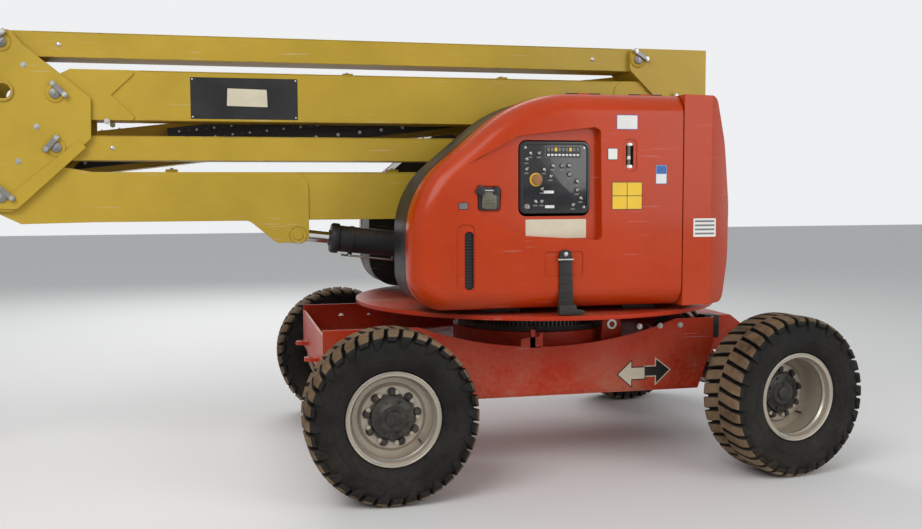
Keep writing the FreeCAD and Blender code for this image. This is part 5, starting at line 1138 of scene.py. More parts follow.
def add_label(bm, left, right, low, high, y=HOOD_FACE, material=0, sunk=False, border=None):
    """A blank label with a darker border, on the hood's face or in its sunk panel."""
    made = len(bm.verts)
    thick = 0.0012
    if border is not None:
        add_prism(bm, rectangle(left, right, low, high, 0.003, 3), -thick, 0.0005, "xz", 0.0, 1, border)
        edge = 0.003
        inner = rectangle(left + edge, right - edge, low + edge, high - edge, 0.002, 2)
        add_prism(bm, inner, -thick - 0.0004, -thick + 0.0002, "xz", 0.0, 1, material)
    else:
        add_prism(bm, rectangle(left, right, low, high, 0.003, 3), -thick, 0.0005, "xz", 0.0, 1, material)
    bm.verts.ensure_lookup_table()
    for vert in bm.verts[made:]:
        vert.co.y += pocket_floor(vert.co.x) if sunk else y


class BOOMLIFT_OT_ground_controls(bpy.types.Operator):
    """The black control panel with toggles, stop button and rows of indicator lamps."""

    bl_idname = "boomlift.ground_controls"
    bl_label = "Ground controls"

    def execute(self, context):
        low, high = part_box("ground_controls")
        left, right, bottom, top = low[0], high[0], low[2], high[2]
        face = low[1]
        bm = bmesh.new()
        outline = rectangle(left + 0.003, right - 0.003, bottom + 0.003, top - 0.003, 0.036, 8)
        add_prism(bm, outline, face - 0.0035, face + 0.004, "xz", 0.0015, 2, 0)
        inner = rectangle(left + 0.016, right - 0.016, bottom + 0.016, top - 0.016, 0.026, 8)
        rim = grown(inner, 0.008)
        rings = []
        for outline, reach in ((rim, 0.003), (rim, 0.0075), (inner, 0.0075), (inner, 0.003)):
            rings.append([bm.verts.new((x, face - reach, z)) for x, z in outline])
        for one, two in zip(rings, rings[1:] + rings[:1]):
            for step in range(len(one)):
                following = (step + 1) % len(one)
                bm.faces.new((one[step], one[following], two[following], two[step])).material_index = 1
        plate = face - 0.0035
        self.toggles(bm, plate, left, top)
        self.lamps(bm, plate)
        self.stop_button(bm, plate)
        for x in (left + 0.030, right - 0.030):
            for z in (bottom + 0.030, top - 0.030):
                add_bolt(bm, (x, plate, z), (0, -1, 0), 0.0045, 0.004, 3)
        materials = [
            MATERIALS["gloss_black"], MATERIALS["plastic"], MATERIALS["grey_plastic"], MATERIALS["zinc"],
            MATERIALS["knob"], MATERIALS["white"], MATERIALS["lamp"], MATERIALS["red"], MATERIALS["yellow"],
        ]
        piece_from("ground_panel", bm, materials, "turntable", 35.0)
        return {"FINISHED"}

    def toggles(self, bm, plate, left, top):
        """Places follow the photograph's light dots; offsets from the panel's upper left corner."""
        places = (
            (0.054, 0.058, -20), (0.098, 0.058, 15), (0.035, 0.087, -10), (0.035, 0.136, 20),
            (0.124, 0.137, -25), (0.159, 0.170, 10), (0.114, 0.233, 15), (0.170, 0.119, -15),
            (0.217, 0.119, 20), (0.254, 0.117, -10), (0.256, 0.161, 15), (0.296, 0.195, -20),
            (0.296, 0.239, 10), (0.315, 0.278, -15), (0.275, 0.312, 20), (0.081, 0.294, -15),
            (0.112, 0.294, 10),
        )
        axis = Vector((0, -1, 0))
        for dx, dz, lean in places:
            x, z = left + dx, top - dz
            bezel = [(0, 0), (0, 0.0125), (0.0016, 0.0125), (0.0024, 0.0112), (0.0024, 0)]
            add_lathe(bm, (x, plate, z), axis, bezel, 24, 1)
            add_bolt(bm, (x, plate - 0.002, z), axis, 0.0072, 0.0045, 3, washer=False)
            tip = Vector((x, plate - 0.024, z + 0.016 * math.sin(math.radians(lean))))
            add_rod(bm, (x, plate - 0.005, z), tip, 0.0026, 12, 0.3, 3)
            ball = []
            for step in range(7):
                angle = math.pi * step / 6
                ball.append((-0.0042 * math.cos(angle), 0.0042 * math.sin(angle)))
            add_lathe(bm, tip, axis, ball, 12, 3)
            add_prism(
                bm, rectangle(x - 0.011, x + 0.011, z - 0.0235, z - 0.0165, 0.002, 2), plate - 0.0008,
                plate + 0.0005, "xz", 0.0, 1, 2,
            )

    def lamps(self, bm, plate):
        left, right, low, high = 1.497, 1.685, 1.638, 1.697
        frame_line = rectangle(left, right, low, high, 0.005, 3)
        add_prism(bm, frame_line, plate - 0.0022, plate + 0.0005, "xz", 0.0006, 1, 2)
        inner = rectangle(left + 0.003, right - 0.003, low + 0.003, high - 0.003, 0.004, 3)
        add_prism(bm, inner, plate - 0.0028, plate - 0.0015, "xz", 0.0, 1, 0)
        for row, (z, tall) in enumerate(((high - 0.017, 0.009), (low + 0.015, 0.005))):
            for column in range(9):
                x = left + 0.0185 + column * 0.0190
                lamp = 8 if row == 0 and column in (2, 6) else (5 if row else 2)
                outline = rectangle(x - 0.0065, x + 0.0065, z - tall, z + tall, 0.0018, 2)
                add_prism(bm, outline, plate - 0.0042, plate - 0.0020, "xz", 0.0005, 1, lamp)
        for x, z, wide in ((1.518, 1.471, 0.052), (1.523, 1.399, 0.048)):
            outline = rectangle(x - wide / 2, x + wide / 2, z - 0.007, z + 0.007, 0.002, 2)
            add_prism(bm, outline, plate - 0.0012, plate + 0.0005, "xz", 0.0, 1, 5)

    def stop_button(self, bm, plate):
        x, z = 1.452, 1.532
        axis = (0, -1, 0)
        ring = [(0, 0), (0, 0.033), (0.003, 0.033), (0.0045, 0.0305), (0.0045, 0.020), (0.0030, 0)]
        add_lathe(bm, (x, plate, z), axis, ring, 48, 8)
        knob = [
            (0.003, 0.0), (0.003, 0.0130), (0.014, 0.0130), (0.016, 0.0255), (0.0185, 0.0275), (0.0235, 0.0272),
            (0.0265, 0.0245), (0.0280, 0.0180), (0.0284, 0.0),
        ]
        add_lathe(bm, (x, plate, z), axis, knob, 48, 4)
        key_x, key_z = 1.405, 1.400
        barrel = [(0, 0), (0, 0.0135), (0.004, 0.0135), (0.006, 0.0115), (0.010, 0.0105), (0.010, 0.0)]
        add_lathe(bm, (key_x, plate, key_z), axis, barrel, 32, 3)
        add_prism(
            bm, rectangle(key_x - 0.0012, key_x + 0.0012, key_z - 0.011, key_z + 0.011), plate - 0.030,
            plate - 0.009, "xz", 0.0004, 1, 3,
        )


class BOOMLIFT_OT_hood_trim(bpy.types.Operator):
    """Latches, strap, vents, gaskets, sight gauge and blank labels of the covers."""

    bl_idname = "boomlift.hood_trim"
    bl_label = "Cover trim"

    def execute(self, context):
        self.labels()
        self.latch()
        self.strap()
        for side, sign in (("near", -1.0), ("far", 1.0)):
            self.vent(side, sign)
            self.gasket(side, sign)
        self.gauge()
        return {"FINISHED"}

    def labels(self):
        bm = bmesh.new()
        add_label(bm, 1.864, 1.977, 1.780, 1.853, material=0, border=3)
        add_label(bm, 1.818, 1.872, 1.629, 1.688, material=0, border=4)
        add_label(bm, 2.075, 2.137, 1.509, 1.605, material=0, border=3)
        add_label(bm, 2.079, 2.133, 1.560, 1.601, y=HOOD_FACE - 0.0006, material=3)
        add_label(bm, 1.842, 2.004, 1.382, 1.520, material=1, border=4)
        for left, right, low, high in ((1.9215, 1.9245, 1.385, 1.517), (1.845, 2.001, 1.4495, 1.4525)):
            add_prism(
                bm, rectangle(left, right, low, high), HOOD_FACE - 0.0022, HOOD_FACE - 0.0012, "xz", 0.0, 1, 4
            )
        add_label(bm, 1.056, 1.104, 1.388, 1.422, material=5, border=4)
        add_label(bm, 1.400, 1.721, 1.242, 1.336, material=2, sunk=True)
        materials = [
            MATERIALS["white"], MATERIALS["yellow"], MATERIALS["cream_label"], MATERIALS["blue"],
            MATERIALS["sign_black"], MATERIALS["grey_plastic"],
        ]
        piece_from("hood_near_labels", bm, materials, "hood_near", 30.0)
        bm = bmesh.new()
        for vert_label in ((2.286, 2.410, 1.240, 1.334),):
            left, right, low, high = vert_label
            add_prism(bm, rectangle(left, right, low, high, 0.004, 3), -0.9815, -0.9790, "xz", 0.0, 1, 0)
            for band in range(4):
                z = low + 0.012 + band * 0.021
                add_prism(
                    bm, rectangle(left + 0.008, right - 0.008, z, z + 0.009, 0.001, 1), -0.9819, -0.9812, "xz",
                    0.0, 1, 1,
                )
        piece_from(
            "counterweight_label", bm, [MATERIALS["white"], MATERIALS["grey_plastic"]], "turntable",
            30.0,
        )

    def latch(self):
        bm = bmesh.new()
        floor = HOOD_FACE + 0.025
        case = rounded([(1.160, 1.385), (1.262, 1.385), (1.266, 1.470), (1.246, 1.494), (1.180, 1.494), (1.160, 1.472)], 0.010, 4)
        add_prism(bm, case, floor - 0.010, floor + 0.001, "xz", 0.003, 2, 0)
        horn = rounded([(1.140, 1.470), (1.168, 1.452), (1.190, 1.470), (1.178, 1.500), (1.160, 1.508), (1.150, 1.488)], 0.006, 3)
        add_prism(bm, horn, floor - 0.032, floor - 0.009, "xz", 0.003, 2, 0)
        hook = rounded([(1.226, 1.460), (1.262, 1.456), (1.264, 1.492), (1.242, 1.500)], 0.006, 3)
        add_prism(bm, hook, floor - 0.028, floor - 0.009, "xz", 0.003, 2, 0)
        paddle = rounded([(1.174, 1.392), (1.248, 1.388), (1.246, 1.470), (1.178, 1.474)], 0.012, 5)
        add_prism(bm, paddle, floor - 0.024, floor - 0.009, "xz", 0.004, 3, 1)
        for level in (1.405, 1.418, 1.431):
            add_prism(
                bm, rectangle(1.184, 1.238, level, level + 0.006, 0.002, 2), floor - 0.0262, floor - 0.023,
                "xz", 0.001, 1, 1,
            )
        add_rod(bm, (1.166, floor - 0.016, 1.480), (1.256, floor - 0.016, 1.478), 0.0055, 14, 0.2, 2)
        materials = [MATERIALS["plastic"], MATERIALS["smoke"], MATERIALS["zinc"]]
        piece_from("hood_near_latch", bm, materials, "hood_near", 35.0)

    def strap(self):
        bm = bmesh.new()
        face = HOOD_FACE
        top = rounded([(1.566, 1.128), (1.628, 1.128), (1.628, 1.186), (1.566, 1.186)], [0.004, 0.004, 0.028, 0.028], 8)
        add_prism(bm, top, face - 0.016, face + 0.0055, "xz", 0.004, 2, 0)
        body = rounded([(1.562, 0.880), (1.640, 0.880), (1.630, 1.132), (1.567, 1.132)], 0.004, 2)
        add_prism(bm, body, face - 0.011, face - 0.0005, "xz", 0.003, 2, 0)
        for number in range(4):
            z = 0.93 + number * 0.045
            add_prism(bm, rectangle(1.574, 1.626, z, z + 0.012, 0.004, 3), face - 0.0135, face - 0.010, "xz", 0.0012, 1, 0)
        foot = rounded([(1.560, 0.864), (1.690, 0.864), (1.690, 0.884), (1.648, 0.890), (1.648, 0.912), (1.560, 0.912)], 0.005, 3)
        add_prism(bm, foot, face - 0.030, face + 0.004, "xz", 0.004, 2, 0)
        add_rod(bm, (1.556, face - 0.014, 1.138), (1.638, face - 0.014, 1.138), 0.005, 12, 0.2, 1)
        add_bolt(bm, (1.597, face - 0.016, 1.165), (0, -1, 0), 0.0075, 0.007, 1)
        piece_from(
            "hood_near_strap", bm, [MATERIALS["rubber_part"], MATERIALS["zinc"]], "hood_near", 40.0
        )

    def vent(self, side, sign):
        bm = bmesh.new()
        left, right, low, high = 1.080, 1.140, 0.990, 1.290
        inner = sign * (0.980 - 0.020)
        near, far = sorted((inner, inner - sign * 0.004))
        # The black plate behind the fins is painted shade: a dark sheet standing in for the shadow inside the vent's
        # slot.
        add_prism(bm, rectangle(left, right, low, high, 0.012, 3), near, far, "xz", 0.0, 1, 0)
        for number in range(19):
            z = 1.004 + number * 0.0148
            start = (1.084, inner + sign * 0.0005, z)
            fin = [(1.084, z), (1.136, z), (1.136, z + 0.004), (1.084, z + 0.004)]
            out_low, out_high = sorted((inner - sign * 0.001, inner + sign * 0.011))
            add_prism(bm, fin, out_low, out_high, "xz", 0.0008, 1, 0)
        piece_from(f"hood_{side}_vent", bm, [MATERIALS["plastic"]], f"hood_{side}", 30.0)

    def gauge(self):
        bm = bmesh.new()
        inner = HOOD_FACE + 0.030
        # The black back plate is painted shade: a dark sheet standing in for the shadow inside the gauge's slot.
        back = rectangle(1.906, 1.968, 1.578, 1.726, 0.02, 5)
        add_prism(bm, back, inner, inner + 0.004, "xz", 0.001, 1, 0)
        add_rod(bm, (1.937, inner - 0.012, 1.598), (1.937, inner - 0.012, 1.706), 0.0095, 24, 0.1, 1)
        for z in (1.596, 1.708):
            add_prism(bm, rectangle(1.922, 1.952, z - 0.009, z + 0.009, 0.004, 3), inner - 0.024, inner + 0.001, "xz", 0.002, 2, 2)
        add_rod(bm, (1.937, inner - 0.012, 1.632), (1.937, inner - 0.012, 1.650), 0.0101, 24, 0.1, 3)
        materials = [MATERIALS["plastic"], MATERIALS["smoke"], MATERIALS["zinc"], MATERIALS["white"]]
        piece_from("hood_near_gauge", bm, materials, "hood_near", 35.0)

    def gasket(self, side, sign):
        """A rubber lip along the frame's rounded edge, just behind the cover."""
        x = SWING_X
        outline = rounded(
            [(x - 0.905, 0.890), (x + 0.490, 0.890), (x + 0.490, 1.960), (x - 0.335, 1.960), (x - 0.905, 1.476)],
            [0.170, 0.0, 0.0, 0.700, 0.450], 14,
        )
        line = [place for place in outline if place[0] < x + 0.489]
        bm = bmesh.new()
        rings = []
        count = len(line)
        for index, (px, pz) in enumerate(line):
            ahead = Vector(line[min(index + 1, count - 1)])
            behind = Vector(line[max(index - 1, 0)])
            along = (ahead - behind).normalized()
            inward = Vector((-along.y, along.x))
            ring = []
            for reach, depth in ((-0.001, 0.7935), (-0.001, 0.7805), (0.014, 0.7805), (0.014, 0.7935)):
                place = Vector((px, pz)) + inward * reach
                ring.append(bm.verts.new((place.x, sign * depth, place.y)))
            rings.append(ring)
        for one, two in zip(rings, rings[1:]):
            for corner in range(4):
                following = (corner + 1) % 4
                bm.faces.new((one[corner], one[following], two[following], two[corner]))
        bm.faces.new(list(reversed(rings[0])))
        bm.faces.new(rings[-1])
        piece_from(f"hood_{side}_gasket", bm, [MATERIALS["rubber_part"]], "turntable", 40.0)


# Chassis

class BOOMLIFT_OT_chassis_trim(bpy.types.Operator):
    """Drive arrows, hoses, cable box, motor, tabs and bolts of the chassis."""

    bl_idname = "boomlift.chassis_trim"
    bl_label = "Chassis trim"

    def execute(self, context):
        self.arrows()
        self.tabs()
        self.hoses()
        self.slew_bolts()
        return {"FINISHED"}

    def arrows(self):
        left = [
            (2.035, 0.475), (2.112, 0.408), (2.112, 0.446), (2.190, 0.446), (2.190, 0.508), (2.112, 0.508),
            (2.112, 0.543),
        ]
        right = [
            (2.190, 0.461), (2.258, 0.461), (2.258, 0.419), (2.337, 0.490), (2.258, 0.550), (2.258, 0.511),
            (2.190, 0.511),
        ]
        for side, sign in (("near", -1.0), ("far", 1.0)):
            bm = bmesh.new()
            face = 0.606
            for outline, inner, outer in ((left, 0, 1), (right, 1, 0)):
                low, high = sorted((sign * (face - 0.0005), sign * (face + 0.0008)))
                add_prism(bm, grown(outline, 0.006), low, high, "xz", 0.0, 1, outer)
                low, high = sorted((sign * (face + 0.0004), sign * (face + 0.0014)))
                add_prism(bm, outline, low, high, "xz", 0.0, 1, inner)
            materials = [MATERIALS["cream_label"], MATERIALS["sign_black"]]
            piece_from(f"drive_arrows_{side}", bm, materials, "chassis", 30.0)

    def tabs(self):
        bm = bmesh.new()
        for sign in (-1.0, 1.0):
            low, high = sorted((sign * 0.594, sign * 0.606))
            tab = rounded([(1.533, 0.640), (1.606, 0.640), (1.606, 0.722), (1.590, 0.722), (1.584, 0.700), (1.533, 0.700)], 0.004, 2)
            add_prism(bm, tab, low, high, "xz", 0.0015, 1, 0)
            low, high = sorted((sign * 0.440, sign * 0.470))
            lug = rounded([(1.985, 0.612), (2.116, 0.612), (2.103, 0.760), (2.075, 0.787), (2.030, 0.787), (1.998, 0.760)], 0.020, 5)
            add_prism(bm, lug, low, high, "xz", 0.003, 2, 0)
            outward = (0, sign, 0)
            ring = [(-0.001, 0.016), (0.006, 0.016), (0.006, 0.028), (-0.001, 0.028)]
            add_lathe(bm, (2.050, sign * 0.470, 0.735), outward, ring, 30, 1, closed=True)
            for x in (0.86, 0.98, 1.10, 2.16, 2.28, 2.40):
                add_bolt(bm, (x, sign * 0.606, 0.735 if x > 2 else 0.60), outward, 0.011, 0.010, 1)
            add_seam(bm, (1.14, sign * 0.6065, 0.392), (2.48, sign * 0.6065, 0.392), 0.0030)
            box_low, box_high = sorted((sign * 0.415, sign * 0.500))
            add_prism(bm, rectangle(2.600, 2.690, 0.640, 0.770, 0.008, 3), box_low, box_high, "xz", 0.004, 2, 2)
            for z in (0.655, 0.755):
                add_bolt(bm, (2.645, sign * 0.500, z), outward, 0.006, 0.006, 1)
        for x in (0.60, 0.76):
            add_bolt(bm, (x, 0.0, 0.7725), UP, 0.010, 0.009, 1)
        materials = [MATERIALS["chassis"], MATERIALS["zinc"], MATERIALS["black"]]
        piece_from("chassis_tabs", bm, materials, "chassis", 30.0)

    def hoses(self):
        bm = bmesh.new()
        routes = (
            ((2.40, -0.30, 0.66), (2.46, -0.36, 0.79), (2.55, -0.40, 0.80), (2.63, -0.40, 0.70), (2.66, -0.36, 0.56)),
            ((2.38, -0.26, 0.66), (2.45, -0.30, 0.76), (2.54, -0.34, 0.77), (2.62, -0.35, 0.68), (2.64, -0.32, 0.56)),
            ((2.40, 0.30, 0.66), (2.46, 0.36, 0.79), (2.55, 0.40, 0.80), (2.63, 0.40, 0.70), (2.66, 0.36, 0.56)),
        )
        for points in routes:
            add_tube(bm, points, 0.0125, 14, 0)
            for place, towards in ((points[0], (0, 0, -1)), (points[-1], (0, 0, -1))):
                start = Vector(place)
                add_rod(bm, start - Vector(towards) * 0.02, start + Vector(towards) * 0.03, 0.0165, 6, 0.15, 1)
        motor = [
            (0.0, 0.0), (0.0, 0.046), (0.012, 0.058), (0.030, 0.062), (0.120, 0.062), (0.124, 0.070), (0.150, 0.070),
            (0.154, 0.062), (0.240, 0.062), (0.262, 0.074), (0.300, 0.074), (0.300, 0.0),
        ]
        add_lathe(bm, (2.290, 0.0, 0.345), (1, 0, 0), motor, 40, 2)
        for number in range(6):
            angle = math.radians(number * 60.0)
            place = (2.414, 0.066 * math.sin(angle), 0.345 + 0.066 * math.cos(angle))
            add_bolt(bm, place, (-1, 0, 0), 0.006, 0.006, 1)
        materials = [MATERIALS["hose"], MATERIALS["zinc"], MATERIALS["axle"]]
        piece_from("chassis_hoses", bm, materials, "chassis", 35.0)

    def slew_bolts(self):
        low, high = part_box("slew_bearing")
        bm = bmesh.new()
        for number in range(36):
            angle = math.radians(number * 10.0)
            place = (SWING_X + 0.418 * math.cos(angle), 0.418 * math.sin(angle), low[2] + 0.002)
            outward = Vector((math.cos(angle), math.sin(angle), 0.0))
            rim = Vector((SWING_X, 0.0, 0.0)) + outward * 0.4395
            add_bolt(bm, (rim.x, rim.y, high[2] - 0.030), outward, 0.0085, 0.007, 0)
        for number in range(120):
            angle = math.radians(number * 3.0)
            outward = Vector((math.cos(angle), math.sin(angle), 0.0))
            side = Vector((-math.sin(angle), math.cos(angle), 0.0))
            base = Vector((SWING_X, 0.0, low[2] + 0.030))
            ring = []
            for across, reach in ((-0.0085, 0.438), (0.0085, 0.438), (0.0045, 0.452), (-0.0045, 0.452)):
                ring.append(base + outward * reach + side * across)
            lower = [bm.verts.new(place) for place in ring]
            upper = [bm.verts.new(place + UP * 0.042) for place in ring]
            bm.faces.new(list(reversed(lower))).material_index = 1
            bm.faces.new(upper).material_index = 1
            for corner in range(4):
                following = (corner + 1) % 4
                quad = (lower[corner], lower[following], upper[following], upper[corner])
                bm.faces.new(quad).material_index = 1
        piece_from("slew_ring_gear", bm, [MATERIALS["zinc"], MATERIALS["grease"]], "chassis", 25.0)


# Cylinders and hoses of the tower

class BOOMLIFT_OT_cylinder_trim(bpy.types.Operator):
    """Glands, ports, pipes and clamps on the lift cylinders."""

    bl_idname = "boomlift.cylinder_trim"
    bl_label = "Cylinder trim"

    def execute(self, context):
        # body, base, eye, y, barrel's share, barrel's radius, rod's radius, pipe's side
        table = (
            ("lower_lift", (1.709, 1.090), (0.339, 1.248), -0.220, 0.865, 0.071, 0.032, 1.0),
            ("main_lift", (2.354, 1.640), self.main_ear(), 0.100, 0.800, 0.048, 0.024, -1.0),
            ("jib_lift", self.jib_base(), self.jib_ear(), 0.139, 0.850, 0.026, 0.015, 1.0),
        )
        for name, base, eye, y, share, barrel, rod, side in table:
            self.trim(name, Vector((base[0], y, base[1])), Vector((eye[0], y, eye[1])), share, barrel, rod, side)
        return {"FINISHED"}

    def main_ear(self):
        turn = math.radians(6.8)
        pin = PLACE["main_lift"]
        dx, dz = -1.100, -0.160
        return (pin.x + dx * math.cos(turn) - dz * math.sin(turn), pin.z + dx * math.sin(turn) + dz * math.cos(turn))

    def jib_base(self):
        pin = PLACE["jib_lift"]
        return (pin.x - 0.015, pin.z - 0.140)

    def jib_ear(self):
        turn = math.radians(58.0)
        pin = PLACE["jib_lift"]
        dx, dz = -0.650, -0.200
        return (pin.x + dx * math.cos(turn) - dz * math.sin(turn), pin.z + dx * math.sin(turn) + dz * math.cos(turn))

    def trim(self, name, base, eye, share, barrel, rod, side):
        axis = (eye - base).normalized()
        length = (eye - base).length
        end = length * share
        across = axis.cross(Vector((0, 1, 0))).normalized() * side
        bm = bmesh.new()
        gland = base + axis * (end - 0.040)
        profile = [
            (0.0, barrel), (0.0, barrel + 0.008), (0.004, barrel + 0.010), (0.034, barrel + 0.010),
            (0.044, barrel + 0.003), (0.046, rod + 0.012), (0.054, rod + 0.009), (0.054, rod + 0.0008),
            (0.030, rod + 0.0008), (0.0, rod + 0.0008),
        ]
        add_lathe(bm, gland, axis, profile, 48, 0, closed=True)
        for reach in (0.085, end - 0.110):
            place = base + axis * reach
            band = [(-0.010, barrel), (-0.010, barrel + 0.004), (0.010, barrel + 0.004), (0.010, barrel)]
            add_lathe(bm, place, axis, [(a, b - 0.0005) for a, b in band], 48, 0, closed=True)
            boss = place + across * (barrel - 0.004)
            add_rod(bm, boss, boss + across * 0.014, 0.013, 20, 0.15, 0)
            add_rod(bm, boss + across * 0.012, boss + across * 0.022, 0.011, 6, 0.15, 1)
        first = base + axis * 0.085 + across * (barrel + 0.016)
        last = base + axis * (end - 0.110) + across * (barrel + 0.016)
        add_tube(bm, (first, first + axis * 0.03, last - axis * 0.03, last), 0.006, 12, 1)
        half = Vector((0, 0.015, 0))
        for share_along in (0.25, 0.5, 0.75):
            place = first.lerp(last, share_along) - across * 0.009
            add_rod(bm, place - half, place + half, 0.0165, 8, 0.2, 2)
        materials = [MATERIALS["black"], MATERIALS["zinc"], MATERIALS["plastic"]]
        piece_from(f"{name}_fittings", bm, materials, f"{name}_barrel", 35.0)


# Main boom, jib and platform

def lean(bm, pivot, degrees):
    """Dips everything made so far about a pin, as the stowed booms dip."""
    turn = math.radians(degrees)
    cosine, sine = math.cos(turn), math.sin(turn)
    for vert in bm.verts:
        dx, dz = vert.co.x - pivot.x, vert.co.z - pivot.z
        vert.co.x = pivot.x + dx * cosine - dz * sine
        vert.co.z = pivot.z + dx * sine + dz * cosine


def add_end_cap(bm, x, z, face, outwards, radius, head=1, ring=0, nipple=2):
    """A turned washer, a chamfered pin end and a grease nipple, all round the pin's axis."""
    axis = (0.0, outwards, 0.0)
    washer = [
        (-0.0005, 0.0), (-0.0005, radius + 0.011), (0.0030, radius + 0.011), (0.0042, radius + 0.009), (0.0042, 0.0),
    ]
    add_lathe(bm, (x, face, z), axis, washer, 32, ring)
    cap = [(0.0038, 0.0), (0.0038, radius), (0.0075, radius), (0.0095, radius - 0.0025), (0.0095, 0.0)]
    add_lathe(bm, (x, face, z), axis, cap, 32, head)
    add_rod(bm, (x, face + outwards * 0.009, z), (x, face + outwards * 0.0145, z), 0.004, 8, 0.3, nipple)


class BOOMLIFT_OT_main_boom_trim(bpy.types.Operator):
    """Chain links, pipes, bolts and seams of the telescopic boom."""

    bl_idname = "boomlift.main_boom_trim"
    bl_label = "Main boom trim"

    def execute(self, context):
        pin = PLACE["main_lift"]
        slope = 6.8
        self.chain(pin, slope)
        self.base_section(pin, slope)
        self.fly_section(pin, slope)
        return {"FINISHED"}

    def chain(self, pin, slope):
        """Links stand on the carrier's near face; the tray has a lip, and below the links flat black patches are
        painted shade in place of the tray's open slots.
        """
        face = -0.0563
        bm = bmesh.new()
        pitch = 0.046
        for number in range(48):
            x = pin.x - 0.600 - number * pitch
            for level in (0.0135, 0.0600):
                z = pin.z + level
                outline = rounded(stretch_bar(x, z, 0.0, 0.056, 0.034), 0.0155, 4)
                low = face - (0.0075 if number % 2 else 0.0045)
                add_prism(bm, outline, low, face + 0.001, "xz", 0.0012, 1, 0)
                add_lathe(
                    bm, (x - pitch / 2, low - 0.0002, z), (0, -1, 0),
                    [(-0.004, 0), (-0.004, 0.0065), (0.0012, 0.0065), (0.0022, 0.005), (0.0022, 0)], 10, 1,
                )
        for level, tall in ((-0.077, 0.006), (-0.023, 0.005)):
            lip = rectangle(pin.x - 3.542, pin.x - 0.562, pin.z + level - tall / 2, pin.z + level + tall / 2)
            add_prism(bm, lip, face - 0.008, face + 0.001, "xz", 0.001, 1, 0)
        # The slots are flat black patches, painted shade in place of open holes through the tray.
        for number in range(24):
            x = pin.x - 0.66 - number * 0.122
            painted_slot_shade = rounded(stretch_bar(x, pin.z - 0.050, 0.0, 0.064, 0.018), 0.0088, 4)
            add_prism(bm, painted_slot_shade, face - 0.0015, face + 0.0005, "xz", 0.0, 1, 2)
            add_bolt(bm, (x + 0.061, face, pin.z - 0.050), (0, -1, 0), 0.0065, 0.006, 1)
        for reach in (2.858, 2.874, 2.890):
            outline = rectangle(pin.x - reach - 0.006, pin.x - reach + 0.006, pin.z - 0.016, pin.z + 0.010, 0.003, 2)
            add_prism(bm, outline, -0.050, -0.004, "xz", 0.001, 1, 3)
        lean(bm, pin, slope)
        materials = [MATERIALS["plastic"], MATERIALS["zinc"], MATERIALS["sign_black"], MATERIALS["hose"]]
        piece_from("main_boom_chain", bm, materials, "main_boom", 35.0)

    def base_section(self, pin, slope):
        bm = bmesh.new()
        left, right = pin.x - 3.54, pin.x - 0.42
        for level in (-0.109, 0.109):
            for y in (0.0008, 0.1992):
                add_seam(bm, (left, y, pin.z + level), (right, y, pin.z + level), 0.0028, 0, 0.014)
        for number in range(3):
            x = pin.x - 3.61 + number * 0.030
            for y in (0.060, 0.140):
                add_bolt(bm, (x, y, pin.z + 0.118), UP, 0.0085, 0.008, 1)
                add_bolt(bm, (x, y, pin.z - 0.118), -UP, 0.0085, 0.008, 1)
            for level in (-0.055, 0.055):
                add_bolt(bm, (x, 0.208, pin.z + level), (0, 1, 0), 0.0085, 0.008, 1)
                add_bolt(bm, (x, -0.008, pin.z + level), (0, -1, 0), 0.0085, 0.008, 1)
        for level in (0.035, 0.062):
            line = [
                (pin.x - 0.66, 0.199, pin.z + level - 0.018), (pin.x - 0.67, 0.218, pin.z + level - 0.010),
                (pin.x - 0.72, 0.220, pin.z + level), (pin.x - 3.30, 0.220, pin.z + level),
                (pin.x - 3.35, 0.218, pin.z + level - 0.010), (pin.x - 3.36, 0.199, pin.z + level - 0.018),
            ]
            add_tube(bm, line, 0.0085, 12, 3, 5)
        for number in range(7):
            x = pin.x - 0.90 - number * 0.37
            clamp = rectangle(x - 0.017, x + 0.017, pin.z + 0.020, pin.z + 0.077, 0.006, 3)
            add_prism(bm, clamp, 0.1995, 0.2330, "xz", 0.002, 2, 2)
            add_bolt(bm, (x, 0.2330, pin.z + 0.0485), (0, 1, 0), 0.0055, 0.005, 1)
        for x in (pin.x - 1.030, pin.x - 1.170):
            add_seam(bm, (x, 0.050, pin.z - 0.112), (x, 0.150, pin.z - 0.112), 0.004, 0)
        for y, out in ((0.0379, -1.0), (0.1671, 1.0)):
            add_end_cap(bm, pin.x - 1.100, pin.z - 0.160, y, out, 0.022, 4, 0, 1)
        for x, wide in ((pin.x - 1.9, 0.30), (pin.x - 2.7, 0.16)):
            plate = rectangle(x - wide / 2, x + wide / 2, pin.z - 0.070, pin.z - 0.010, 0.004, 3)
            add_prism(bm, plate, 0.1995, 0.2014, "xz", 0.0005, 1, 3)
        cover = rectangle(pin.x - 3.20, pin.x - 3.08, 0.045, 0.155, 0.012, 4)
        add_prism(bm, cover, pin.z + 0.1095, pin.z + 0.1140, "xy", 0.0012, 1, 0)
        for x in (pin.x - 3.185, pin.x - 3.095):
            for y in (0.060, 0.140):
                add_bolt(bm, (x, y, pin.z + 0.114), UP, 0.006, 0.006, 1)
        lean(bm, pin, slope)
        materials = [
            MATERIALS["pin_area"], MATERIALS["zinc"], MATERIALS["plastic"], MATERIALS["sign_black"],
            MATERIALS["pin_steel"],
        ]
        piece_from("main_boom_fittings", bm, materials, "main_boom", 35.0)

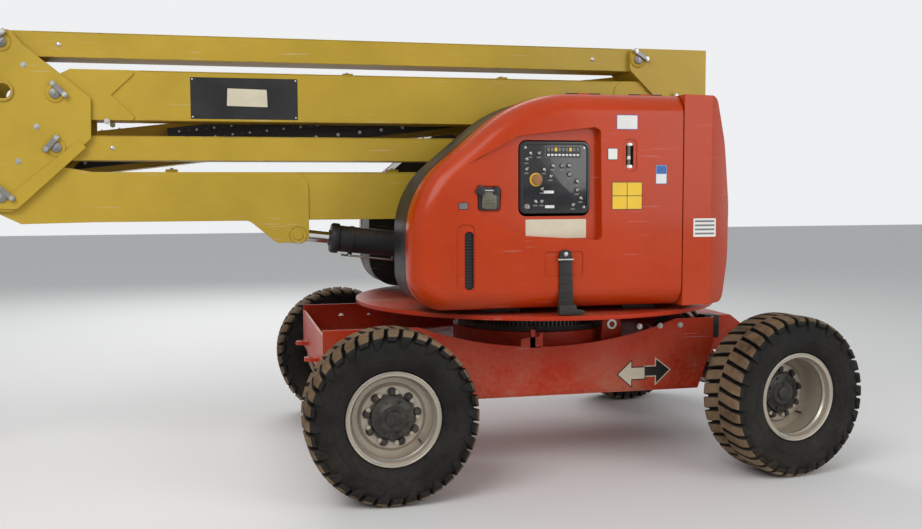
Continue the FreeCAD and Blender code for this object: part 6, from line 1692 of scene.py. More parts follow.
    def fly_section(self, pin, slope):
        bm = bmesh.new()
        tip = pin.x - 3.992
        for y in (0.0215, 0.1785):
            for level in (-0.087, 0.087):
                add_seam(bm, (tip + 0.20, y, pin.z + level), (tip + 0.33, y, pin.z + level), 0.0026, 0)
        for y, out in ((0.0215, -1.0), (0.1785, 1.0)):
            add_seam(bm, (tip + 0.198, y, pin.z - 0.082), (tip + 0.198, y, pin.z + 0.082), 0.003, 0)
        lean(bm, pin, slope)
        far_tip = Vector((-1.4549, 0.0, 1.5973))
        add_end_cap(bm, far_tip.x, far_tip.z, 0.0022, -1.0, 0.024, 1, 1, 2)
        add_end_cap(bm, far_tip.x, far_tip.z, 0.1978, 1.0, 0.024, 1, 1, 2)
        materials = [MATERIALS["steel"], MATERIALS["pin_steel"], MATERIALS["zinc"]]
        piece_from("fly_boom_tip", bm, materials, "fly_boom", 30.0)


class BOOMLIFT_OT_jib_trim(bpy.types.Operator):
    """Pin ends, pipes, seams and rotator of the jib."""

    bl_idname = "boomlift.jib_trim"
    bl_label = "Jib trim"

    def execute(self, context):
        jib = PLACE["jib_lift"]
        link = PLACE["jib_link_turn"]
        end = PLACE["platform_level"]
        bm = bmesh.new()
        for y, out in ((0.0052, -1.0), (0.1948, 1.0)):
            add_end_cap(bm, jib.x, jib.z, y, out, 0.020, 1, 0, 2)
            add_end_cap(bm, link.x, link.z, y, out, 0.015, 1, 0, 2)
            for x, z in ((jib.x + 0.040, jib.z + 0.120), (jib.x - 0.004, jib.z - 0.070)):
                add_bolt(bm, (x, y, z), (0, out, 0), 0.009, 0.008, 2)
        add_end_cap(bm, jib.x - 0.015, jib.z - 0.140, 0.1948, 1.0, 0.016, 1, 0, 2)
        plate = rounded(stretch_bar(jib.x + 0.048, jib.z + 0.178, 78.0, 0.060, 0.034), 0.003, 2)
        add_prism(bm, plate, 0.0032, 0.0055, "xz", 0.0005, 1, 3)
        materials = [MATERIALS["chassis"], MATERIALS["pin_steel"], MATERIALS["zinc"], MATERIALS["sign_black"]]
        piece_from("level_bracket_pins", bm, materials, "level_bracket", 30.0)
        self.jib_tube(jib)
        self.support(end)
        return {"FINISHED"}

    def jib_tube(self, jib):
        bm = bmesh.new()
        left, right = jib.x - 1.18, jib.x - 0.06
        for y in (0.0245, 0.0995):
            for level in (-0.0445, 0.0445):
                add_seam(bm, (left, y, jib.z + level), (right, y, jib.z + level), 0.0022, 0)
        for level in (-0.016, 0.008):
            line = [
                (jib.x - 0.37, 0.030, jib.z + level), (jib.x - 0.375, 0.014, jib.z + level),
                (jib.x - 0.41, 0.0125, jib.z + level), (jib.x - 0.88, 0.0125, jib.z + level),
                (jib.x - 0.915, 0.014, jib.z + level), (jib.x - 0.92, 0.030, jib.z + level),
            ]
            add_tube(bm, line, 0.0075, 12, 2, 5)
            for x in (jib.x - 0.37, jib.x - 0.92):
                add_rod(bm, (x, 0.026, jib.z + level), (x, 0.017, jib.z + level), 0.0115, 6, 0.15, 1)
        for x in (jib.x - 0.50, jib.x - 0.645, jib.x - 0.79):
            clamp = rectangle(x - 0.014, x + 0.014, jib.z - 0.030, jib.z + 0.022, 0.005, 3)
            add_prism(bm, clamp, 0.0020, 0.0245, "xz", 0.002, 2, 3)
            add_bolt(bm, (x, 0.0020, jib.z - 0.004), (0, -1, 0), 0.005, 0.004, 1)
        for y, out in ((0.0192, -1.0), (0.1128, 1.0)):
            place = (jib.x - 0.650, y, jib.z - 0.200)
            if out < 0:
                add_end_cap(bm, place[0], place[2], y, out, 0.016, 4, 0, 1)
        for x in (jib.x - 0.588, jib.x - 0.712):
            add_seam(bm, (x, 0.026, jib.z - 0.046), (x, 0.098, jib.z - 0.046), 0.003, 0)
        sign = rectangle(jib.x - 0.345, jib.x - 0.255, jib.z - 0.022, jib.z + 0.022, 0.003, 2)
        add_prism(bm, sign, 0.0228, 0.0245, "xz", 0.0004, 1, 5)
        lean(bm, jib, 58.0)
        materials = [
            MATERIALS["chassis"], MATERIALS["zinc"], MATERIALS["hose"], MATERIALS["plastic"], MATERIALS["pin_steel"],
            MATERIALS["cream_label"],
        ]
        piece_from("jib_fittings", bm, materials, "jib", 30.0)

    def support(self, end):
        bm = bmesh.new()
        for y, out in ((0.0032, -1.0), (0.1968, 1.0)):
            add_end_cap(bm, end.x, end.z, y, out, 0.020, 1, 0, 2)
            add_end_cap(bm, -2.1580, 0.7050, y, out, 0.014, 1, 0, 2)
        for x, z in ((-2.262, 0.510), (-2.262, 0.640)):
            for y, out in ((0.005, -1.0), (0.195, 1.0)):
                add_bolt(bm, (x, y, z), (0, out, 0), 0.009, 0.008, 2)
        radius = 0.070
        for level in (0.448, 0.560, 0.672):
            ring = [(-0.009, radius - 0.002), (-0.009, radius + 0.004), (0.009, radius + 0.004), (0.009, radius - 0.002)]
            add_lathe(bm, (-2.332, 0.100, level), UP, ring, 40, 0, closed=True)
        materials = [MATERIALS["boom"], MATERIALS["pin_steel"], MATERIALS["zinc"]]
        piece_from("platform_support_pins", bm, materials, "platform_support", 30.0)


class BOOMLIFT_OT_platform_trim(bpy.types.Operator):
    """Tread, welds, controls, gate latch and small equipment of the platform."""

    bl_idname = "boomlift.platform_trim"
    bl_label = "Platform trim"

    LEFT, RIGHT, LOW, HIGH = -3.222, -2.462, -0.815, 1.015
    FLOOR = 0.330
    TUBE = 0.019

    def execute(self, context):
        self.tread()
        self.welds()
        self.controls()
        self.gate()
        self.equipment()
        return {"FINISHED"}

    def tread(self):
        """Raised lozenges in two directions, and the floor's screws."""
        bm = bmesh.new()
        step = 0.036
        columns, rows = 14, 47
        for row in range(rows):
            for column in range(columns):
                x = self.LEFT + 0.068 + column * step
                y = self.LOW + 0.070 + row * step
                turn = 45.0 if (row + column) % 2 else -45.0
                outline = stretch_bar(x, y, turn, 0.027, 0.0065)
                lower = [bm.verts.new((a, b, self.FLOOR - 0.0003)) for a, b in outline]
                upper = [bm.verts.new((a, b, self.FLOOR + 0.0014)) for a, b in stretch_bar(x, y, turn, 0.021, 0.003)]
                bm.faces.new(upper)
                for corner in range(4):
                    following = (corner + 1) % 4
                    bm.faces.new((lower[corner], lower[following], upper[following], upper[corner]))
        for y in (-0.74, -0.30, 0.10, 0.50, 0.94):
            for x in (-3.15, -2.90, -2.665):
                add_lathe(
                    bm, (x, y, self.FLOOR - 0.0003), UP,
                    [(0, 0), (0, 0.009), (0.0012, 0.0085), (0.0026, 0.0045), (0.0030, 0)], 16, 1,
                )
        piece_from("platform_tread", bm, [MATERIALS["steel"], MATERIALS["zinc"]], "platform", 25.0)

    def posts(self):
        low, high = self.LOW + self.TUBE, self.HIGH - self.TUBE
        left, right = self.LEFT + self.TUBE, self.RIGHT - self.TUBE
        gate_from = left + 0.110
        return [
            (left, low), (right, low), (left, high), (right, high), (left, 0.100), (right, 0.100),
            (gate_from, low), (gate_from + 0.480, low),
        ]

    def welds(self):
        bm = bmesh.new()
        for x, y in self.posts():
            add_weld(bm, (x, y, self.FLOOR - 0.003), UP, self.TUBE, 0.004, 0, 28)
            cap = [(-0.004, 0.0), (-0.004, 0.0196), (-0.001, 0.0196), (0.0, 0.0170), (0.0, 0.0)]
            add_lathe(bm, (x, y, 1.4302), UP, cap, 28, 1)
        thin = self.TUBE - 0.002
        left, right = self.LEFT + self.TUBE, self.RIGHT - self.TUBE
        low, high = self.LOW + self.TUBE, self.HIGH - self.TUBE
        for z in (1.430 - self.TUBE, 0.880):
            for x in (left, right):
                for y, way in ((low, 1.0), (0.100, -1.0), (0.100, 1.0), (high, -1.0)):
                    add_weld(bm, (x, y + way * self.TUBE, z), (0, way, 0), thin, 0.0035, 0, 24)
            for x, y, way in (
                (left, high, 1.0), (right, high, -1.0), (left, low, 1.0), (left + 0.110, low, -1.0),
                (left + 0.590, low, 1.0), (right, low, -1.0),
            ):
                add_weld(bm, (x + way * self.TUBE, y, z), (way, 0, 0), thin, 0.0035, 0, 24)
        for x in (-3.10, -2.90, -2.70):
            for y, out in ((self.HIGH - self.TUBE + 0.0022, 1.0),):
                add_bolt(bm, (x, y, 0.405), (0, out, 0), 0.006, 0.006, 2)
        for y in (-0.62, -0.30, 0.50, 0.82):
            add_bolt(bm, (left - 0.0022, y, 0.405), (-1, 0, 0), 0.006, 0.006, 2)
            add_bolt(bm, (right + 0.0022, y, 0.405), (1, 0, 0), 0.006, 0.006, 2)
        materials = [MATERIALS["chassis"], MATERIALS["rubber_part"], MATERIALS["zinc"]]
        piece_from("platform_welds", bm, materials, "platform", 35.0)

    def controls(self):
        bm = bmesh.new()
        top = Vector((-2.631, 0.0, 1.400))
        slope = Vector((0.120, 0.0, 0.050)).normalized()
        out = Vector((-slope.z, 0.0, slope.x))

        def spot(along, y):
            place = top + slope * along
            return Vector((place.x, y, place.z))

        panel = []
        for along, y in ((0.006, -0.118), (0.120, -0.118), (0.120, 0.318), (0.006, 0.318)):
            panel.append(spot(along, y))
        lower = [bm.verts.new(place - out * 0.0005) for place in panel]
        upper = [bm.verts.new(place + out * 0.0022) for place in panel]
        bm.faces.new(upper).material_index = 0
        bm.faces.new(list(reversed(lower))).material_index = 0
        for corner in range(4):
            following = (corner + 1) % 4
            quad = (lower[corner], lower[following], upper[following], upper[corner])
            bm.faces.new(quad).material_index = 0
        for y in (-0.040, 0.240):
            place = Vector((-2.571, y, 1.4210))
            boot = [
                (0.0, 0.0), (0.0, 0.0400), (0.0045, 0.0400), (0.0060, 0.0330), (0.0110, 0.0345), (0.0150, 0.0275),
                (0.0200, 0.0290), (0.0240, 0.0215), (0.0290, 0.0225), (0.0340, 0.0140), (0.0400, 0.0110),
                (0.0400, 0.0085), (0.0380, 0.0),
            ]
            add_lathe(bm, place, UP, boot, 32, 1)
            grip = [
                (0.0, 0.0085), (0.004, 0.0180), (0.012, 0.0215), (0.026, 0.0205), (0.034, 0.0165), (0.0375, 0.0090),
                (0.0385, 0.0),
            ]
            add_lathe(bm, (-2.571, y, 1.4660), UP, grip, 32, 1)
        stop = spot(0.050, 0.100)
        add_lathe(bm, stop, out, [(0, 0), (0, 0.027), (0.003, 0.027), (0.004, 0.025), (0.004, 0)], 36, 2)
        knob = [
            (0.003, 0.0), (0.003, 0.0115), (0.013, 0.0115), (0.015, 0.0195), (0.018, 0.0210), (0.023, 0.0195),
            (0.0255, 0.0130), (0.026, 0.0),
        ]
        add_lathe(bm, stop, out, knob, 36, 3)
        for row, along in enumerate((0.024, 0.096)):
            for y in (-0.095, 0.030, 0.062, 0.142, 0.174, 0.295):
                if row and y in (0.062, 0.142):
                    continue
                base = spot(along, y)
                add_lathe(bm, base, out, [(0, 0), (0, 0.0095), (0.0035, 0.0095), (0.0048, 0.0080), (0.0048, 0)], 20, 1)
                add_rod(bm, base + out * 0.003, base + out * 0.020 + slope * 0.004 * (1 if row else -1), 0.0026, 10, 0.3, 4)
        for number in range(7):
            base = spot(0.108, -0.020 + number * 0.013)
            lens = [(0.002, 0), (0.002, 0.0042), (0.004, 0.0036), (0.0050, 0.0)]
            add_lathe(bm, base, out, lens, 14, 5 if number % 3 else 6)
        for low, high, z_low, z_high, material in (
            (-0.100, 0.050, 1.285, 1.360, 6), (0.085, 0.300, 1.262, 1.375, 7), (-0.100, 0.050, 1.245, 1.272, 8),
        ):
            outline = rectangle(low, high, z_low, z_high, 0.004, 3)
            add_prism(bm, outline, -2.6322, -2.6305, "yz", 0.0, 1, material)
        guard = [
            (-2.500, -0.150, 1.412), (-2.560, -0.152, 1.425), (-2.645, -0.152, 1.425), (-2.668, -0.140, 1.425),
            (-2.672, 0.100, 1.425), (-2.668, 0.340, 1.425), (-2.645, 0.352, 1.425), (-2.560, 0.352, 1.425),
            (-2.500, 0.350, 1.412),
        ]
        add_tube(bm, guard, 0.0085, 12, 9, 6)
        materials = [
            MATERIALS["gloss_black"], MATERIALS["rubber_part"], MATERIALS["yellow"], MATERIALS["red"],
            MATERIALS["zinc"], MATERIALS["lamp"], MATERIALS["white"], MATERIALS["cream_label"],
            MATERIALS["yellow"], MATERIALS["black"],
        ]
        piece_from("platform_controls", bm, materials, "platform", 35.0)

    def gate(self):
        bm = bmesh.new()
        y = self.LOW + self.TUBE
        start = self.LEFT + self.TUBE + 0.110 + 0.056
        low, top = 0.520, 1.380
        for z in (low + 0.020, 0.880, top - 0.020):
            for x, way in ((start + 0.016, 1.0), (self.LEFT + 0.019 + 0.590 - 0.050 - 0.016, -1.0)):
                add_weld(bm, (x, y, z), (way, 0, 0), 0.014, 0.003, 0, 20)
        case = rectangle(start - 0.030, start + 0.030, 1.150, 1.250, 0.008, 3)
        near, far = y + 0.016, y + 0.034
        add_prism(bm, case, near, far, "xz", 0.003, 2, 1)
        lever = rounded([(start - 0.012, 1.215), (start + 0.012, 1.215), (start + 0.018, 1.300), (start - 0.004, 1.304)], 0.006, 3)
        add_prism(bm, lever, far - 0.004, far + 0.006, "xz", 0.002, 2, 2)
        for z in (1.166, 1.234):
            add_bolt(bm, (start, far, z), (0, 1, 0), 0.0055, 0.005, 3)
        plate = rectangle(start + 0.060, start + 0.300, 0.820, 0.940, 0.006, 3)
        add_prism(bm, plate, y - 0.0165, y - 0.0130, "xz", 0.0008, 1, 4)
        for x in (start + 0.080, start + 0.280):
            add_bolt(bm, (x, y - 0.0165, 0.880), (0, -1, 0), 0.0055, 0.005, 3)
            clip = [(-0.008, 0.0138), (-0.008, 0.0160), (0.008, 0.0160), (0.008, 0.0138)]
            add_lathe(bm, (x, y, 0.880), (1, 0, 0), clip, 24, 5, closed=True)
        for z in (0.540, 1.360):
            add_lathe(
                bm, (start + 0.180, y, z), (1, 0, 0),
                [(-0.012, 0.0135), (-0.012, 0.0160), (0.012, 0.0160), (0.012, 0.0135)], 24, 5, closed=True,
            )
        materials = [
            MATERIALS["chassis"], MATERIALS["black"], MATERIALS["rubber_part"], MATERIALS["zinc"],
            MATERIALS["white"], MATERIALS["plastic"],
        ]
        piece_from("platform_gate_latch", bm, materials, "gate", 35.0)

    def equipment(self):
        """Foot switch with its cable, papers box, sockets and anchor rings."""
        bm = bmesh.new()
        shoe = rounded([(-2.860, 0.330), (-2.700, 0.330), (-2.700, 0.420), (-2.735, 0.436), (-2.860, 0.395)], 0.008, 3)
        for y in (0.030, 0.166):
            add_prism(bm, shoe, y, y + 0.004, "xz", 0.001, 1, 0)
        roof = [(-2.700, 0.418), (-2.735, 0.434), (-2.858, 0.394), (-2.858, 0.398), (-2.734, 0.4385), (-2.698, 0.422)]
        add_prism(bm, roof, 0.031, 0.169, "xz", 0.0, 1, 0)
        add_prism(bm, rectangle(-2.705, -2.700, 0.330, 0.420), 0.031, 0.169, "xz", 0.0008, 1, 0)
        add_prism(bm, rectangle(-2.860, -2.700, 0.3300, 0.3340), 0.031, 0.169, "xz", 0.0008, 1, 0)
        pedal = rounded([(-2.850, 0.340), (-2.722, 0.352), (-2.722, 0.362), (-2.850, 0.350)], 0.003, 2)
        add_prism(bm, pedal, 0.045, 0.155, "xz", 0.002, 2, 1)
        for number in range(6):
            x = -2.842 + number * 0.020
            rib = rectangle(x - 0.003, x + 0.003, 0.3495 + number * 0.0019, 0.3545 + number * 0.0019)
            add_prism(bm, rib, 0.050, 0.150, "xz", 0.0008, 1, 1)
        cable = [
            (-2.702, 0.100, 0.365), (-2.660, 0.102, 0.350), (-2.560, 0.130, 0.345), (-2.512, 0.160, 0.400),
            (-2.508, 0.165, 0.700), (-2.512, 0.160, 1.100), (-2.530, 0.150, 1.234),
        ]
        add_tube(bm, cable, 0.0065, 10, 2, 8)
        box = rectangle(0.480, 0.720, 0.960, 1.220, 0.010, 4)
        add_prism(bm, box, -2.560, -2.502, "yz", 0.004, 2, 3)
        lid = rectangle(0.474, 0.726, 1.200, 1.236, 0.008, 4)
        add_prism(bm, lid, -2.566, -2.500, "yz", 0.004, 2, 3)
        for y in (0.530, 0.670):
            add_prism(bm, rectangle(y - 0.012, y + 0.012, 1.170, 1.215, 0.004, 3), -2.571, -2.564, "yz", 0.0015, 1, 1)
            add_tube(
                bm, [(-2.530, y, 1.405), (-2.503, y, 1.385), (-2.504, y, 1.300), (-2.510, y, 1.225)], 0.004, 8, 5, 4
            )
        socket = rectangle(-0.560, -0.420, 1.020, 1.120, 0.008, 3)
        add_prism(bm, socket, -2.545, -2.501, "yz", 0.004, 2, 4)
        for y in (-0.525, -0.455):
            cover = [(0, 0), (0, 0.024), (0.006, 0.024), (0.009, 0.020), (0.010, 0)]
            add_lathe(bm, (-2.545, y, 1.070), (-1, 0, 0), cover, 28, 4)
        for y in (-0.525, -0.455):
            add_tube(
                bm, [(-2.520, y, 1.118), (-2.512, y, 1.200), (-2.510, y, 1.330), (-2.515, y, 1.402)], 0.004, 8, 5, 4
            )
        for x in (-3.05, -2.85):
            for y, way in ((self.HIGH - 0.038, -1.0),):
                ring = []
                for number in range(9):
                    angle = math.pi * (number / 8.0)
                    ring.append((x + 0.030 * math.cos(angle), y + way * 0.034 * math.sin(angle), 0.865 + 0.0))
                add_tube(bm, ring, 0.006, 10, 6, 3)
        materials = [
            MATERIALS["yellow"], MATERIALS["rubber_part"], MATERIALS["hose"], MATERIALS["plastic"],
            MATERIALS["grey_plastic"], MATERIALS["black"], MATERIALS["zinc"],
        ]
        piece_from("platform_equipment", bm, materials, "platform", 35.0)


# Turntable, counterweight, axles and what stands under the covers

class BOOMLIFT_OT_turntable_trim(bpy.types.Operator):
    """Swing drive, valve block, bolts, hoses and counterweight fixings."""

    bl_idname = "boomlift.turntable_trim"
    bl_label = "Turntable trim"

    def execute(self, context):
        self.swing_drive()
        self.valves()
        self.fixings()
        self.tail()
        return {"FINISHED"}

    def swing_drive(self):
        bm = bmesh.new()
        centre = (SWING_X - 0.330, 0.290, 0.860)
        gearbox = [
            (0.0, 0.0), (0.0, 0.118), (0.016, 0.118), (0.020, 0.096), (0.080, 0.092), (0.086, 0.099), (0.104, 0.099),
            (0.110, 0.088), (0.190, 0.084), (0.196, 0.074), (0.214, 0.074), (0.220, 0.056), (0.330, 0.056),
            (0.338, 0.050), (0.338, 0.0),
        ]
        add_lathe(bm, centre, UP, gearbox, 44, 0)
        for number in range(10):
            angle = math.radians(number * 36.0)
            place = (centre[0] + 0.107 * math.cos(angle), centre[1] + 0.107 * math.sin(angle), 0.876)
            add_bolt(bm, place, UP, 0.007, 0.007, 1)
        for number in range(8):
            angle = math.radians(number * 45.0 + 20.0)
            place = (centre[0] + 0.0865 * math.cos(angle), centre[1] + 0.0865 * math.sin(angle), 1.0560)
            add_bolt(bm, place, UP, 0.0050, 0.006, 1)
        for side in (-0.030, 0.030):
            port = (centre[0] + side, centre[1] - 0.040, 1.150)
            add_rod(bm, port, (port[0], port[1] - 0.036, port[2]), 0.0155, 6, 0.15, 1)
            add_tube(
                bm, [
                    (port[0], port[1] - 0.030, port[2]), (port[0], port[1] - 0.080, port[2] + 0.010),
                    (port[0] + 0.030, 0.130, 1.120), (port[0] + 0.120 + side, 0.110, 1.000),
                    (SWING_X - 0.090 + side, 0.150, 0.950),
                ], 0.0105, 12, 2, 6,
            )
        materials = [MATERIALS["engine"], MATERIALS["zinc"], MATERIALS["hose"]]
        piece_from("swing_drive", bm, materials, "turntable", 35.0)

    def valves(self):
        bm = bmesh.new()
        left, right, near, far, low, high = 1.640, 1.900, 0.110, 0.230, 0.862, 0.985
        add_block(bm, (left, near, low), (right, far, high), 0.004, 2, 0)
        for number in range(5):
            x = left + 0.030 + number * 0.050
            coil = [(0.0, 0.0), (0.0, 0.0165), (0.006, 0.0165), (0.008, 0.0190), (0.040, 0.0190), (0.043, 0.0165), (0.043, 0.0)]
            add_lathe(bm, (x, near + 0.034, high - 0.001), UP, coil, 24, 1)
            add_bolt(bm, (x, near + 0.034, high + 0.040), UP, 0.0085, 0.008, 2, washer=False)
            add_block(bm, (x - 0.010, near + 0.052, high + 0.010), (x + 0.010, near + 0.068, high + 0.034), 0.002, 1, 1)
            add_bolt(bm, (x, near + 0.095, high - 0.0005), UP, 0.0100, 0.010, 2, washer=False)
        for number in range(4):
            x = left + 0.040 + number * 0.058
            add_rod(bm, (x, far - 0.001, 0.920), (x, far + 0.024, 0.920), 0.0125, 6, 0.15, 2)
            add_tube(
                bm, [
                    (x, far + 0.018, 0.920), (x + 0.004, far + 0.060, 0.922), (x + 0.060, 0.335, 0.915 + number * 0.012),
                    (2.040 + number * 0.024, 0.345, 0.920 + number * 0.010), (2.140, 0.280 + number * 0.024, 0.900),
                    (2.170, 0.280 + number * 0.024, 0.866),
                ], 0.0095, 12, 3, 6,
            )
        for x in (left + 0.010, right - 0.010):
            add_block(bm, (x - 0.016, near - 0.024, 0.8595), (x + 0.016, near + 0.002, 0.870), 0.002, 1, 0)
            add_bolt(bm, (x, near - 0.013, 0.870), UP, 0.006, 0.006, 2)
        battery = ((1.180, 0.080, 0.8620), (1.300, 0.340, 1.060))
        add_block(bm, *battery, 0.006, 2, 1)
        add_block(bm, (1.176, 0.076, 1.040), (1.304, 0.344, 1.066), 0.005, 2, 1)
        for y in (0.120, 0.300):
            add_rod(bm, (1.240, y, 1.064), (1.240, y, 1.086), 0.0085, 16, 0.15, 2)
        materials = [MATERIALS["engine"], MATERIALS["plastic"], MATERIALS["zinc"], MATERIALS["hose"]]
        piece_from("turntable_valves", bm, materials, "turntable", 35.0)

    def fixings(self):
        bm = bmesh.new()
        for number in range(28):
            angle = math.radians(number * 360.0 / 28.0)
            x, y = SWING_X + 0.405 * math.cos(angle), 0.405 * math.sin(angle)
            if -0.375 < y < -0.064:
                continue
            add_bolt(bm, (x, y, 0.860), UP, 0.0110, 0.012, 1)
        for y, out in ((-0.362, -1.0), (-0.330, 1.0), (-0.110, -1.0), (-0.078, 1.0)):
            add_seam(bm, (1.62, y + out * 0.001, 0.861), (2.28, y + out * 0.001, 0.861), 0.0045, 0)
        for y, out in ((-0.376, -1.0), (-0.064, 1.0)):
            add_weld(bm, (1.709, y - out * 0.014, 1.090), (0, out, 0), 0.040, 0.005, 0)
            add_end_cap(bm, 1.709, 1.090, y - out * 0.0005, out, 0.022, 2, 2, 1)
        for x in (1.66, 1.90, 2.18):
            add_bolt(bm, (x, -0.362, 0.905), (0, -1, 0), 0.011, 0.010, 1)
            add_bolt(bm, (x, -0.078, 0.905), (0, 1, 0), 0.011, 0.010, 1)
        lip = []
        for reach, level in ((1.0385, 0.839), (1.0405, 0.841), (1.0405, 0.857), (1.0385, 0.859)):
            lip.append((level, reach))
        add_lathe(bm, (SWING_X, 0.0, 0.0), UP, lip + [(0.859, 1.030), (0.839, 1.030)], 128, 0, closed=True)
        materials = [MATERIALS["chassis"], MATERIALS["zinc"], MATERIALS["pin_steel"]]
        piece_from("turntable_fixings", bm, materials, "turntable", 30.0)

    def tail(self):
        bm = bmesh.new()
        for y in (-0.50, 0.50):
            add_lathe(
                bm, (2.5505, y, 1.400), (1, 0, 0),
                [(-0.010, 0), (-0.010, 0.040), (0.0005, 0.040), (0.0005, 0.032), (-0.004, 0.028), (-0.004, 0)], 36, 1,
            )
        for z in (1.010, 1.840):
            add_lathe(
                bm, (2.262, 0.9798, z), (0, 1, 0),
                [(0, 0), (0, 0.011), (0.0025, 0.010), (0.0045, 0.006), (0.0045, 0)], 20, 0,
            )
        materials = [MATERIALS["zinc"], MATERIALS["hood"]]
        piece_from("counterweight_fixings", bm, materials, "turntable", 30.0)


class BOOMLIFT_OT_axle_trim(bpy.types.Operator):
    """Flange bolts, brake lines, kingpin caps and the steering ram's fittings."""

    bl_idname = "boomlift.axle_trim"
    bl_label = "Axle trim"

    def execute(self, context):
        level = PLACE["wheel_fixed_near"].z
        fixed_x = PLACE["wheel_fixed_near"].x
        bm = bmesh.new()
        for way in (-1.0, 1.0):
            for number in range(12):
                angle = math.radians(number * 30.0)
                place = (fixed_x + 0.079 * math.cos(angle), way * 0.1500, level + 0.079 * math.sin(angle))
                add_bolt(bm, place, (0, way, 0), 0.0070, 0.008, 1)
            ring = [(-0.010, 0.0880), (-0.010, 0.0935), (0.010, 0.0935), (0.010, 0.0880)]
            add_lathe(bm, (fixed_x, way * 0.140, level), (0, way, 0), ring, 48, 0, closed=True)
            for side in (-0.070, 0.070):
                for offset in (-0.025, 0.025):
                    base = (fixed_x + side, way * 0.526 + offset, level + 0.004)
                    add_rod(bm, base, (base[0], base[1], level + 0.080), 0.0075, 12, 0.2, 1)
            pipe = [
                (fixed_x + 0.060, way * 0.10, level + 0.072), (fixed_x + 0.066, way * 0.20, level + 0.060),
                (fixed_x + 0.064, way * 0.40, level + 0.030), (fixed_x + 0.064, way * 0.70, level + 0.030),
            ]
            add_tube(bm, pipe, 0.005, 10, 1, 6)
        plug = [(0, 0), (0, 0.016), (0.008, 0.016), (0.010, 0.012), (0.010, 0)]
        add_lathe(bm, (fixed_x - 0.099, 0.0, level + 0.02), (-1, 0, 0), plug, 8, 1)
        add_lathe(bm, (fixed_x, 0.0, level + 0.099), UP, plug, 8, 1)
        steer = PLACE["steer_near"]
        for way in (-1.0, 1.0):
            y = way * abs(steer.y)
            for side in (-1.0, 1.0):
                cap = [(0.0, 0.0), (0.0, 0.030), (0.004, 0.030), (0.006, 0.027), (0.006, 0.0)]
                add_lathe(bm, (steer.x, y, level + side * 0.1095), (0, 0, side), cap, 30, 0)
                add_rod(
                    bm, (steer.x, y, level + side * 0.115), (steer.x, y, level + side * 0.124), 0.0042, 8, 0.3, 1
                )
            ram_x = steer.x - 0.160
            gland = [(0.0, 0.0300), (0.0, 0.0345), (0.028, 0.0345), (0.034, 0.0300), (0.036, 0.0155), (0.020, 0.0155)]
            add_lathe(bm, (ram_x, way * 0.300, level), (0, way, 0), gland, 32, 0, closed=True)
            ball = []
            for number in range(9):
                angle = math.pi * number / 8.0
                ball.append((-0.024 * math.cos(angle), 0.024 * math.sin(angle)))
            add_lathe(bm, (ram_x, way * 0.562, level), (0, way, 0), ball, 24, 1)
            add_rod(bm, (ram_x, way * 0.470, level), (ram_x, way * 0.545, level), 0.0205, 6, 0.12, 1)
            port = (ram_x, way * 0.255, level + 0.028)
            add_rod(bm, port, (port[0], port[1], port[2] + 0.022), 0.012, 6, 0.15, 1)
            hose = [
                (port[0], port[1], port[2] + 0.016), (port[0], port[1] - way * 0.010, port[2] + 0.070),
                (port[0] - 0.020, way * 0.170, port[2] + 0.130), (port[0] - 0.060, way * 0.120, port[2] + 0.170),
            ]
            add_tube(bm, hose, 0.0085, 12, 2, 6)
        materials = [MATERIALS["axle"], MATERIALS["zinc"], MATERIALS["hose"]]
        piece_from("axle_fittings", bm, materials, "chassis", 35.0)
        return {"FINISHED"}


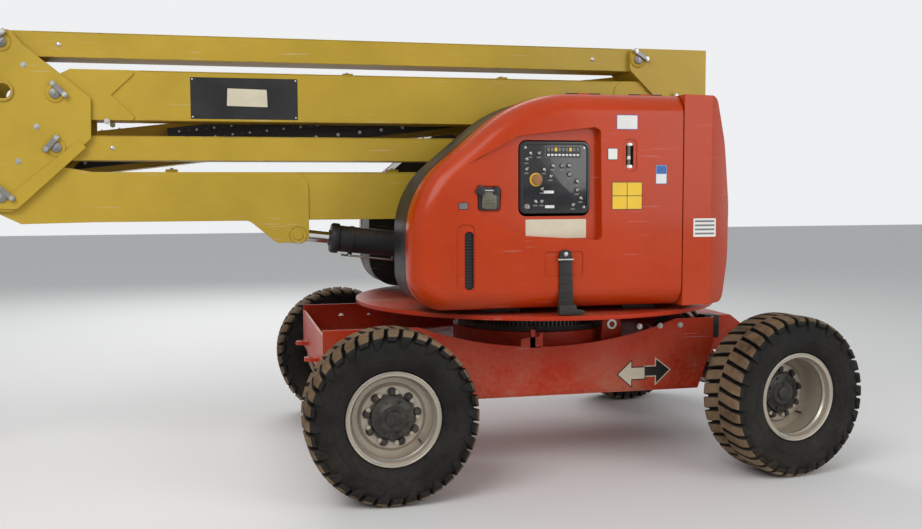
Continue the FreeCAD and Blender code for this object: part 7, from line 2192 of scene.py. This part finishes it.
class BOOMLIFT_OT_far_cover_trim(bpy.types.Operator):
    """Latches, strap and blank labels of the far cover."""

    bl_idname = "boomlift.far_cover_trim"
    bl_label = "Far cover trim"

    def execute(self, context):
        bm = bmesh.new()
        face = 0.980
        for low, high, left, right, material, edge in (
            (1.780, 1.853, 1.480, 1.593, 0, 3), (1.600, 1.668, 1.700, 1.800, 1, 4), (1.382, 1.520, 1.842, 2.004, 1, 4),
        ):
            add_prism(bm, rectangle(left, right, low, high, 0.004, 3), face - 0.0005, face + 0.0012, "xz", 0.0, 1, edge)
            inner = rectangle(left + 0.004, right - 0.004, low + 0.004, high - 0.004, 0.002, 2)
            add_prism(bm, inner, face + 0.0010, face + 0.0017, "xz", 0.0, 1, material)
        materials = [
            MATERIALS["white"], MATERIALS["yellow"], MATERIALS["cream_label"], MATERIALS["blue"],
            MATERIALS["sign_black"],
        ]
        piece_from("hood_far_labels", bm, materials, "hood_far", 30.0)
        bm = bmesh.new()
        for x in (1.230, 1.960):
            case = rectangle(x - 0.045, x + 0.045, 1.020, 1.120, 0.012, 5)
            add_prism(bm, case, face - 0.0005, face + 0.010, "xz", 0.003, 2, 0)
            paddle = rectangle(x - 0.032, x + 0.032, 1.032, 1.096, 0.010, 4)
            add_prism(bm, paddle, face + 0.009, face + 0.020, "xz", 0.004, 2, 0)
            for level in (1.042, 1.054, 1.066):
                add_prism(bm, rectangle(x - 0.024, x + 0.024, level, level + 0.005), face + 0.019, face + 0.022, "xz", 0.001, 1, 0)
            add_rod(bm, (x - 0.036, face + 0.013, 1.104), (x + 0.036, face + 0.013, 1.104), 0.005, 12, 0.2, 1)
        top = rounded([(1.566, 1.128), (1.628, 1.128), (1.628, 1.186), (1.566, 1.186)], [0.004, 0.004, 0.028, 0.028], 8)
        add_prism(bm, top, face - 0.0005, face + 0.016, "xz", 0.004, 2, 0)
        strap = rounded([(1.562, 0.880), (1.640, 0.880), (1.630, 1.132), (1.567, 1.132)], 0.004, 2)
        add_prism(bm, strap, face - 0.0005, face + 0.011, "xz", 0.003, 2, 0)
        foot = rounded([(1.556, 0.866), (1.646, 0.866), (1.646, 0.912), (1.556, 0.912)], 0.005, 3)
        add_prism(bm, foot, face - 0.004, face + 0.028, "xz", 0.004, 2, 0)
        add_bolt(bm, (1.597, face + 0.016, 1.165), (0, 1, 0), 0.0075, 0.007, 1)
        piece_from(
            "hood_far_latches", bm, [MATERIALS["rubber_part"], MATERIALS["zinc"]], "hood_far", 40.0
        )
        return {"FINISHED"}


class BOOMLIFT_OT_engine_trim(bpy.types.Operator):
    """Heads, filter, fan, belts, muffler, caps and straps under the covers."""

    bl_idname = "boomlift.engine_trim"
    bl_label = "Engine and tanks"

    def execute(self, context):
        self.engine()
        self.tanks()
        return {"FINISHED"}

    def engine(self):
        low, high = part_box("engine")
        bm = bmesh.new()
        face = high[1]
        for number in range(4):
            x = low[0] + 0.110 + number * 0.150
            add_block(bm, (x - 0.055, face - 0.001, 1.300), (x + 0.055, face + 0.016, 1.420), 0.006, 2, 0)
            for dx in (-0.040, 0.040):
                for z in (1.315, 1.405):
                    add_bolt(bm, (x + dx, face + 0.016, z), (0, 1, 0), 0.0055, 0.005, 1)
        add_block(bm, (low[0] + 0.020, 0.560, 1.479), (high[0] - 0.120, 0.700, 1.520), 0.010, 3, 0)
        for number in range(5):
            add_bolt(bm, (low[0] + 0.080 + number * 0.120, 0.630, 1.520), UP, 0.007, 0.007, 1)
        for radius, x, z in ((0.105, high[0], 1.080), (0.052, high[0], 1.300), (0.045, high[0], 1.180)):
            y = 0.630 if radius > 0.1 else (0.600 if z > 1.25 else 0.720)
            groove = [
                (-0.001, 0.0), (-0.001, radius), (0.006, radius), (0.012, radius - 0.010), (0.018, radius),
                (0.024, radius), (0.024, 0.0),
            ]
            add_lathe(bm, (x, y, z), (1, 0, 0), groove, 40, 1)
        canister = [(0.0, 0.0), (0.0, 0.036), (0.004, 0.041), (0.110, 0.041), (0.120, 0.034), (0.120, 0.0)]
        add_lathe(bm, (low[0] + 0.12, face - 0.002, 1.080), (0.0, 0.0, -1.0), canister, 32, 2)
        add_block(bm, (low[0] + 0.075, face - 0.020, 1.078), (low[0] + 0.165, face + 0.006, 1.110), 0.005, 2, 0)
        muffler = [
            (0.0, 0.0), (0.0, 0.050), (0.010, 0.062), (0.360, 0.062), (0.370, 0.050), (0.372, 0.022), (0.430, 0.022),
            (0.430, 0.0),
        ]
        add_lathe(bm, (low[0] + 0.06, 0.630, 1.584), (1, 0, 0), muffler, 36, 3)
        for dx in (0.10, 0.34):
            band = [(-0.010, 0.061), (-0.010, 0.064), (0.010, 0.064), (0.010, 0.061)]
            add_lathe(bm, (low[0] + 0.06 + dx, 0.630, 1.584), (1, 0, 0), band, 36, 1, closed=True)
        for z in (0.960, 1.020, 1.200):
            add_tube(
                bm, [
                    (low[0] + 0.24, face - 0.004, z), (low[0] + 0.26, face + 0.012, z),
                    (low[0] + 0.50, face + 0.013, z + 0.020), (high[0] - 0.06, face + 0.012, z),
                    (high[0] - 0.04, face - 0.004, z),
                ], 0.0085, 12, 4, 6,
            )
        materials = [
            MATERIALS["engine"], MATERIALS["zinc"], MATERIALS["red"], MATERIALS["pin_steel"], MATERIALS["hose"],
        ]
        piece_from("engine_fittings", bm, materials, "turntable", 35.0)

    def tanks(self):
        bm = bmesh.new()
        for node in ("fuel_tank", "hydraulic_tank"):
            low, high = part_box(node)
            for share in (0.22, 0.78):
                x = low[0] + (high[0] - low[0]) * share
                for y, out in ((low[1], -1.0), (high[1], 1.0)):
                    near, far = sorted((y - out * 0.0005, y + out * 0.003))
                    add_prism(bm, rectangle(x - 0.018, x + 0.018, low[2], high[2] + 0.003), near, far, "xz", 0.0008, 1, 1)
                add_prism(
                    bm, rectangle(x - 0.018, x + 0.018, high[2] - 0.0005, high[2] + 0.003), low[1] - 0.003,
                    high[1] + 0.003, "xz", 0.0008, 1, 1,
                )
            x = (low[0] + high[0]) / 2.0
            neck = [
                (0.0, 0.0), (0.0, 0.038), (0.020, 0.036), (0.020, 0.046), (0.024, 0.049), (0.050, 0.049),
                (0.055, 0.044), (0.055, 0.0),
            ]
            add_lathe(bm, (x, (low[1] + high[1]) / 2.0, high[2] - 0.001), UP, neck, 36, 0)
            for number in range(12):
                angle = math.radians(number * 30.0)
                middle = Vector((x, (low[1] + high[1]) / 2.0, high[2] + 0.026))
                spot = middle + Vector((math.cos(angle), math.sin(angle), 0.0)) * 0.049
                add_rod(bm, spot, spot + UP * 0.020, 0.0035, 6, 0.2, 0)
            gauge = rectangle(high[0] - 0.090, high[0] - 0.060, low[2] + 0.080, low[2] + 0.240, 0.008, 3)
            add_prism(bm, gauge, low[1] - 0.010, low[1] + 0.0005, "xz", 0.002, 2, 2)
            for z in (low[2] + 0.090, low[2] + 0.230):
                add_bolt(bm, (high[0] - 0.075, low[1] - 0.010, z), (0, -1, 0), 0.006, 0.006, 1)
            for dx in (0.07, 0.15):
                start = (low[0] + dx, high[1] - 0.001, low[2] + 0.060)
                add_rod(bm, start, (start[0], start[1] + 0.022, start[2]), 0.014, 6, 0.15, 1)
        materials = [MATERIALS["plastic"], MATERIALS["zinc"], MATERIALS["smoke"]]
        piece_from("tank_fittings", bm, materials, "turntable", 35.0)


class BOOMLIFT_OT_stage(bpy.types.Operator):
    """Sets the floor, the backdrop, soft studio lamps and the camera."""

    bl_idname = "boomlift.stage"
    bl_label = "Set the stage"

    def execute(self, context):
        scene = context.scene
        settings = scene.boom_lift_stage
        scene.view_settings.view_transform = "Standard"
        self.add_camera(scene, settings)
        self.add_floor(settings)
        self.add_world(scene)
        for name, place, aim, size, power in (
            ("key_lamp", (-3.5, -6.0, 6.5), (0.5, 0.0, 1.0), 5.0, 390.0),
            ("fill_lamp", (5.5, -6.0, 3.0), (1.0, 0.0, 1.0), 4.0, 140.0),
            ("back_lamp", (0.5, 7.0, 6.0), (0.5, 0.0, 1.0), 6.0, 300.0),
        ):
            lamp = bpy.data.lights.new(name, "AREA")
            lamp.shape = "SQUARE"
            lamp.size = size
            lamp.energy = power
            holder = bpy.data.objects.new(name, lamp)
            scene.collection.objects.link(holder)
            holder.location = place
            holder.rotation_euler = (Vector(aim) - Vector(place)).to_track_quat("-Z", "Y").to_euler()
        return {"FINISHED"}

    def add_camera(self, scene, settings):
        camera = bpy.data.cameras.new("photo_camera")
        camera.lens = settings.lens
        camera.sensor_width = 36.0
        camera.clip_end = 200.0
        holder = bpy.data.objects.new("photo_camera", camera)
        scene.collection.objects.link(holder)
        sideways = Vector((math.cos(settings.yaw), -math.sin(settings.yaw), 0.0))
        onwards = Vector((math.sin(settings.yaw), math.cos(settings.yaw), 0.0))
        ahead = onwards * math.cos(settings.pitch) - UP * math.sin(settings.pitch)
        upwards = UP * math.cos(settings.pitch) + onwards * math.sin(settings.pitch)
        right = sideways * math.cos(settings.roll) + upwards * math.sin(settings.roll)
        top = upwards * math.cos(settings.roll) - sideways * math.sin(settings.roll)
        columns = Matrix((right, top, -ahead)).transposed().to_4x4()
        holder.matrix_world = Matrix.Translation(Vector(settings.place)) @ columns
        scene.camera = holder

    def add_floor(self, settings):
        material = bpy.data.materials.new("studio_floor")
        material.use_nodes = True
        wires = Wiring(material.node_tree)
        shader = material.node_tree.nodes["Principled BSDF"]
        place = wires.add("ShaderNodeTexCoord").outputs["Object"]
        tone = wires.noise(place, 0.8, 5.0, 0.6)
        colour = tuple(settings.floor)
        dark = tuple(c * 0.97 for c in colour) + (1.0,)
        wires.link(wires.mix(tone, dark, (*colour, 1.0)), shader.inputs["Base Color"])
        shader.inputs["Roughness"].default_value = 0.7
        bm = bmesh.new()
        reach = 30.0
        corners = [bm.verts.new(place) for place in ((-reach, -reach, 0), (reach, -reach, 0), (reach, reach, 0), (-reach, reach, 0))]
        bm.faces.new(corners)
        mesh = bpy.data.meshes.new("studio_floor")
        bm.to_mesh(mesh)
        bm.free()
        mesh.materials.append(material)
        floor = bpy.data.objects.new("studio_floor", mesh)
        bpy.context.scene.collection.objects.link(floor)

    def add_world(self, scene):
        world = bpy.data.worlds.new("studio")
        world.use_nodes = True
        wires = Wiring(world.node_tree)
        shade = world.node_tree.nodes["Background"]
        shade.inputs["Color"].default_value = (0.92, 0.94, 0.97, 1.0)
        shade.inputs["Strength"].default_value = 0.42
        seen = wires.add("ShaderNodeBackground")
        seen.inputs["Color"].default_value = (0.86, 0.87, 0.88, 1.0)
        seen.inputs["Strength"].default_value = 1.0
        paths = wires.add("ShaderNodeLightPath")
        rays = wires.math("MAXIMUM", paths.outputs["Is Camera Ray"], paths.outputs["Is Glossy Ray"])
        rays = wires.math("MAXIMUM", rays, paths.outputs["Is Transmission Ray"])
        blend = wires.add("ShaderNodeMixShader")
        wires.link(rays, blend.inputs[0])
        wires.link(shade.outputs[0], blend.inputs[1])
        wires.link(seen.outputs[0], blend.inputs[2])
        wires.link(blend.outputs[0], world.node_tree.nodes["World Output"].inputs["Surface"])
        scene.world = world


STEPS = (
    BOOMLIFT_OT_finish_nodes,
    BOOMLIFT_OT_tyres,
    BOOMLIFT_OT_wheel_trim,
    BOOMLIFT_OT_tower_pins,
    BOOMLIFT_OT_boom_trim,
    BOOMLIFT_OT_ground_controls,
    BOOMLIFT_OT_hood_trim,
    BOOMLIFT_OT_chassis_trim,
    BOOMLIFT_OT_cylinder_trim,
    BOOMLIFT_OT_main_boom_trim,
    BOOMLIFT_OT_jib_trim,
    BOOMLIFT_OT_platform_trim,
    BOOMLIFT_OT_turntable_trim,
    BOOMLIFT_OT_axle_trim,
    BOOMLIFT_OT_far_cover_trim,
    BOOMLIFT_OT_engine_trim,
    BOOMLIFT_OT_stage,
)


class BOOMLIFT_PT_pieces(bpy.types.Panel):
    """Lists the pieces in the order in which they are made."""

    bl_idname = "BOOMLIFT_PT_pieces"
    bl_label = "Boom lift"
    bl_space_type = "VIEW_3D"
    bl_region_type = "UI"
    bl_category = "Boom lift"

    def draw(self, context):
        for step in STEPS:
            self.layout.operator(step.bl_idname)
        for group in (context.scene.boom_lift_paint, context.scene.boom_lift_stage):
            box = self.layout.box()
            for name in group.bl_rna.properties.keys():
                if name not in ("rna_type", "name"):
                    box.prop(group, name)


CLASSES = (PaintSettings, StageSettings, *STEPS, BOOMLIFT_PT_pieces)


def register():
    for each in CLASSES:
        bpy.utils.register_class(each)
    bpy.types.Scene.boom_lift_paint = bpy.props.PointerProperty(type=PaintSettings)
    bpy.types.Scene.boom_lift_stage = bpy.props.PointerProperty(type=StageSettings)


def unregister():
    del bpy.types.Scene.boom_lift_stage
    del bpy.types.Scene.boom_lift_paint
    for each in reversed(CLASSES):
        bpy.utils.unregister_class(each)


def main():
    register()
    for step in STEPS:
        family, name = step.bl_idname.split(".")
        getattr(getattr(bpy.ops, family), name)()


if __name__ == "__main__":
    main()
